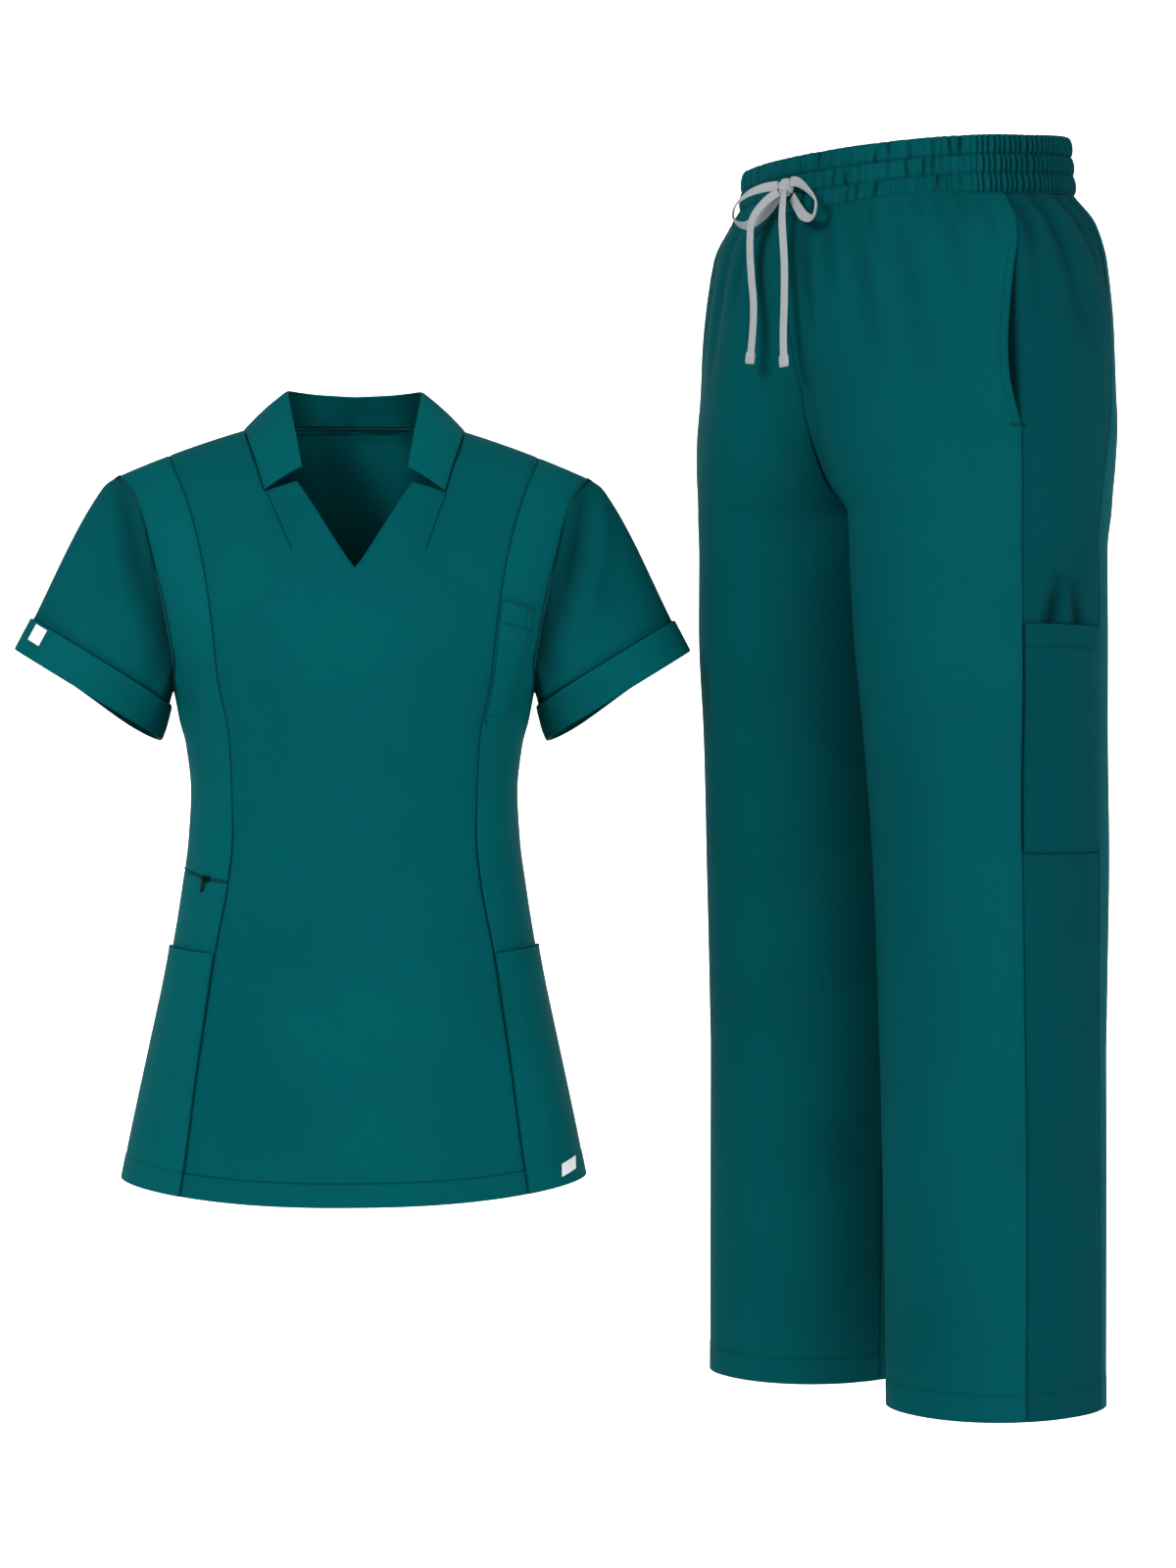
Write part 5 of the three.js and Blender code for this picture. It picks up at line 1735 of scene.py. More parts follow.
@dataclass
class TunicPockets:
    """Hip pockets and the pen pocket."""

    workshop: Workshop
    mouth_height_share: float = 0.475
    gape: float = 2.0
    cloth: float = 1.2
    stand_off: float = 0.6
    inner_top: float = -141
    outer_top: float = -147.7
    inner_bottom: float = -236.2
    outer_bottom: float = -230.8
    from_seam: float = 1.5
    point: float = 4.5
    edge_stitch: float = 1.4
    second_stitch: float = 5.6
    mouth_stitch: float = 1.6
    hem_stitch: float = 18.5
    pen_stitch: float = 9.0

    def hip(self, name: str, node: str, mirror: bool) -> None:
        """Make one hip pocket.

        Args:
            name: the piece's name.
            node: the CAD node that it stands for.
            mirror: whether it is the wearer's right one.
        """
        def mouth(column: Column) -> float:
            """Return the mouth's height on a column."""
            hem = float(TUNIC.hem(column.angle_at(np.array(TUNIC.hem_side))))
            return float(mix(hem, TUNIC.underarm, self.mouth_height_share))

        def relief(panel: Panel) -> Relief:
            """Shape the gape at the mouth, its fold and the hem.

            Args:
                panel: the pocket.

            Returns:
                The relief.
            """
            across = panel.far.first / np.maximum(panel.far.first[:, -1:], 1e-6)
            gape = self.gape * np.sin(np.pi * np.clip(across, 0, 1)) * bell(panel.far.top, 0, 34)
            return hemmed(panel, Relief(gape + 0.4 * bell(panel.far.top, 0, 2.5), 0 * gape))

        panel = Panel(
            name, TUNIC.point, body_grid(side_columns(18), high=mouth), TUNIC.place, outer=SEAM_GAP + CLOTH,
            inner=SEAM_GAP, edges=Edges(top=Edge.OPEN), keep=in_front, mirror=mirror, relief=relief, roll=0.15,
            seam_shade=0.2,
        )
        self.workshop.hang(panel, self.workshop.finishes.side, Slot.CLOTH_SIDE, node)
        hem = panel.line_at(panel.far.low, HEM_STITCH, True)
        self.workshop.stitches(name + "_stitches", [hem], TUNIC.place, Slot.CLOTH_SIDE)
        # painted shadow: a dark line under the gaping mouth
        self.workshop.seams(name + "_mouth", [panel.edge("top").sunk(1.5)], TUNIC.place, Slot.CLOTH_SIDE, 0.8)

    def chest(self) -> None:
        """Make the pen pocket with its doubled stitching."""
        edge_at = profile(CHEST_POCKET_EDGE, 0, 1)
        down = even_with_edges(60, 92, (0.5, 1.2, 1.6, 2.2))[:, None]
        across = even_with_edges(44, 28, (0.5, 1.2, 1.6, 2.2))[None, :]
        inner = mix(self.inner_top, self.inner_bottom, down)
        outer = mix(self.outer_top, self.outer_bottom, down)
        drop = self.point * down**6 * np.sin(np.pi * np.sqrt(across))
        height = mix(inner, outer, across) - drop
        x = mix(TUNIC.princess(height) + self.from_seam, edge_at(height), across)
        grid = Grid(TUNIC.angle(x, height), height)

        def relief(panel: Panel) -> Relief:
            """Shape the pocket's slight belly and the channels of its stitching, with painted shade in the channels.

            Args:
                panel: the pocket.

            Returns:
                The relief.
            """
            side, hem = panel.far.last, panel.far.low
            belly = 0.5 * np.sin(np.pi * np.clip(across, 0, 1))
            belly = belly * np.sin(np.pi * np.clip(down * 0.8 + 0.1, 0, 1))
            level = bell(hem, self.hem_stitch, 0.5) + bell(hem, self.mouth_stitch, 0.5)
            pen = bell(side, self.pen_stitch, 0.5) * (hem < self.hem_stitch)
            second = bell(side, self.second_stitch, 0.5) * (hem > self.hem_stitch)
            channel = second + bell(side, self.edge_stitch, 0.5) + level + pen
            end = bell(panel.far.top, self.second_stitch, 0.5) * (side > self.second_stitch)
            return Relief(belly - 0.35 * (channel + end), 0.45 * np.clip(channel + end, 0, 1))

        panel = Panel(
            "pen_pocket", TUNIC.point, grid, TUNIC.place, outer=self.stand_off + self.cloth, inner=self.stand_off,
            edges=ALL_OPEN, relief=relief,
        )
        self.workshop.hang(panel, self.workshop.finishes.side, Slot.CLOTH_SIDE, "chest_pocket")
        lines = [panel.line_at(panel.far.last, at, False) for at in (self.edge_stitch, self.second_stitch)]
        lines += [panel.line_at(panel.far.low, at, True) for at in (self.mouth_stitch, self.hem_stitch)]
        # painted shadow: dark lines where the pocket's edges stand off the front
        edges = [panel.edge(which).sunk(1.3) for which in ("last", "low", "top")]
        self.workshop.seams("pen_pocket_edge_shadows", edges, TUNIC.place, Slot.CLOTH_SIDE, 0.6)
        thread = Thread(2.4, 1.8, 0.36)
        self.workshop.stitches("pen_pocket_stitches", lines, TUNIC.place, Slot.CLOTH_SIDE, thread)

    def build(self) -> None:
        """Make all three pockets."""
        self.hip("hip_pocket_left_cloth", "hip_pocket_left", False)
        self.hip("hip_pocket_right_cloth", "hip_pocket_right", True)
        self.chest()


class CollarRow(NamedTuple):
    """Seam and top of the collar at a share of the way from its front end to the middle of the back."""

    share: float
    seam_x: float
    seam_z: float
    side: int
    top_x: float
    top_y: float
    top_z: float


COLLAR_ROWS = [
    CollarRow(0, 72.2, -55, -1, 42, -70, -35.2),
    CollarRow(0.16, 78.4, -34.7, -1, 46, -51, -13),
    CollarRow(0.32, 86.6, -10.5, -1, 51, -28, 12),
    CollarRow(0.46, 89.2, 0, -1, 54.8, -4, 31),
    CollarRow(0.6, 79, 2, 1, 50, 11, 33),
    CollarRow(0.8, 45, 5.7, 1, 28, 23, 31.6),
    CollarRow(1, 0, 7, 1, 0, 29, 30.8),
]


@dataclass
class Collar:
    """Notched stand collar."""

    workshop: Workshop
    thickness: float = 2.2
    crown: float = 1.2

    def __post_init__(self) -> None:
        """Prepare the curves of the seam and of the top edge."""
        rows = []
        for row in COLLAR_ROWS:
            angle = TUNIC.angle(np.array(row.seam_x), np.array(float(row.seam_z)))
            turn = angle if row.side < 0 else 180 - angle
            y = 0.0 if row.seam_x >= NECK_POINT else float(TUNIC.point(turn, np.array(float(row.seam_z)))[1])
            rows.append((row.share, row.seam_x, y, row.seam_z, row.top_x, row.top_y, row.top_z))
        self.curves = [profile(rows, 0, k) for k in range(1, 7)]

    def point(self, u: np.ndarray, v: np.ndarray) -> np.ndarray:
        """Return points of the collar.

        Args:
            u: from -100 to 100, from one front end to the other.
            v: from 0 at its seam to 100 at its top.

        Returns:
            The points, in the tunic's frame.
        """
        share = 1 - np.abs(u) / 100
        side = np.where(u < 0, -1.0, 1.0)
        seam = [curve(share) for curve in self.curves[:3]]
        top = [curve(share) for curve in self.curves[3:]]
        x, y, z = [mix(a, b, v / 100) for a, b in zip(seam, top)]
        return np.stack([side * x, y, z], axis=-1)

    def build(self) -> None:
        """Make the collar."""
        across = even_with_edges(120, 330, (0.6, 1.4, 2.6)) * 200 - 100
        rows = mix(2.5, 100, even_with_edges(16, 34, (0.6, 1.4, 2.6)))
        v, u = np.meshgrid(rows, across, indexing="ij")

        def relief(panel: Panel) -> Relief:
            """Shape the collar's crown and its rounded edges, with painted shade along its seam.

            Args:
                panel: the collar.

            Returns:
                The relief.
            """
            crown = self.crown * np.sin(np.pi * panel.grid.v / 100)
            ends = np.minimum(panel.far.first, panel.far.last)
            round_off = bell(panel.far.top, 0, 1.1) + bell(ends, 0, 1.1)
            shade = 0.25 * bell(panel.far.low, 0, 1.0) + 0.1 * bell(panel.far.low, 0, 5)
            return Relief(crown - 0.3 * round_off, shade)

        def lining(panel: Panel) -> np.ndarray:
            """Return the painted shade of the collar's inside, darker to its front, with painted light in its
            middle.
            """
            return 0.9 * smoothstep(np.abs(panel.base[..., 0]), 26, 52) - 0.35

        half = self.thickness / 2
        panel = Panel(
            "collar_cloth", self.point, Grid(u, v), TUNIC.place, outer=half, inner=-half, edges=ALL_OPEN,
            relief=relief, flip=True, lining=lining,
        )
        self.workshop.hang(panel, self.workshop.finishes.side, Slot.CLOTH_SIDE, "collar", "stretched")
        share = np.linspace(-100, 100, 241)
        seam = self.point(share, 0 * share)
        out = -normals_of(self.point, Grid(share, 0 * share + 2))
        ends = [Line(panel.outside[:, k], panel.normals[:, k]).sunk(1.2) for k in (0, -1)]
        lines = [Line(seam, out).sunk(-0.9)] + ends
        self.workshop.seams("collar_seam", lines, TUNIC.place, Slot.CLOTH_SIDE, 0.36)


# Long troughs of a sleeve, as (degrees round it, half width, depth), and its soft folds, in (degrees
# round it, hundredths of its length)
SLEEVE_TROUGHS = [(62, 15, 1.6), (128, 13, 2.4), (228, 14, 3.6), (298, 16, 2.8)]
SLEEVE_FOLDS = [
    Fold(((10, 2), (40, 15), (75, 24), (115, 30)), 8, -5.0, 0.34),
    Fold(((14, 12), (42, 32), (72, 44), (100, 52)), 11, 3.4),
    Fold(((95, 6), (125, 14), (150, 30)), 12, -2.0, 0.2),
    Fold(((350, 2), (320, 15), (285, 24), (245, 30)), 9, -3.4, 0.2),
    Fold(((346, 12), (318, 32), (288, 44), (260, 52)), 11, 2.2),
]


@dataclass
class Sleeves:
    """Short set-in sleeves with turned-up cuffs."""

    workshop: Workshop
    hem: tuple[float, float, float] = (215.4, -3, -215)
    half_width: float = 67.5
    half_depth: float = 42
    rise: float = 31.3
    axis_tilt: float = 30
    cuff_depth: float = 28
    cuff_stand_off: float = 0.6
    back_drop: float = 5.5

    def armhole_point(self, u: np.ndarray) -> np.ndarray:
        """Return points of the armhole.

        Args:
            u: degrees round it, from its top.

        Returns:
            The points, in the tunic's frame.
        """
        turn = np.mod(u, 360)
        middle = (TUNIC.sleeve_top + TUNIC.underarm) / 2
        half = (TUNIC.sleeve_top - TUNIC.underarm) / 2
        height = middle + half * np.cos(np.radians(turn))
        angle = TUNIC.armhole_angle(height)
        return TUNIC.point(np.where(turn <= 180, angle, 180 - angle), height)

    def point(self, u: np.ndarray, v: np.ndarray) -> np.ndarray:
        """Return points of the sleeve.

        Args:
            u: degrees round it, from its top.
            v: from 0 at the armhole to 100 at the hem.

        Returns:
            The points, in the tunic's frame.
        """
        start = self.armhole_point(u)
        turn = np.radians(u)
        out = np.array([math.cos(math.radians(self.rise)), 0, math.sin(math.radians(self.rise))])
        down = np.array([math.sin(math.radians(self.axis_tilt)), 0, -math.cos(math.radians(self.axis_tilt))])
        end = np.array(self.hem) + self.half_width * np.cos(turn)[..., None] * out
        end[..., 1] -= self.half_depth * np.sin(turn)
        end = end + down * (self.back_drop * bell(np.mod(u, 360), 232, 46))[..., None]
        low = (1 - np.cos(turn)) / 2
        leave = np.stack([mix(0.95, 0.45, low), 0 * low, mix(-0.34, -0.9, low)], axis=-1)
        leave *= (mix(85, 26, low) / np.linalg.norm(leave, axis=-1))[..., None]
        length = np.linalg.norm(end - start, axis=-1)[..., None]
        t = (v / 100)[..., None]
        t2, t3 = t * t, t * t * t
        curve = start * (2 * t3 - 3 * t2 + 1) + leave * (t3 - 2 * t2 + t)
        return curve + end * (3 * t2 - 2 * t3) + down * (t3 - t2) * length

    def cuff_top(self, u: np.ndarray) -> np.ndarray:
        """Return v at which the cuff's top edge runs."""
        length = np.linalg.norm(self.point(u, 0 * u) - self.point(u, 0 * u + 100), axis=-1)
        return 100 * (1 - self.cuff_depth * 0.95 / length)

    def folds(self, panel: Panel) -> Relief:
        """Shape the soft troughs that run down from the cap, with the shade by armhole and cuff.

        Args:
            panel: the sleeve.

        Returns:
            The relief.
        """
        run = np.sin(np.pi * np.clip((panel.grid.v - 4) / 74, 0, 1)) ** 2
        total = sum(depth * bell(panel.grid.u, at, width) for at, width, depth in SLEEVE_TROUGHS)
        low = smoothstep(np.abs(np.mod(panel.grid.u, 360) - 180), 160, 70)
        by_hole = bell(panel.far.low, 0, 26) * (0.12 + 0.55 * low)
        by_cuff = 0.35 * bell(self.cuff_top(panel.grid.u) - panel.grid.v, 0, 4.5)
        soft = panel.folded(SLEEVE_FOLDS)
        return Relief(soft.lift - run * total, by_hole + 0.05 * run * total + by_cuff + soft.shade)

    def build(self) -> None:
        """Make both sleeves and both cuffs."""
        around = np.linspace(0, 360, 145)[:-1]
        down = even_with_edges(40, 170, NEAR)
        first_step = self.point(around, 0 * around + 1) - self.point(around, 0 * around)
        first_step = np.linalg.norm(first_step, axis=-1)
        v = mix((SEAM_GAP * 1.3 / first_step)[None, :], 100.0, down[:, None])
        u = np.broadcast_to(around, v.shape).copy()
        for mirror, side in ((False, "left"), (True, "right")):
            # painted shade on the sleeve's inside
            sleeve = Panel(
                f"sleeve_{side}_cloth", self.point, Grid(u, v), TUNIC.place, edges=SLEEVE_EDGES, ring=True,
                mirror=mirror, relief=self.folds, roll=0.4, lining=lambda panel: 0 * panel.grid.u + 0.75,
            )
            self.workshop.hang(sleeve, self.workshop.finishes.front, Slot.CLOTH_DARK, f"sleeve_{side}")
            self.workshop.seams(f"armhole_{side}_seam", [sleeve.edge("low")], TUNIC.place, Slot.CLOTH_DARK, 0.45)
            self.cuff(side, mirror, around)

    def cuff(self, side: str, mirror: bool, around: np.ndarray) -> None:
        """Make one cuff.

        Args:
            side: the wearer's side.
            mirror: whether it is the right one.
            around: degrees of its columns.
        """
        down = even_with_edges(12, 28, (0.4, 0.9, 1.7))
        v = mix(self.cuff_top(around)[None, :], 100.0, down[:, None])
        u = np.broadcast_to(around, v.shape).copy()

        def relief(panel: Panel) -> Relief:
            """Shape the cuff's rounded folds and faint waves, with painted shade underneath and by the body.

            Args:
                panel: the cuff.

            Returns:
                The relief.
            """
            edge = bell(panel.far.low, 0, 1.2) + bell(panel.far.top, 0, 1.2)
            wave = 0.25 * np.sin(np.radians(panel.grid.u * 5 + 40)) * np.sin(np.pi * down)[:, None]
            under = smoothstep(np.abs(np.mod(panel.grid.u, 360) - 180), 130, 60)
            by_body = bell(np.mod(panel.grid.u, 360), 168, 42)
            return Relief(wave - 0.4 * edge, 0.12 * under + 0.4 * by_body)

        # painted shade on the cuff's inside
        panel = Panel(
            f"cuff_{side}_cloth", self.point, Grid(u, v), TUNIC.place, outer=self.cuff_stand_off + DOUBLE_CLOTH,
            inner=self.cuff_stand_off, edges=ALL_OPEN, ring=True, mirror=mirror, relief=relief,
            lining=lambda panel: 0 * panel.grid.u + 0.6,
        )
        self.workshop.hang(panel, self.workshop.finishes.side, Slot.CLOTH_SIDE, f"cuff_{side}", "folded")
        # painted shadow: a dark line under the cuff's top fold
        top = [panel.edge("low").sunk(2.1)]
        self.workshop.seams(f"cuff_{side}_edge", top, TUNIC.place, Slot.CLOTH_SIDE, 0.8)


@dataclass
class Zip:
    """Side zip on the wearer's right: tape, teeth, slider and pull tab."""

    workshop: Workshop
    slider_at: float = 117.6
    tape_half: float = 6.0
    tape_behind: float = 2.0
    tape_cloth: float = 0.8
    tooth_pitch: float = 1.5
    tooth_half_size: tuple[float, float, float] = (0.42, 0.75, 0.6)
    slider_length: float = 7.0
    slider_width: float = 4.6
    slider_low: float = -0.9
    slider_top: float = 1.9
    axis_height: float = 3.7
    droop: float = 14.0
    pull_length: float = 11.0
    pull_width: float = 3.4
    pull_thickness: float = 1.0
    pull_slant: float = 0.3

    def frame_at(self, x: float) -> tuple[np.ndarray, np.ndarray, np.ndarray, np.ndarray]:
        """Find a place of the zip, on the left side.

        Args:
            x: how far aside it is.

        Returns:
            The place, with the ways along the zip, up and out.
        """
        def at(aside: float, climb: float) -> np.ndarray:
            """Return the surface point x aside of the place, some way up."""
            height = TUNIC.zip_height(np.array(x + aside)) + climb
            return TUNIC.point(TUNIC.angle(np.array(x + aside), height), height)

        origin = at(0, 0)
        along = at(1, 0) - origin
        along /= np.linalg.norm(along)
        height = TUNIC.zip_height(np.array(x))
        angle = TUNIC.angle(np.array(x), height)
        climb = TUNIC.point(angle, height + 1) - origin
        out = np.cross(along, climb)
        out /= np.linalg.norm(out)
        return origin, along, np.cross(out, along), out

    def laid_in(self, obj: bpy.types.Object) -> None:
        """Move a piece to its place on the right side.

        Args:
            obj: the piece, modelled in the slider's own millimetres.
        """
        origin, along, up, out = self.frame_at(self.slider_at)
        basis = np.stack([along, up, out], 1)
        points = np.empty(len(obj.data.vertices) * 3)
        obj.data.vertices.foreach_get("co", points)
        world = points.reshape(-1, 3) @ basis.T + origin
        world[:, 0] *= -1
        obj.data.vertices.foreach_set("co", TUNIC.place(world).ravel())
        obj.data.flip_normals()
        obj.data.update()

    def tape(self) -> None:
        """Make the tape."""
        columns, rows = side_columns(22), np.linspace(-self.tape_half, self.tape_half, 13)
        v = np.stack([zip_at(column, 0.0) + rows for column in columns], 1)
        u = np.stack([column.angle_at(v[:, k]) + 0 * rows for k, column in enumerate(columns)], 1)

        def relief(panel: Panel) -> Relief:
            """Return the tape's rib beside the teeth."""
            middle = np.abs(panel.far.low - self.tape_half)
            return Relief(0.25 * bell(middle, 2.2, 0.8), 0 * middle)

        panel = Panel(
            "zip_tape_cloth", TUNIC.point, Grid(u, v), TUNIC.place, outer=-self.tape_behind,
            inner=-self.tape_behind - self.tape_cloth, edges=Edges(low=Edge.OPEN, top=Edge.OPEN), keep=in_front,
            mirror=True, relief=relief,
        )
        self.workshop.hang(panel, self.workshop.finishes.zip_tape, Slot.ZIP_TAPE, "zip", "stretched")

    def teeth(self) -> None:
        """Set the two rows of teeth in the slot."""
        points, along, out = resampled(self.slot_line(), self.tooth_pitch / 2)
        up = np.cross(out, along)
        corners, faces, offset = [], [], 0
        cube = np.array([[x, y, z] for x in (-1, 1) for y in (-1, 1) for z in (-1, 1)], float)
        quads = np.array([[0, 1, 3, 2], [4, 6, 7, 5], [0, 4, 5, 1], [2, 3, 7, 6], [0, 2, 6, 4], [1, 5, 7, 3]])
        for k, (point, ahead, rise, face) in enumerate(zip(points, along, up, out)):
            side = 1 if k % 2 else -1
            middle = point + rise * side * 0.3 - face * 0.75
            block = cube * np.array(self.tooth_half_size)
            corners.append(middle + block @ np.stack([ahead, rise, face]))
            faces.append(quads + offset)
            offset += 8
        teeth = mesh_object("zip_teeth", TUNIC.place(np.concatenate(corners)), np.concatenate(faces))
        self.workshop.dress(teeth, self.workshop.finishes.zip_tape, Slot.ZIP_TAPE)

    def slot_line(self) -> Line:
        """Find the middle of the slot.

        Returns:
            Its line, on the right side.
        """
        xs = np.linspace(101.5, 142.5, 60)
        places, outs = [], []
        for x in xs:
            origin, _, _, out = self.frame_at(float(x))
            places.append(origin)
            outs.append(out)
        return Line(np.array(places) * MIRROR, np.array(outs) * MIRROR)

    def slider(self) -> None:
        """Make the slider: a tapered body with a bridge for the pull tab."""
        bpy.ops.object.select_all(action="DESELECT")
        bpy.ops.mesh.primitive_cube_add(size=1, location=(0, 0, (self.slider_low + self.slider_top) / 2))
        obj = bpy.context.active_object
        obj.name = "zip_slider"
        obj.scale = (self.slider_length, self.slider_width, self.slider_top - self.slider_low)
        bpy.ops.object.transform_apply(location=True, rotation=True, scale=True)
        bpy.ops.object.mode_set(mode="EDIT")
        bpy.ops.mesh.select_all(action="SELECT")
        bpy.ops.mesh.subdivide(number_cuts=3)
        bpy.ops.object.mode_set(mode="OBJECT")
        for vertex in obj.data.vertices:
            narrow = 1 - 0.28 * max(0.0, vertex.co.x / (self.slider_length / 2)) ** 2
            vertex.co.y *= narrow
        for x in (-2.6, 2.6):
            obj = self.joined(obj, (x, 0, 2.9), (0.9, 0.9, 2.6))
        obj = self.joined(obj, (0, 0, 4.0), (6.1, 0.9, 0.5))
        bevel = obj.modifiers.new("round", "BEVEL")
        bevel.width = 0.18
        bevel.segments = 2
        bevel.limit_method = "ANGLE"
        only(obj)
        bpy.ops.object.modifier_apply(modifier="round")
        self.laid_in(obj)
        bpy.ops.object.shade_smooth_by_angle(angle=math.radians(40))
        self.workshop.dress(obj, self.workshop.finishes.metal, Slot.DARK_METAL)

    @staticmethod
    def joined(obj: bpy.types.Object, place: tuple, size: tuple) -> bpy.types.Object:
        """Add a block to a piece.

        Args:
            obj: the piece.
            place: the block's middle.
            size: its sides.

        Returns:
            The piece.
        """
        bpy.ops.object.select_all(action="DESELECT")
        bpy.ops.mesh.primitive_cube_add(size=1, location=place)
        block = bpy.context.active_object
        block.scale = size
        bpy.ops.object.transform_apply(location=True, rotation=True, scale=True)
        obj.select_set(True)
        bpy.context.view_layer.objects.active = obj
        bpy.ops.object.join()
        return obj

    def pull(self) -> None:
        """Make the pull tab: an eye round the slider's bridge and a flat tab with a slot."""
        bpy.ops.object.select_all(action="DESELECT")
        bpy.ops.mesh.primitive_torus_add(
            location=(0, 0, 0), rotation=(0, math.pi / 2, 0), major_radius=1.15, minor_radius=0.32,
            major_segments=28, minor_segments=10,
        )
        eye = bpy.context.active_object
        eye.name = "zip_pull_tab"
        bpy.ops.object.transform_apply(location=True, rotation=True, scale=True)
        for vertex in eye.data.vertices:
            vertex.co.x *= 2.6
        size = (self.pull_width, self.pull_length, self.pull_thickness)
        eye = self.joined(eye, (0, -(1.0 + self.pull_length / 2), 0), size)
        bpy.ops.object.mode_set(mode="EDIT")
        bpy.ops.mesh.select_all(action="DESELECT")
        bpy.ops.object.mode_set(mode="OBJECT")
        for polygon in eye.data.polygons:
            polygon.select = abs(polygon.normal.z) > 0.95 and polygon.area > 5
        bpy.ops.object.mode_set(mode="EDIT")
        bpy.ops.mesh.select_mode(type="FACE")
        bpy.ops.mesh.inset(thickness=0.55, depth=-0.18)
        bpy.ops.object.mode_set(mode="OBJECT")
        bevel = eye.modifiers.new("round", "BEVEL")
        bevel.width = 0.2
        bevel.segments = 2
        bevel.limit_method = "ANGLE"
        bevel.angle_limit = math.radians(50)
        only(eye)
        bpy.ops.object.modifier_apply(modifier="round")
        for vertex in eye.data.vertices:
            vertex.co.x += self.pull_slant * max(0.0, -vertex.co.y - 1.0)
        turn = Matrix.Rotation(math.radians(-self.droop), 4, "X")
        eye.data.transform(Matrix.Translation((0, 0, self.axis_height)) @ turn.inverted())
        self.laid_in(eye)
        bpy.ops.object.shade_smooth_by_angle(angle=math.radians(40))
        self.workshop.dress(eye, self.workshop.finishes.metal, Slot.DARK_METAL, ["zip_pull"], Body.PULL_TAB)

    def build(self) -> None:
        """Make the zip."""
        self.tape()
        self.teeth()
        self.slider()
        self.pull()


@dataclass
class Labels:
    """Two small white labels, left bare."""

    workshop: Workshop
    sleeves: Sleeves
    cloth: float = 0.6

    def build(self) -> None:
        """Make the hem label and the cuff label."""
        share = even_with_edges(10, 16, (0.4, 0.9))
        x = 169.5 + 5.8 * (2 * share - 1)[None, :]
        v = -595 + 5 * (2 * share - 1)[:, None] + 2.2 * (2 * share - 1)[None, :]
        grid = Grid(TUNIC.angle(x + 0 * v, v), v)
        off = SEAM_GAP + CLOTH + SEAM_GAP + 0.2

        def edge(panel: Panel) -> Relief:
            """Press the label's edges flat.

            Args:
                panel: the label.

            Returns:
                The relief.
            """
            near = np.minimum.reduce(list(panel.far))
            return Relief(0.12 * smoothstep(near, 0, 1.4) - 0.12, 0 * near)

        def made(name: str, surface: Surface, grid: Grid, node: str, low: float, mirror: bool) -> None:
            """Make one label with its stitching.

            Args:
                name: its name.
                surface: what it lies on.
                grid: the degrees and heights that it covers.
                node: the CAD node that it stands for.
                low: how far its underside is off the surface.
                mirror: whether it is on the wearer's right.
            """
            panel = Panel(
                name, surface, grid, TUNIC.place, outer=low + self.cloth, inner=low, edges=ALL_OPEN, relief=edge,
                mirror=mirror,
            )
            self.workshop.hang(panel, self.workshop.finishes.label, Slot.WHITE_LABEL, node, "stretched")
            lines = [panel.line_at(far, 0.9, False) for far in (panel.far.first, panel.far.last)]
            stitches = Thread(1.5, 1.0, 0.24, 0.06).sewn(name + "_stitches", lines, TUNIC.place)
            self.workshop.dress(stitches, self.workshop.finishes.label, Slot.WHITE_LABEL)

        made("hem_label", TUNIC.point, grid, "label_hem", off, False)
        u = mix(28.5, 43.0, share)[None, :] + 0 * share[:, None]
        cuff = mix(self.sleeves.cuff_top(u), 100.0, mix(0.06, 0.54, share)[:, None])
        made("cuff_label", self.sleeves.point, Grid(u, cuff), "label_cuff", 0.6 + DOUBLE_CLOTH + 0.55, True)


# ---- trousers ----


def leg_grid(left: Callable, right: Callable, shares: np.ndarray, high: float, low: float, count: int) -> Grid:
    """Return a grid of the leg between two seams.

    Args:
        left: degrees of the first seam by height.
        right: degrees of the last seam by height.
        shares: columns, as shares from first to last.
        high: height of the top row.
        low: height of the bottom row.
        count: steps between rows.

    Returns:
        The grid, from its top row down.
    """
    v = mix(high, low, even_with_edges(count, high - low, NEAR))[:, None] + 0 * shares[None, :]
    return Grid(mix(left(v), right(v), shares[None, :]), v)


# Soft folds of a leg, in (degrees round it, height before the waist tilts)
# Top and bottom of the leg's panels and how many rows they have
LEG_ROWS = (176, -778, 190)
# Soft folds of the trousers, in (degrees round the leg, height)
LEG_FRONT_FOLDS = [
    Fold(((7, 186), (8, 130), (10, 62)), 7, -3.4, 0.45),
    Fold(((16, 186), (16, 140), (18, 96)), 6, -2.6, 0.34),
    Fold(((24, 186), (26, 130), (29, 40)), 9, -3.4, 0.26),
    Fold(((31, 184), (31, 160), (32, 132)), 4, -1.8, 0.3),
    Fold(((38, 186), (39, 120), (43, 20)), 11, -3.8, 0.2),
    Fold(((46, 184), (46, 160), (48, 138)), 4, -1.8, 0.26),
    Fold(((53, 186), (55, 140), (58, 90)), 8, -3.0, 0.22),
    Fold(((61, 184), (61, 162), (62, 144)), 4, -1.8, 0.26),
    Fold(((67, 186), (68, 150), (68, 124)), 5, -2.0, 0.2),
    Fold(((12, 184), (12, 162), (13, 148)), 4, -1.6, 0.26),
    Fold(((-22, 20), (-30, -40), (-36, -110)), 24, -2.0, 0.12),
    Fold(((28, -60), (33, -250), (34, -500)), 30, 2.4),
    Fold(((-30, -120), (-32, -300), (-34, -560)), 26, -2.0, 0.08),
]
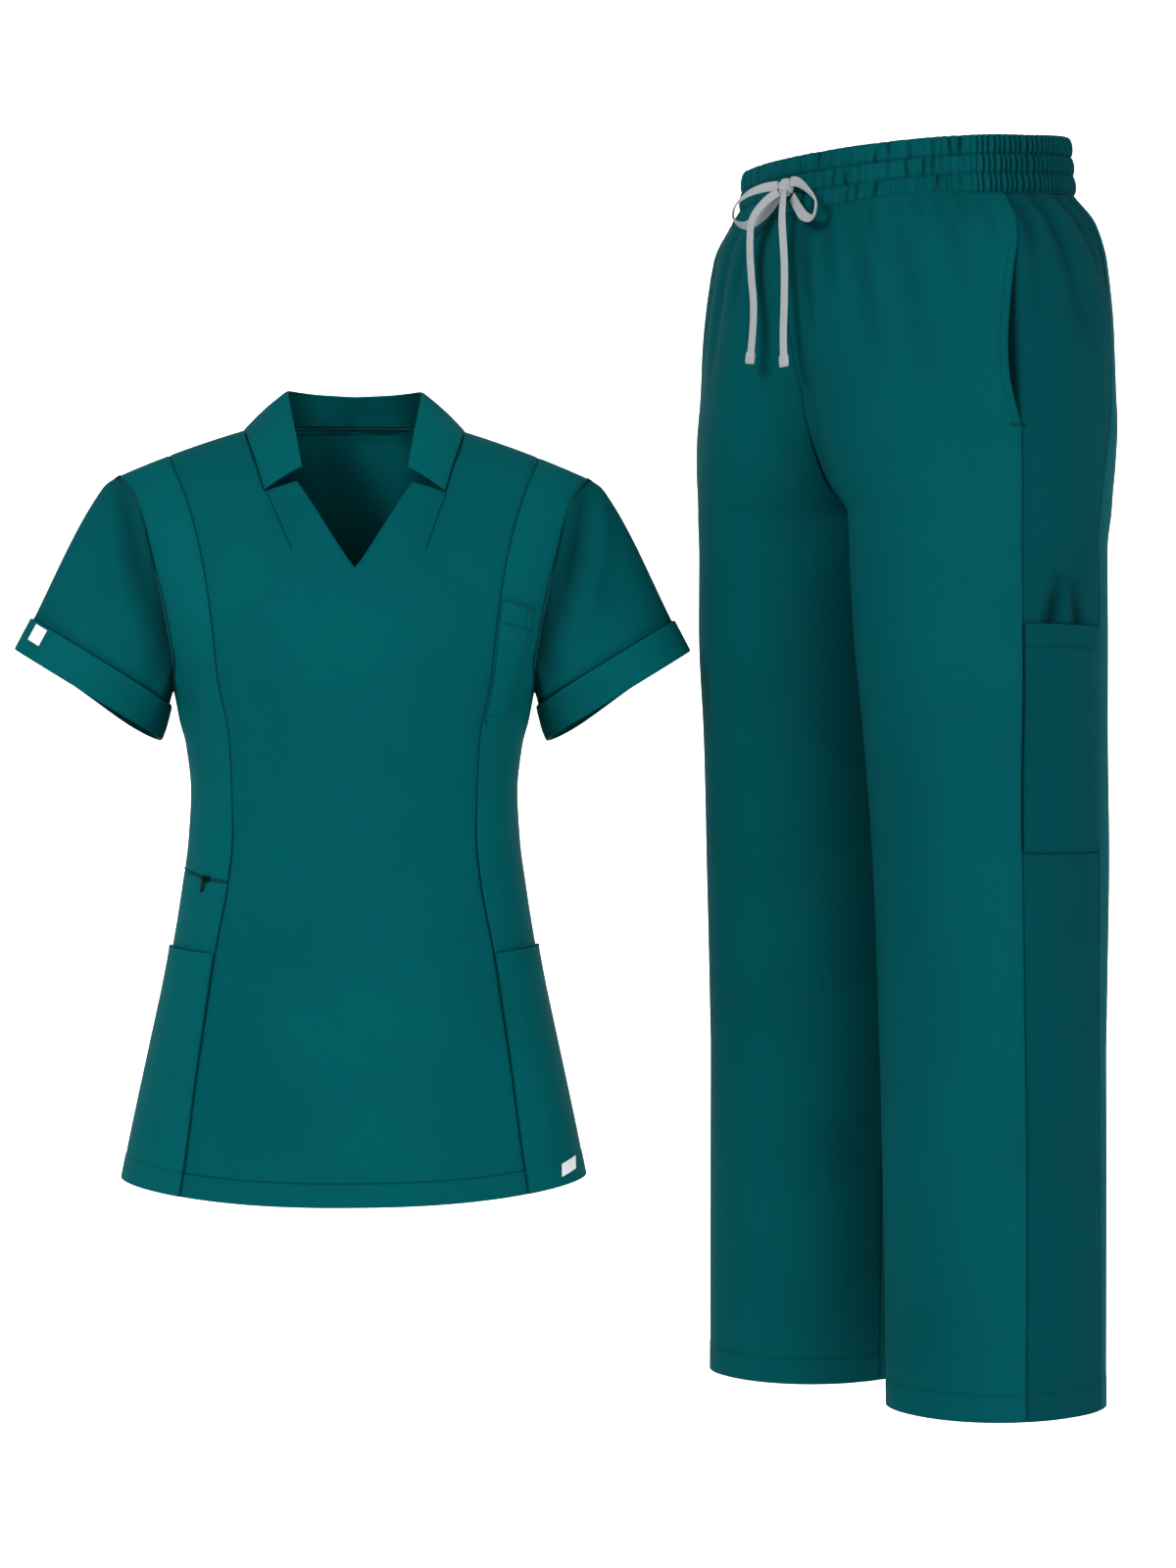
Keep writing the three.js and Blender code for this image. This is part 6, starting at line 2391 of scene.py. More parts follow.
LEG_SIDE_FOLDS = [
    Fold(((81, 196), (82, 150), (80, 60)), 6, -3.4, 0.5),
    Fold(((91, 196), (92, 140), (97, 55)), 7, -4.2, 0.5),
    Fold(((104, 196), (105, 150), (111, 98)), 7, -3.6, 0.42),
    Fold(((112, 194), (113, 150), (115, 92)), 6, -2.8, 0.3),
]
CARGO_GATHERS = [
    Fold(((91, -132), (88, -162), (88, -194)), 8, -2.8, 0.85),
    Fold(((100, -136), (103, -162), (103, -192)), 7, -2.6, 0.85),
    Fold(((95, -140), (96, -162), (96, -186)), 5, 1.6),
]
LEG_BACK_FOLDS = [
    Fold(((128, 186), (129, 130), (130, 86)), 8, -3.2, 0.22),
    Fold(((138, 186), (138, 155), (139, 120)), 5, -2.2, 0.24),
    Fold(((148, 186), (148, 130), (149, 66)), 9, -3.6, 0.22),
    Fold(((157, 186), (157, 155), (156, 118)), 5, -2.2, 0.24),
    Fold(((166, 186), (166, 140), (165, 86)), 8, -3.0, 0.22),
    Fold(((174, 186), (174, 155), (174, 124)), 5, -2.2, 0.24),
    Fold(((176, 30), (184, -20), (196, -70)), 16, -2.4, 0.14),
    Fold(((150, -60), (146, -250), (145, -500)), 30, 2.4),
]


@dataclass
class Legs:
    """Front, side and back panels of both trouser halves, with the cargo pocket."""

    workshop: Workshop
    mouth_open: float = 3.0
    mouth_drawn: float = 4.4
    mouth_under: float = 7.0
    mouth_depth: float = 7.0
    bag: float = 2.5
    hem_stitch: float = 21.0
    mouth_stitch_in: float = 6.5
    cargo_stitch: float = 17.0

    def mouth(self, v: np.ndarray) -> np.ndarray:
        """Find how open the slanted pocket is.

        Args:
            v: heights.

        Returns:
            The opening there, from 0 to 1.
        """
        rows = np.interp(-v, [-z for z in TROUSER_ROWS], range(len(TROUSER_ROWS)))
        t = (rows - MOUTH_TOP_ROW) / (MOUTH_LOW_ROW - MOUTH_TOP_ROW)
        return np.where((t > 0) & (t < 1), np.sin(np.pi * np.clip(t, 0, 1) ** 1.25) ** 0.8, 0.0)

    @staticmethod
    def on_own_side(points: np.ndarray) -> np.ndarray:
        """Hold points on the left half's side of the middle."""
        points[..., 0] = np.maximum(points[..., 0], SEAM_GAP / 2)
        return points

    def dressed(self, panel: Panel, folds: Sequence[Fold], lift: np.ndarray, shade: np.ndarray) -> Relief:
        """Return folds, the given relief and the turned-up hem with painted shade at its stitch line and edge, and
        painted shadow of the near leg on the far one; rows run downwards.

        Args:
            panel: the panel.
            folds: its folds.
            lift: further moves of its points.
            shade: further shade.

        Returns:
            The relief.
        """
        far = panel.far.top
        at_stitch = bell(far, self.hem_stitch, 0.8)
        step = 0.4 * (1 - smoothstep(far, self.hem_stitch - 1.3, self.hem_stitch + 0.5)) - 0.5 * at_stitch
        relief = panel.folded(folds)
        below = (1 - smoothstep(panel.grid.v, -60, 110)) * (0.3 + 0.7 * bell(panel.grid.v, -230, 150))
        # painted shadow: the far leg darkens beside the near leg and by the crotch
        between = 0.34 * smoothstep(-panel.grid.u, 24, 66) * below * (panel.grid.u < 60) * panel.mirror
        at_crotch = bell(panel.grid.v, -50, 75) * bell(panel.far.first, 0, 26)
        between += 0.4 * at_crotch * (panel.mirror * (panel.grid.u < 60))
        shaded = shade + 0.42 * bell(far, self.hem_stitch, 0.6) + 0.3 * bell(far, 0, 0.8) + between
        at_waist = 0.2 + 0.8 * smoothstep(panel.far.low, 0, 10)
        puff = PUFF * bell(panel.grid.u, *PUFF_SPREAD) * smoothstep(panel.grid.v, 122, 172)
        return Relief(relief.lift * at_waist + lift + step + puff, relief.shade + shaded)

    def front(self, side: str, mirror: bool) -> Panel:
        """Make a front panel, with the edge of its pocket mouth standing off.

        Args:
            side: left or right.
            mirror: whether it is the wearer's right.

        Returns:
            The panel.
        """
        shares = even_with_edges(46, 190, NEAR_LEG)

        def drawn(v: np.ndarray) -> np.ndarray:
            """Return where the panel ends, in degrees: drawn forward along the pocket mouth."""
            return TROUSERS.side_front(v) - self.mouth_drawn * self.mouth(v)

        grid = leg_grid(TROUSERS.inner_angle, drawn, shares, *LEG_ROWS)

        def relief(panel: Panel) -> Relief:
            """Shape folds, pocket mouth and hem, with painted shade along the mouth's stitching.

            Args:
                panel: the front.

            Returns:
                The relief.
            """
            near = np.clip(1 - panel.far.last / 45, 0, 1) ** 2.2
            mouth = self.mouth(panel.grid.v)
            stitch = 0.3 * bell(panel.far.last, self.mouth_stitch_in, 0.7) * (mouth > 0)
            return self.dressed(panel, LEG_FRONT_FOLDS, self.mouth_open * mouth * near - stitch, stitch)

        return Panel(
            f"trouser_front_{side}_cloth", TROUSERS.point, grid, TROUSERS.place, edges=LEG_EDGES,
            keep=self.on_own_side, mirror=mirror, relief=relief, seam_shade=0.35,
        )

    def side(self, side: str, mirror: bool) -> Panel:
        """Make a side panel, which runs on under the pocket mouth.

        Args:
            side: left or right.
            mirror: whether it is the wearer's right.

        Returns:
            The panel.
        """
        shares = even_with_edges(34, 95, NEAR_LEG)

        def under(v: np.ndarray) -> np.ndarray:
            """Return where the panel starts, in degrees."""
            return TROUSERS.side_front(v) - self.mouth_under * self.mouth(v)

        grid = leg_grid(under, TROUSERS.side_back, shares, *LEG_ROWS)

        def relief(panel: Panel) -> Relief:
            """Shape folds, the tuck under the mouth with painted shade in it, and the hem.

            Args:
                panel: the side panel.

            Returns:
                The relief.
            """
            mouth = self.mouth(panel.grid.v)
            seam = (panel.grid.u - TROUSERS.side_front(panel.grid.v)) * 2.4
            inside = 1 - smoothstep(seam, -7, 3)
            low, high = TROUSER_ROWS[MOUTH_LOW_ROW], TROUSER_ROWS[MOUTH_TOP_ROW]
            ends = smoothstep(panel.grid.v, low - 3, low + 5)
            ends = ends * (1 - smoothstep(panel.grid.v, high - 5, high + 4))
            tuck = -(2.3 + self.mouth_depth * mouth) * inside * ends
            folds = LEG_SIDE_FOLDS + ([] if mirror else CARGO_GATHERS)
            return self.dressed(panel, folds, tuck, 0.95 * inside * ends)

        return Panel(
            f"trouser_side_{side}_cloth", TROUSERS.point, grid, TROUSERS.place, edges=LEG_EDGES,
            mirror=mirror, relief=relief,
        )

    def back(self, side: str, mirror: bool) -> Panel:
        """Make a back panel.

        Args:
            side: left or right.
            mirror: whether it is the wearer's right.

        Returns:
            The panel.
        """
        shares = even_with_edges(46, 190, NEAR_LEG)
        grid = leg_grid(TROUSERS.side_back, lambda v: 180 - TROUSERS.inner_angle(v), shares, *LEG_ROWS)

        def relief(panel: Panel) -> Relief:
            """Return folds and hem."""
            return self.dressed(panel, LEG_BACK_FOLDS, 0 * panel.grid.u, 0 * panel.grid.u)

        return Panel(
            f"trouser_back_{side}_cloth", TROUSERS.point, grid, TROUSERS.place, edges=LEG_EDGES,
            keep=self.on_own_side, mirror=mirror, relief=relief,
        )

    @staticmethod
    def side_seam(panel: Panel) -> Line:
        """Return the seam between front and side below the pocket mouth."""
        rows = panel.grid.v[:, -1] < TROUSER_ROWS[MOUTH_LOW_ROW] - 2
        return Line(panel.sewn[rows, -1], panel.normals[rows, -1])

    def mouth_stitch(self, panel: Panel) -> Line:
        """Draw the topstitching along the pocket mouth.

        Args:
            panel: the front.

        Returns:
            The line.
        """
        line = panel.line_at(panel.far.last, self.mouth_stitch_in, False)
        heights = panel.grid.v[:, -1]
        rows = (heights < TROUSER_ROWS[MOUTH_TOP_ROW]) & (heights > TROUSER_ROWS[MOUTH_LOW_ROW])
        return Line(line.points[rows], line.normals[rows])

    def bar_tacks(self) -> None:
        """Sew the short bars that close the ends of the pocket mouths."""
        lines = []
        for flip in (np.ones(3), MIRROR):
            for shift in np.linspace(-1.2, 1.2, 4):
                v = np.full(9, float(TROUSER_ROWS[MOUTH_LOW_ROW]) + shift)
                u = TROUSERS.side_front(v) + np.linspace(-4.5, 1.5, 9)
                out = normals_of(TROUSERS.point, Grid(u, v))
                lines.append(Line((TROUSERS.point(u, v) + out * 0.1) * flip, out * flip))
        thread = Thread(1.1, 1.0, 0.5, 0.1)
        self.workshop.stitches("pocket_bar_tacks", lines, TROUSERS.place, Slot.CLOTH_DARK, thread)

    def cargo(self) -> None:
        """Make the cargo pocket on the left side panel."""
        shares = even_with_edges(30, 95, NEAR)
        high, low = TROUSER_ROWS[CARGO_TOP_ROW], TROUSER_ROWS[CARGO_LOW_ROW]
        grid = leg_grid(TROUSERS.side_front, TROUSERS.side_back, shares, high, low, 60)

        def relief(panel: Panel) -> Relief:
            """Shape the pocket's bag, its mouth fold and the stitched channel under it, with painted shade in the
            channel.

            Args:
                panel: the pocket.

            Returns:
                The relief.
            """
            share = panel.far.first / np.maximum(panel.far.first[:, -1:], 1e-6)
            bottom = smoothstep(panel.far.top, 0, 26)
            bag = self.bag * np.sin(np.pi * np.clip(share, 0, 1)) * mix(0.2, 1.0, bottom)
            stitch = bell(panel.far.low, self.cargo_stitch, 0.8)
            lift = bag + 0.4 * bell(panel.far.low, 0, 2.2) - 0.4 * stitch
            return Relief(lift, 0.4 * stitch)

        panel = Panel(
            "cargo_pocket_cloth", TROUSERS.point, grid, TROUSERS.place, outer=SEAM_GAP + CLOTH, inner=SEAM_GAP,
            edges=Edges(low=Edge.OPEN, top=Edge.OPEN), relief=relief, roll=0.3,
        )
        # painted shade: the darker turned copy of the cloth
        self.workshop.hang(panel, self.workshop.finishes.turned, Slot.CLOTH_DARK, "cargo_pocket")
        rows = ((panel.far.low, self.cargo_stitch), (panel.far.top, 1.8))
        lines = [panel.line_at(far, at, True) for far, at in rows]
        self.workshop.stitches("cargo_pocket_stitches", lines, TROUSERS.place, Slot.CLOTH_DARK)
        # painted shadow: dark lines under the pocket's edges
        under = [panel.edge(which).sunk(1.0) for which in ("first", "last", "low", "top")]
        self.workshop.seams("cargo_pocket_edge_shadows", under, TROUSERS.place, Slot.CLOTH_DARK, 0.8)

    def build(self) -> None:
        """Make all panels with their hem stitching and seams."""
        finishes = self.workshop.finishes
        lines, seams = [], []
        for mirror, side in ((False, "left"), (True, "right")):
            # painted shade: fronts and backs wear the dark copy of the cloth, the sides the darker turned copy
            for make, slot, finish, node in (
                (self.front, Slot.CLOTH_FRONT, finishes.dark, "trouser_front"),
                (self.side, Slot.CLOTH_DARK, finishes.turned, "trouser_side"),
                (self.back, Slot.CLOTH_FRONT, finishes.dark, "trouser_back"),
            ):
                panel = make(side, mirror)
                self.workshop.hang(panel, finish, slot, f"{node}_{side}")
                lines.append(panel.line_at(panel.far.top, self.hem_stitch, True))
                if make == self.front:
                    seams.append(self.side_seam(panel))
                    lines.append(self.mouth_stitch(panel))
                else:
                    seams.append(panel.edge("last"))
        self.workshop.stitches("trouser_hem_stitches", lines, TROUSERS.place, Slot.CLOTH_FRONT)
        self.workshop.seams("trouser_seams", seams, TROUSERS.place, Slot.CLOTH_FRONT, 0.36)
        self.bar_tacks()
        self.cargo()


class Gather(NamedTuple):
    """A wrinkle of the waistband's front: where, in degrees, how wide, how deep and how shaded."""

    at: float
    width: float
    depth: float
    shade: float


# How far the cloth stands out under the waistband, and where, in degrees, as (middle, half width)
PUFF = 7.0
PUFF_SPREAD = (40, 22)
FRONT_GATHERS = [
    Gather(-64, 2.0, 1.3, 0.5), Gather(-57, 2.4, 1.2, 0.4), Gather(-51, 1.6, 1.0, 0.5), Gather(-45, 2.2, 1.3, 0.45),
    Gather(-38, 1.6, 0.9, 0.35), Gather(-31, 2.2, 1.2, 0.45), Gather(-25, 1.5, 0.8, 0.3), Gather(-18, 2.0, 1.0, 0.4),
    Gather(-10, 1.6, 0.8, 0.35), Gather(-3, 2.2, 1.0, 0.4), Gather(4, 1.5, 0.9, 0.45), Gather(10, 2.2, 1.2, 0.4),
    Gather(16, 1.5, 0.8, 0.3), Gather(22, 2.2, 1.3, 0.5), Gather(27, 1.4, 0.7, 0.35), Gather(33, 2.2, 1.3, 0.45),
    Gather(38, 1.5, 0.9, 0.5), Gather(44, 2.2, 1.2, 0.4), Gather(49, 1.4, 0.9, 0.4), Gather(54, 2.2, 1.3, 0.5),
    Gather(59, 1.5, 1.0, 0.4), Gather(64, 2.0, 1.2, 0.5),
]


@dataclass
class Waistband:
    """Elastic waistband in three shirred tiers."""

    workshop: Workshop
    thickness: float = 2.4
    crown: float = 2.0
    shirring_from: float = 69
    ribs: int = 96
    rib_depth: float = 2.3
    pleat_pitch: float = 3.4
    pleat_depth: float = 0.95
    tier_height: float = 15.3
    groove_half: float = 1.1
    shaded_to: float = 45.2

    def wrinkles(self, turn: np.ndarray, tier: np.ndarray) -> Relief:
        """Shape the front's wrinkles, each a sharp crease in a broad trough, shifted in each tier, with painted
        shade in them.

        Args:
            turn: degrees from the middle of the front.
            tier: from 0 at the band's bottom to 3 at its top.

        Returns:
            The relief.
        """
        lift, shade = np.zeros_like(turn), np.zeros_like(turn)
        within = tier - np.floor(tier)
        for index, gather in enumerate(FRONT_GATHERS):
            for level in range(3):
                here = np.floor(tier) == level
                at = gather.at + 0.9 * math.sin(index * 2.1 + level * 1.7)
                strength = 0.65 + 0.45 * math.cos(index * 1.3 + level * 2.3)
                lean = 0.9 * math.sin(index * 1.9 + level) * (within - 0.5)
                rise = math.sin(index * 2.7 + level * 1.1)
                reach = np.clip(1.25 - np.abs(within - 0.5 - 0.4 * rise) * 1.5, 0, 1) ** 0.8
                sharp = bell(turn + lean, at, 0.28 * gather.width) * here * reach * strength
                broad = bell(turn + lean, at + 0.3, 1.1 * gather.width) * here * strength
                lift -= gather.depth * (0.7 * sharp + 0.9 * broad)
                shade += gather.shade * (1.5 * sharp + 0.3 * broad)
        wander = 1.3 * np.sin(turn * 0.23 + 0.6) + 0.5 * np.sin(turn * 0.61 + np.floor(tier))
        pleats = np.sin(turn * 2 * np.pi / self.pleat_pitch + wander)
        crowd = 0.3 + 0.5 * smoothstep(np.abs(turn), 44, 62)
        crowd = crowd + 0.25 * np.sin(turn * 0.17 + np.floor(tier) * 1.9) ** 2
        lift += self.pleat_depth * crowd * (pleats - 0.4 * np.cos(2 * turn + wander))
        shade += 0.5 * crowd * np.clip(-pleats - 0.25, 0, 1) ** 1.5
        return Relief(lift, shade)

    def relief(self, panel: Panel) -> Relief:
        """Shape tiers, front wrinkles and dense shirring, with painted shade in grooves, wrinkles and rib troughs
        and on the band's side.

        Args:
            panel: the waistband.

        Returns:
            The relief.
        """
        u, v = panel.grid.u, panel.grid.v
        tier = np.clip(v / TROUSERS.band_depth * 3, 0, 2.999)
        within = tier - np.floor(tier)
        swell = np.sin(np.pi * within) ** 0.5
        turn = np.where(u > 180, u - 360, u)
        front = self.wrinkles(turn, tier)
        dense = smoothstep(np.abs(turn), self.shirring_from - 3, self.shirring_from + 3)
        phase = (np.abs(turn) - self.shirring_from) / (360 - 2 * self.shirring_from) * self.ribs * 2 * np.pi
        uneven = 0.7 * np.sin(turn * 0.9 + np.floor(tier) * 2.0) + 0.5 * np.sin(turn * 0.37 + 1.0)
        rib = np.cos(phase + uneven)
        shirring = self.rib_depth / 2 * (1.1 * rib - 0.3 * np.cos(2 * (phase + uneven))) * (0.5 + 0.5 * swell)
        lift = self.crown * (swell - 0.4) + (1 - dense) * front.lift * (0.6 + 0.4 * swell) + dense * shirring
        lift += PUFF * bell(np.abs(turn), *PUFF_SPREAD) * (1 - smoothstep(v, -4, 15))
        groove = bell(np.minimum(within, 1 - within) * self.tier_height, 0, self.groove_half)
        trough = np.clip(-rib - 0.2, 0, 1) ** 2
        shade = 0.3 * groove + (1 - dense) * front.shade + dense * 1.1 * trough
        # painted shade: the band's side, turned from the light, is darker
        shade += 0.42 * smoothstep(turn, 62, 96) * smoothstep(-turn, -175, -150)
        return Relief(lift, np.where(v > self.shaded_to, 0.0, shade))

    def build(self) -> None:
        """Make the waistband."""
        around = np.linspace(0, 360, 1321)[:-1]
        top = TROUSERS.band_depth
        heights = np.concatenate([[SEAM_GAP], np.linspace(1.0, top - 0.5, 34), [top]])
        v, u = np.meshgrid(heights, around, indexing="ij")
        # painted shade on the band's inside; the band wears the dark copy of the cloth
        panel = Panel(
            "waistband_cloth", TROUSERS.band_point, Grid(u, v), TROUSERS.place, inner=-self.thickness,
            edges=ALL_OPEN, ring=True, relief=self.relief, lining=lambda panel: 0 * panel.grid.u + 0.5,
        )
        self.workshop.hang(panel, self.workshop.finishes.dark, Slot.CLOTH_DARK, "waistband", "gathered")
        rows = [int(np.argmin(np.abs(heights - top * share))) for share in (1 / 3, 2 / 3)]
        lines = [Line(panel.outside[row], panel.normals[row]) for row in rows]
        thread = Thread(2.6, 2.0, 0.4, 0.1)
        self.workshop.stitches("waistband_stitches", lines, TROUSERS.place, Slot.CLOTH_DARK, thread)
        joint = SeamCord(0.75, 0.75).laid("waistband_seam", [panel.edge("low")], TROUSERS.place)
        self.workshop.dress(joint, self.workshop.finishes.thread, Slot.CLOTH_DARK)


# Drawstring routes by the wearer's side, in the trousers' frame
KNOT_MIDDLE = (1.0, -127.6, 185.0)
LOOP_RIGHT = [
    (-6.7, -129, 187.2), (-17, -136, 186), (-28.5, -143, 181.4), (-38, -147.5, 172.6), (-41.5, -145, 163.2),
    (-35, -138.5, 158.4), (-20.5, -131, 167), (-7.1, -125.7, 180.8),
]
LOOP_LEFT = [
    (8.8, -129, 188.2), (22, -134, 186), (39, -138.5, 177.5), (51, -140.5, 165.5), (46, -139, 154.5),
    (31, -134.5, 157.5), (17, -129, 167), (6.9, -125.8, 176.8),
]
TAIL_RIGHT = [
    (-3.8, -131.4, 181.6), (-11.5, -137.6, 174.8), (-20.5, -143.5, 161.5), (-22.7, -144.5, 144),
    (-21.5, -144, 115.5), (-19.5, -143.5, 95), (-20, -143.5, 76), (-23.9, -143.5, 46.4),
]
TAIL_LEFT = [
    (4, -132.2, 180.9), (9.2, -137.8, 171.8), (13.5, -142.5, 157), (17.8, -144, 123), (17.3, -143.5, 93.4),
    (16.1, -143.5, 62), (17.3, -143.5, 40.2),
]


def smooth_route(points: Sequence[tuple], count: int) -> np.ndarray:
    """Return even points of the smooth curve through a route's points.

    Args:
        points: the route.
        count: how many points to return.

    Returns:
        The points, evenly spaced along the curve.
    """
    p = np.array(points, float)
    p = np.vstack([2 * p[0] - p[1], p, 2 * p[-1] - p[-2]])
    fine = []
    for i in range(1, len(p) - 2):
        t = np.linspace(0, 1, 24, endpoint=False)[:, None]
        d1 = np.linalg.norm(p[i] - p[i - 1]) ** 0.5
        d2 = np.linalg.norm(p[i + 1] - p[i]) ** 0.5
        d3 = np.linalg.norm(p[i + 2] - p[i + 1]) ** 0.5
        m1 = (p[i + 1] - p[i] + d2 * ((p[i] - p[i - 1]) / d1 - (p[i + 1] - p[i - 1]) / (d1 + d2)))
        m2 = (p[i + 1] - p[i] + d2 * ((p[i + 2] - p[i + 1]) / d3 - (p[i + 2] - p[i]) / (d2 + d3)))
        fine.append(
            (2 * t**3 - 3 * t**2 + 1) * p[i] + (t**3 - 2 * t**2 + t) * m1 + (3 * t**2 - 2 * t**3) * p[i + 1]
            + (t**3 - t**2) * m2
        )
    curve = np.vstack(fine + [p[-2:-1]])
    at = distance_along(curve)
    even = np.linspace(0, at[-1], count)
    return np.stack([np.interp(even, at, curve[:, k]) for k in range(3)], 1)


@dataclass
class Drawstring:
    """Flat tape tied in a bow."""

    workshop: Workshop
    width: float = 8.0
    thickness: float = 1.7
    loop_twist: float = 48.0

    def tape(self, name: str, route: Sequence[tuple], node: str, far_end: str, tab: bool) -> None:
        """Make one stretch of tape.

        Args:
            name: the piece's name.
            route: its points.
            node: the CAD node that it stands for.
            far_end: not used.
            tab: whether it ends in a stitched tab.
        """
        line = smooth_route(route, 90)
        ways = np.gradient(line, axis=0)
        ways /= np.linalg.norm(ways, axis=1, keepdims=True)
        facing = np.array([0.0, -1.0, 0.0])
        out = facing - (ways @ facing)[:, None] * ways
        out /= np.linalg.norm(out, axis=1, keepdims=True)
        side = np.cross(ways, out)
        if not tab:
            lean = np.radians(self.loop_twist) * np.sin(np.pi * np.linspace(0, 1, len(line)))[:, None] ** 1.5
            out, side = out * np.cos(lean) + side * np.sin(lean), side * np.cos(lean) - out * np.sin(lean)
        turns = np.linspace(0, 2 * np.pi, 17)[:-1]
        wide = signed_power(np.cos(turns), 0.55) * self.width / 2
        thick = signed_power(np.sin(turns), 0.75) * self.thickness / 2
        cup = 0.25 * (np.abs(wide) / (self.width / 2)) ** 2
        widths = np.ones(len(line))
        if tab:
            at = distance_along(line)
            end = at[-1]
            widths = 1 + 0.3 * smoothstep(at, end - 9.8, end - 8.8) - 0.12 * smoothstep(at, end - 1.2, end)
        ring = (
            line[:, None] + side[:, None] * (wide[None, :] * widths[:, None])[..., None]
            + out[:, None] * ((thick + cup)[None, :] * (1 + 2.4 * (widths[:, None] - 1)))[..., None]
        )
        rows, columns = ring.shape[:2]
        points = np.concatenate([ring.reshape(-1, 3), line[:1], line[-1:]])
        obj = tape_object(name, TROUSERS.place(points), rows, columns)
        self.workshop.dress(obj, self.workshop.finishes.tape, Slot.GREY_TAPE, [node])
        length = float(np.linalg.norm(np.diff(line, axis=0), axis=1).sum()) * MM
        path = TROUSERS.place(line[np.linspace(0, len(line) - 1, 31).astype(int)])
        with_pieces = [self.tab_stitches(name, line, side, out)] if tab else []
        log.info("%s is %.3f m long", name, length)

    def tab_stitches(self, name: str, line: np.ndarray, side: np.ndarray, out: np.ndarray) -> bpy.types.Object:
        """Sew two rows of stitches across a tape's end.

        Args:
            name: the tape's name.
            line: its middle line.
            side: the ways across it.
            out: the ways out of its face.

        Returns:
            The stitches.
        """
        at = distance_along(line)
        lines = []
        for back in (1.8, 8.0):
            i = int(np.argmin(np.abs(at - (at[-1] - back))))
            shares = np.linspace(-0.42, 0.42, 8)[:, None] * self.width
            points = line[i] + side[i] * shares + out[i] * (self.thickness * 0.62)
            lines.append(Line(points, np.repeat(out[i][None], 8, axis=0)))
        obj = Thread(1.5, 1.1, 0.35, 0.0).sewn(name + "_stitches", lines, TROUSERS.place)
        return self.workshop.dress(obj, self.workshop.finishes.tape_thread, Slot.GREY_TAPE)

    def knot(self) -> None:
        """Make the knot: the tape wrapped over itself, with a crease where it crosses."""
        around, down = np.meshgrid(np.linspace(0, 360, 73)[:-1], np.linspace(-90, 90, 37)[1:-1])
        turn, climb = np.radians(around), np.radians(down)
        across = signed_power(np.cos(climb), 0.8) * np.cos(turn)
        depth = signed_power(np.cos(climb), 0.8) * np.sin(turn)
        height = signed_power(np.sin(climb), 0.8)
        lean = height + 0.45 * across
        groove = 0.16 * bell(lean, 0.52, 0.12) + 0.16 * bell(lean, -0.5, 0.12) + 0.08 * bell(lean, 0.0, 0.08)
        size = (1 - groove) * (1 + 0.05 * np.cos(3 * lean))
        points = np.stack([across * size * 7.3, depth * size * 5.0, height * size * 7.6], -1)
        points = points + np.array(KNOT_MIDDLE)
        rows, columns = points.shape[:2]
        ends = np.array(KNOT_MIDDLE) + np.array([[0, 0, -7.3], [0, 0, 7.3]])
        whole = np.concatenate([points.reshape(-1, 3), ends])
        obj = tape_object("bow_knot", TROUSERS.place(whole), rows, columns)
        self.workshop.dress(obj, self.workshop.finishes.tape, Slot.GREY_TAPE, ["drawstring_knot"])

    def build(self) -> None:
        """Make the bow."""
        self.knot()
        self.tape("bow_loop_right", LOOP_RIGHT, "drawstring_loop_right", "object", False)
        self.tape("bow_loop_left", LOOP_LEFT, "drawstring_loop_left", "object", False)
        self.tape("bow_tail_right", TAIL_RIGHT, "drawstring_tail_right", "bare", True)
        self.tape("bow_tail_left", TAIL_LEFT, "drawstring_tail_left", "bare", True)


def tape_object(name: str, points: np.ndarray, rows: int, columns: int) -> bpy.types.Object:
    """Make a mesh of rings, closed by fans at both ends.

    Args:
        name: its name.
        points: the rings' points, then the middle of each end.
        rows: how many rings.
        columns: how many points are in a ring.

    Returns:
        The object.
    """
    around, last = [(c, (c + 1) % columns) for c in range(columns)], (rows - 1) * columns
    faces = [
        [r + c, r + n, r + columns + n, r + columns + c] for r in range(0, last, columns) for c, n in around
    ]
    for c, n in around:
        faces += [[rows * columns, n, c], [rows * columns + 1, last + c, last + n]]
    mesh = bpy.data.meshes.new(name)
    mesh.from_pydata(points.tolist(), [], faces)
    mesh.polygons.foreach_set("use_smooth", [True] * len(mesh.polygons))
    obj = linked(name, mesh)
    only(obj)
    bpy.ops.object.mode_set(mode="EDIT")
    bpy.ops.mesh.select_all(action="SELECT")
    bpy.ops.mesh.normals_make_consistent(inside=False)
    bpy.ops.object.mode_set(mode="OBJECT")
    bpy.ops.object.shade_smooth_by_angle(angle=math.radians(50))
    return obj


# ---- studio ----


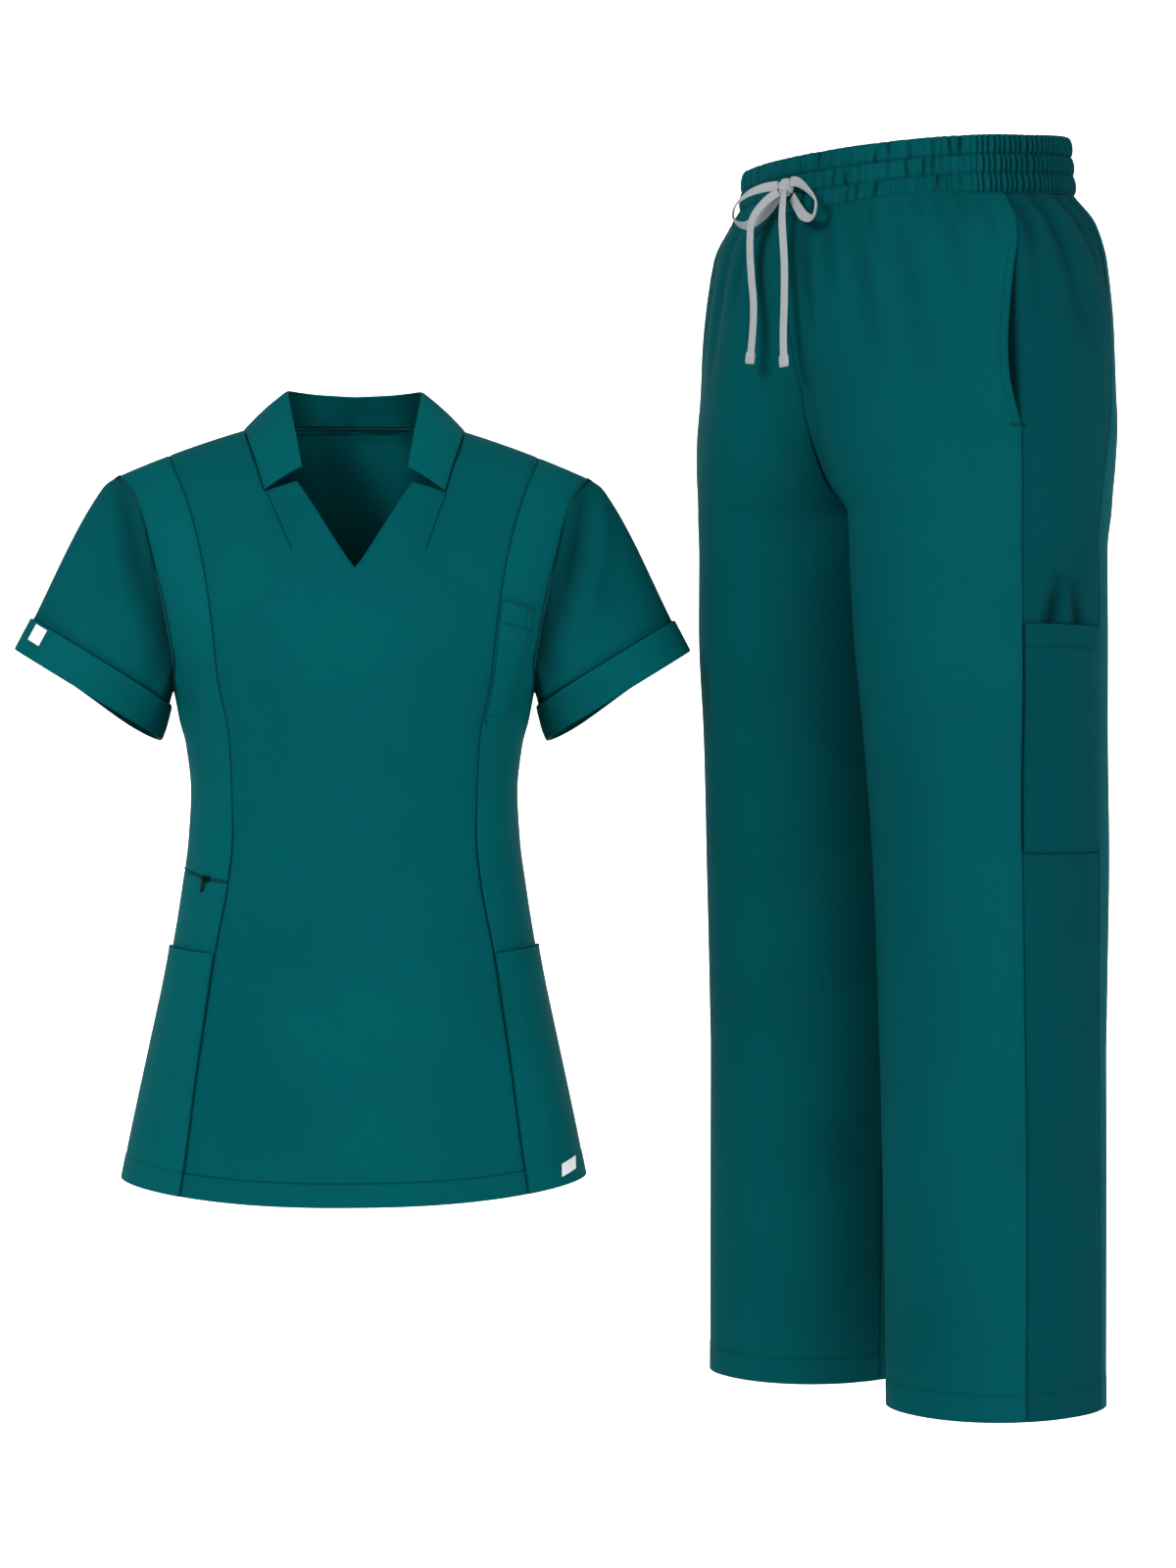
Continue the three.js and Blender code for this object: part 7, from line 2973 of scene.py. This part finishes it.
@dataclass
class Studio:
    """Camera, pale floor and soft light."""

    distance: float = 2.8
    aim_x: float = 0.1904
    aim_z: float = -0.288
    lens: float = 78.75

    def camera(self) -> None:
        """Place the camera level, straight in front."""
        data = bpy.data.cameras.new("camera")
        data.lens = self.lens
        data.sensor_width = 36
        data.clip_end = 50
        camera = linked("camera", data)
        camera.location = (self.aim_x, -self.distance, self.aim_z)
        camera.rotation_euler = (math.pi / 2, 0, 0)
        bpy.context.scene.camera = camera

    def stage(self) -> None:
        """Make the pale floor that curves up into a backdrop."""
        bend = np.linspace(0.1, np.pi / 2, 12)
        depth = np.concatenate([np.linspace(-9, 5.2, 12), 5.2 + 3 * np.sin(bend), [8.2]])
        height = np.concatenate([np.full(12, -1.35), 1.65 - 3 * np.cos(bend), [9.0]])
        width = np.linspace(-12, 12, 5)
        points = np.array([(x, y, z) for y, z in zip(depth, height) for x in width])
        mesh = bpy.data.meshes.new("floor")
        mesh.from_pydata(points.tolist(), [], grid_faces(len(depth), len(width), len(width) - 1).tolist())
        floor = linked("floor", mesh)
        material = PlainFinish("pale_floor", (255, 255, 255), (252, 252, 252), 3.0, 0.9).material()
        mesh.materials.append(material)

    def lights(self) -> None:
        """Hang a soft key, a fill and two lights for the backdrop, under an even sky."""
        world = bpy.data.worlds.new("studio")
        world.use_nodes = True
        background = world.node_tree.nodes["Background"]
        background.inputs["Color"].default_value = (1.0, 1.0, 1.0, 1.0)
        background.inputs["Strength"].default_value = 0.46
        bpy.context.scene.world = world
        for name, place, aim, size, power in (
            ("key_light", (-2.0, -3.1, 1.7), (0.2, 0, -0.3), 1.2, 94),
            ("fill_light", (3.0, -2.3, 0.2), (0.2, 0, -0.3), 2.0, 55),
            ("backdrop_light_left", (-3.0, 3.4, 1.5), (-1.0, 8.2, -0.3), 3.0, 330),
            ("backdrop_light_right", (3.4, 3.4, 1.5), (1.4, 8.2, -0.3), 3.0, 330),
        ):
            data = bpy.data.lights.new(name, "AREA")
            data.size = size
            data.energy = power
            light = linked(name, data)
            light.location = place
            light.rotation_euler = (Vector(aim) - Vector(place)).to_track_quat("-Z", "Y").to_euler()
        bpy.context.scene.view_settings.view_transform = "Standard"

    def build(self) -> None:
        """Set the studio up."""
        self.camera()
        self.stage()
        self.lights()


def main() -> None:
    """Build the set, piece by piece."""
    logging.basicConfig(level=logging.INFO, format="%(name)s %(message)s")
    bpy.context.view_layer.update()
    Studio().build()
    workshop = Workshop(Finishes.made())
    Drawstring(workshop).build()
    TunicBody(workshop).build()
    TunicPockets(workshop).build()
    Collar(workshop).build()
    sleeves = Sleeves(workshop)
    sleeves.build()
    Labels(workshop, sleeves).build()
    Zip(workshop).build()
    Legs(workshop).build()
    Waistband(workshop).build()


if __name__ == "__main__":
    main()
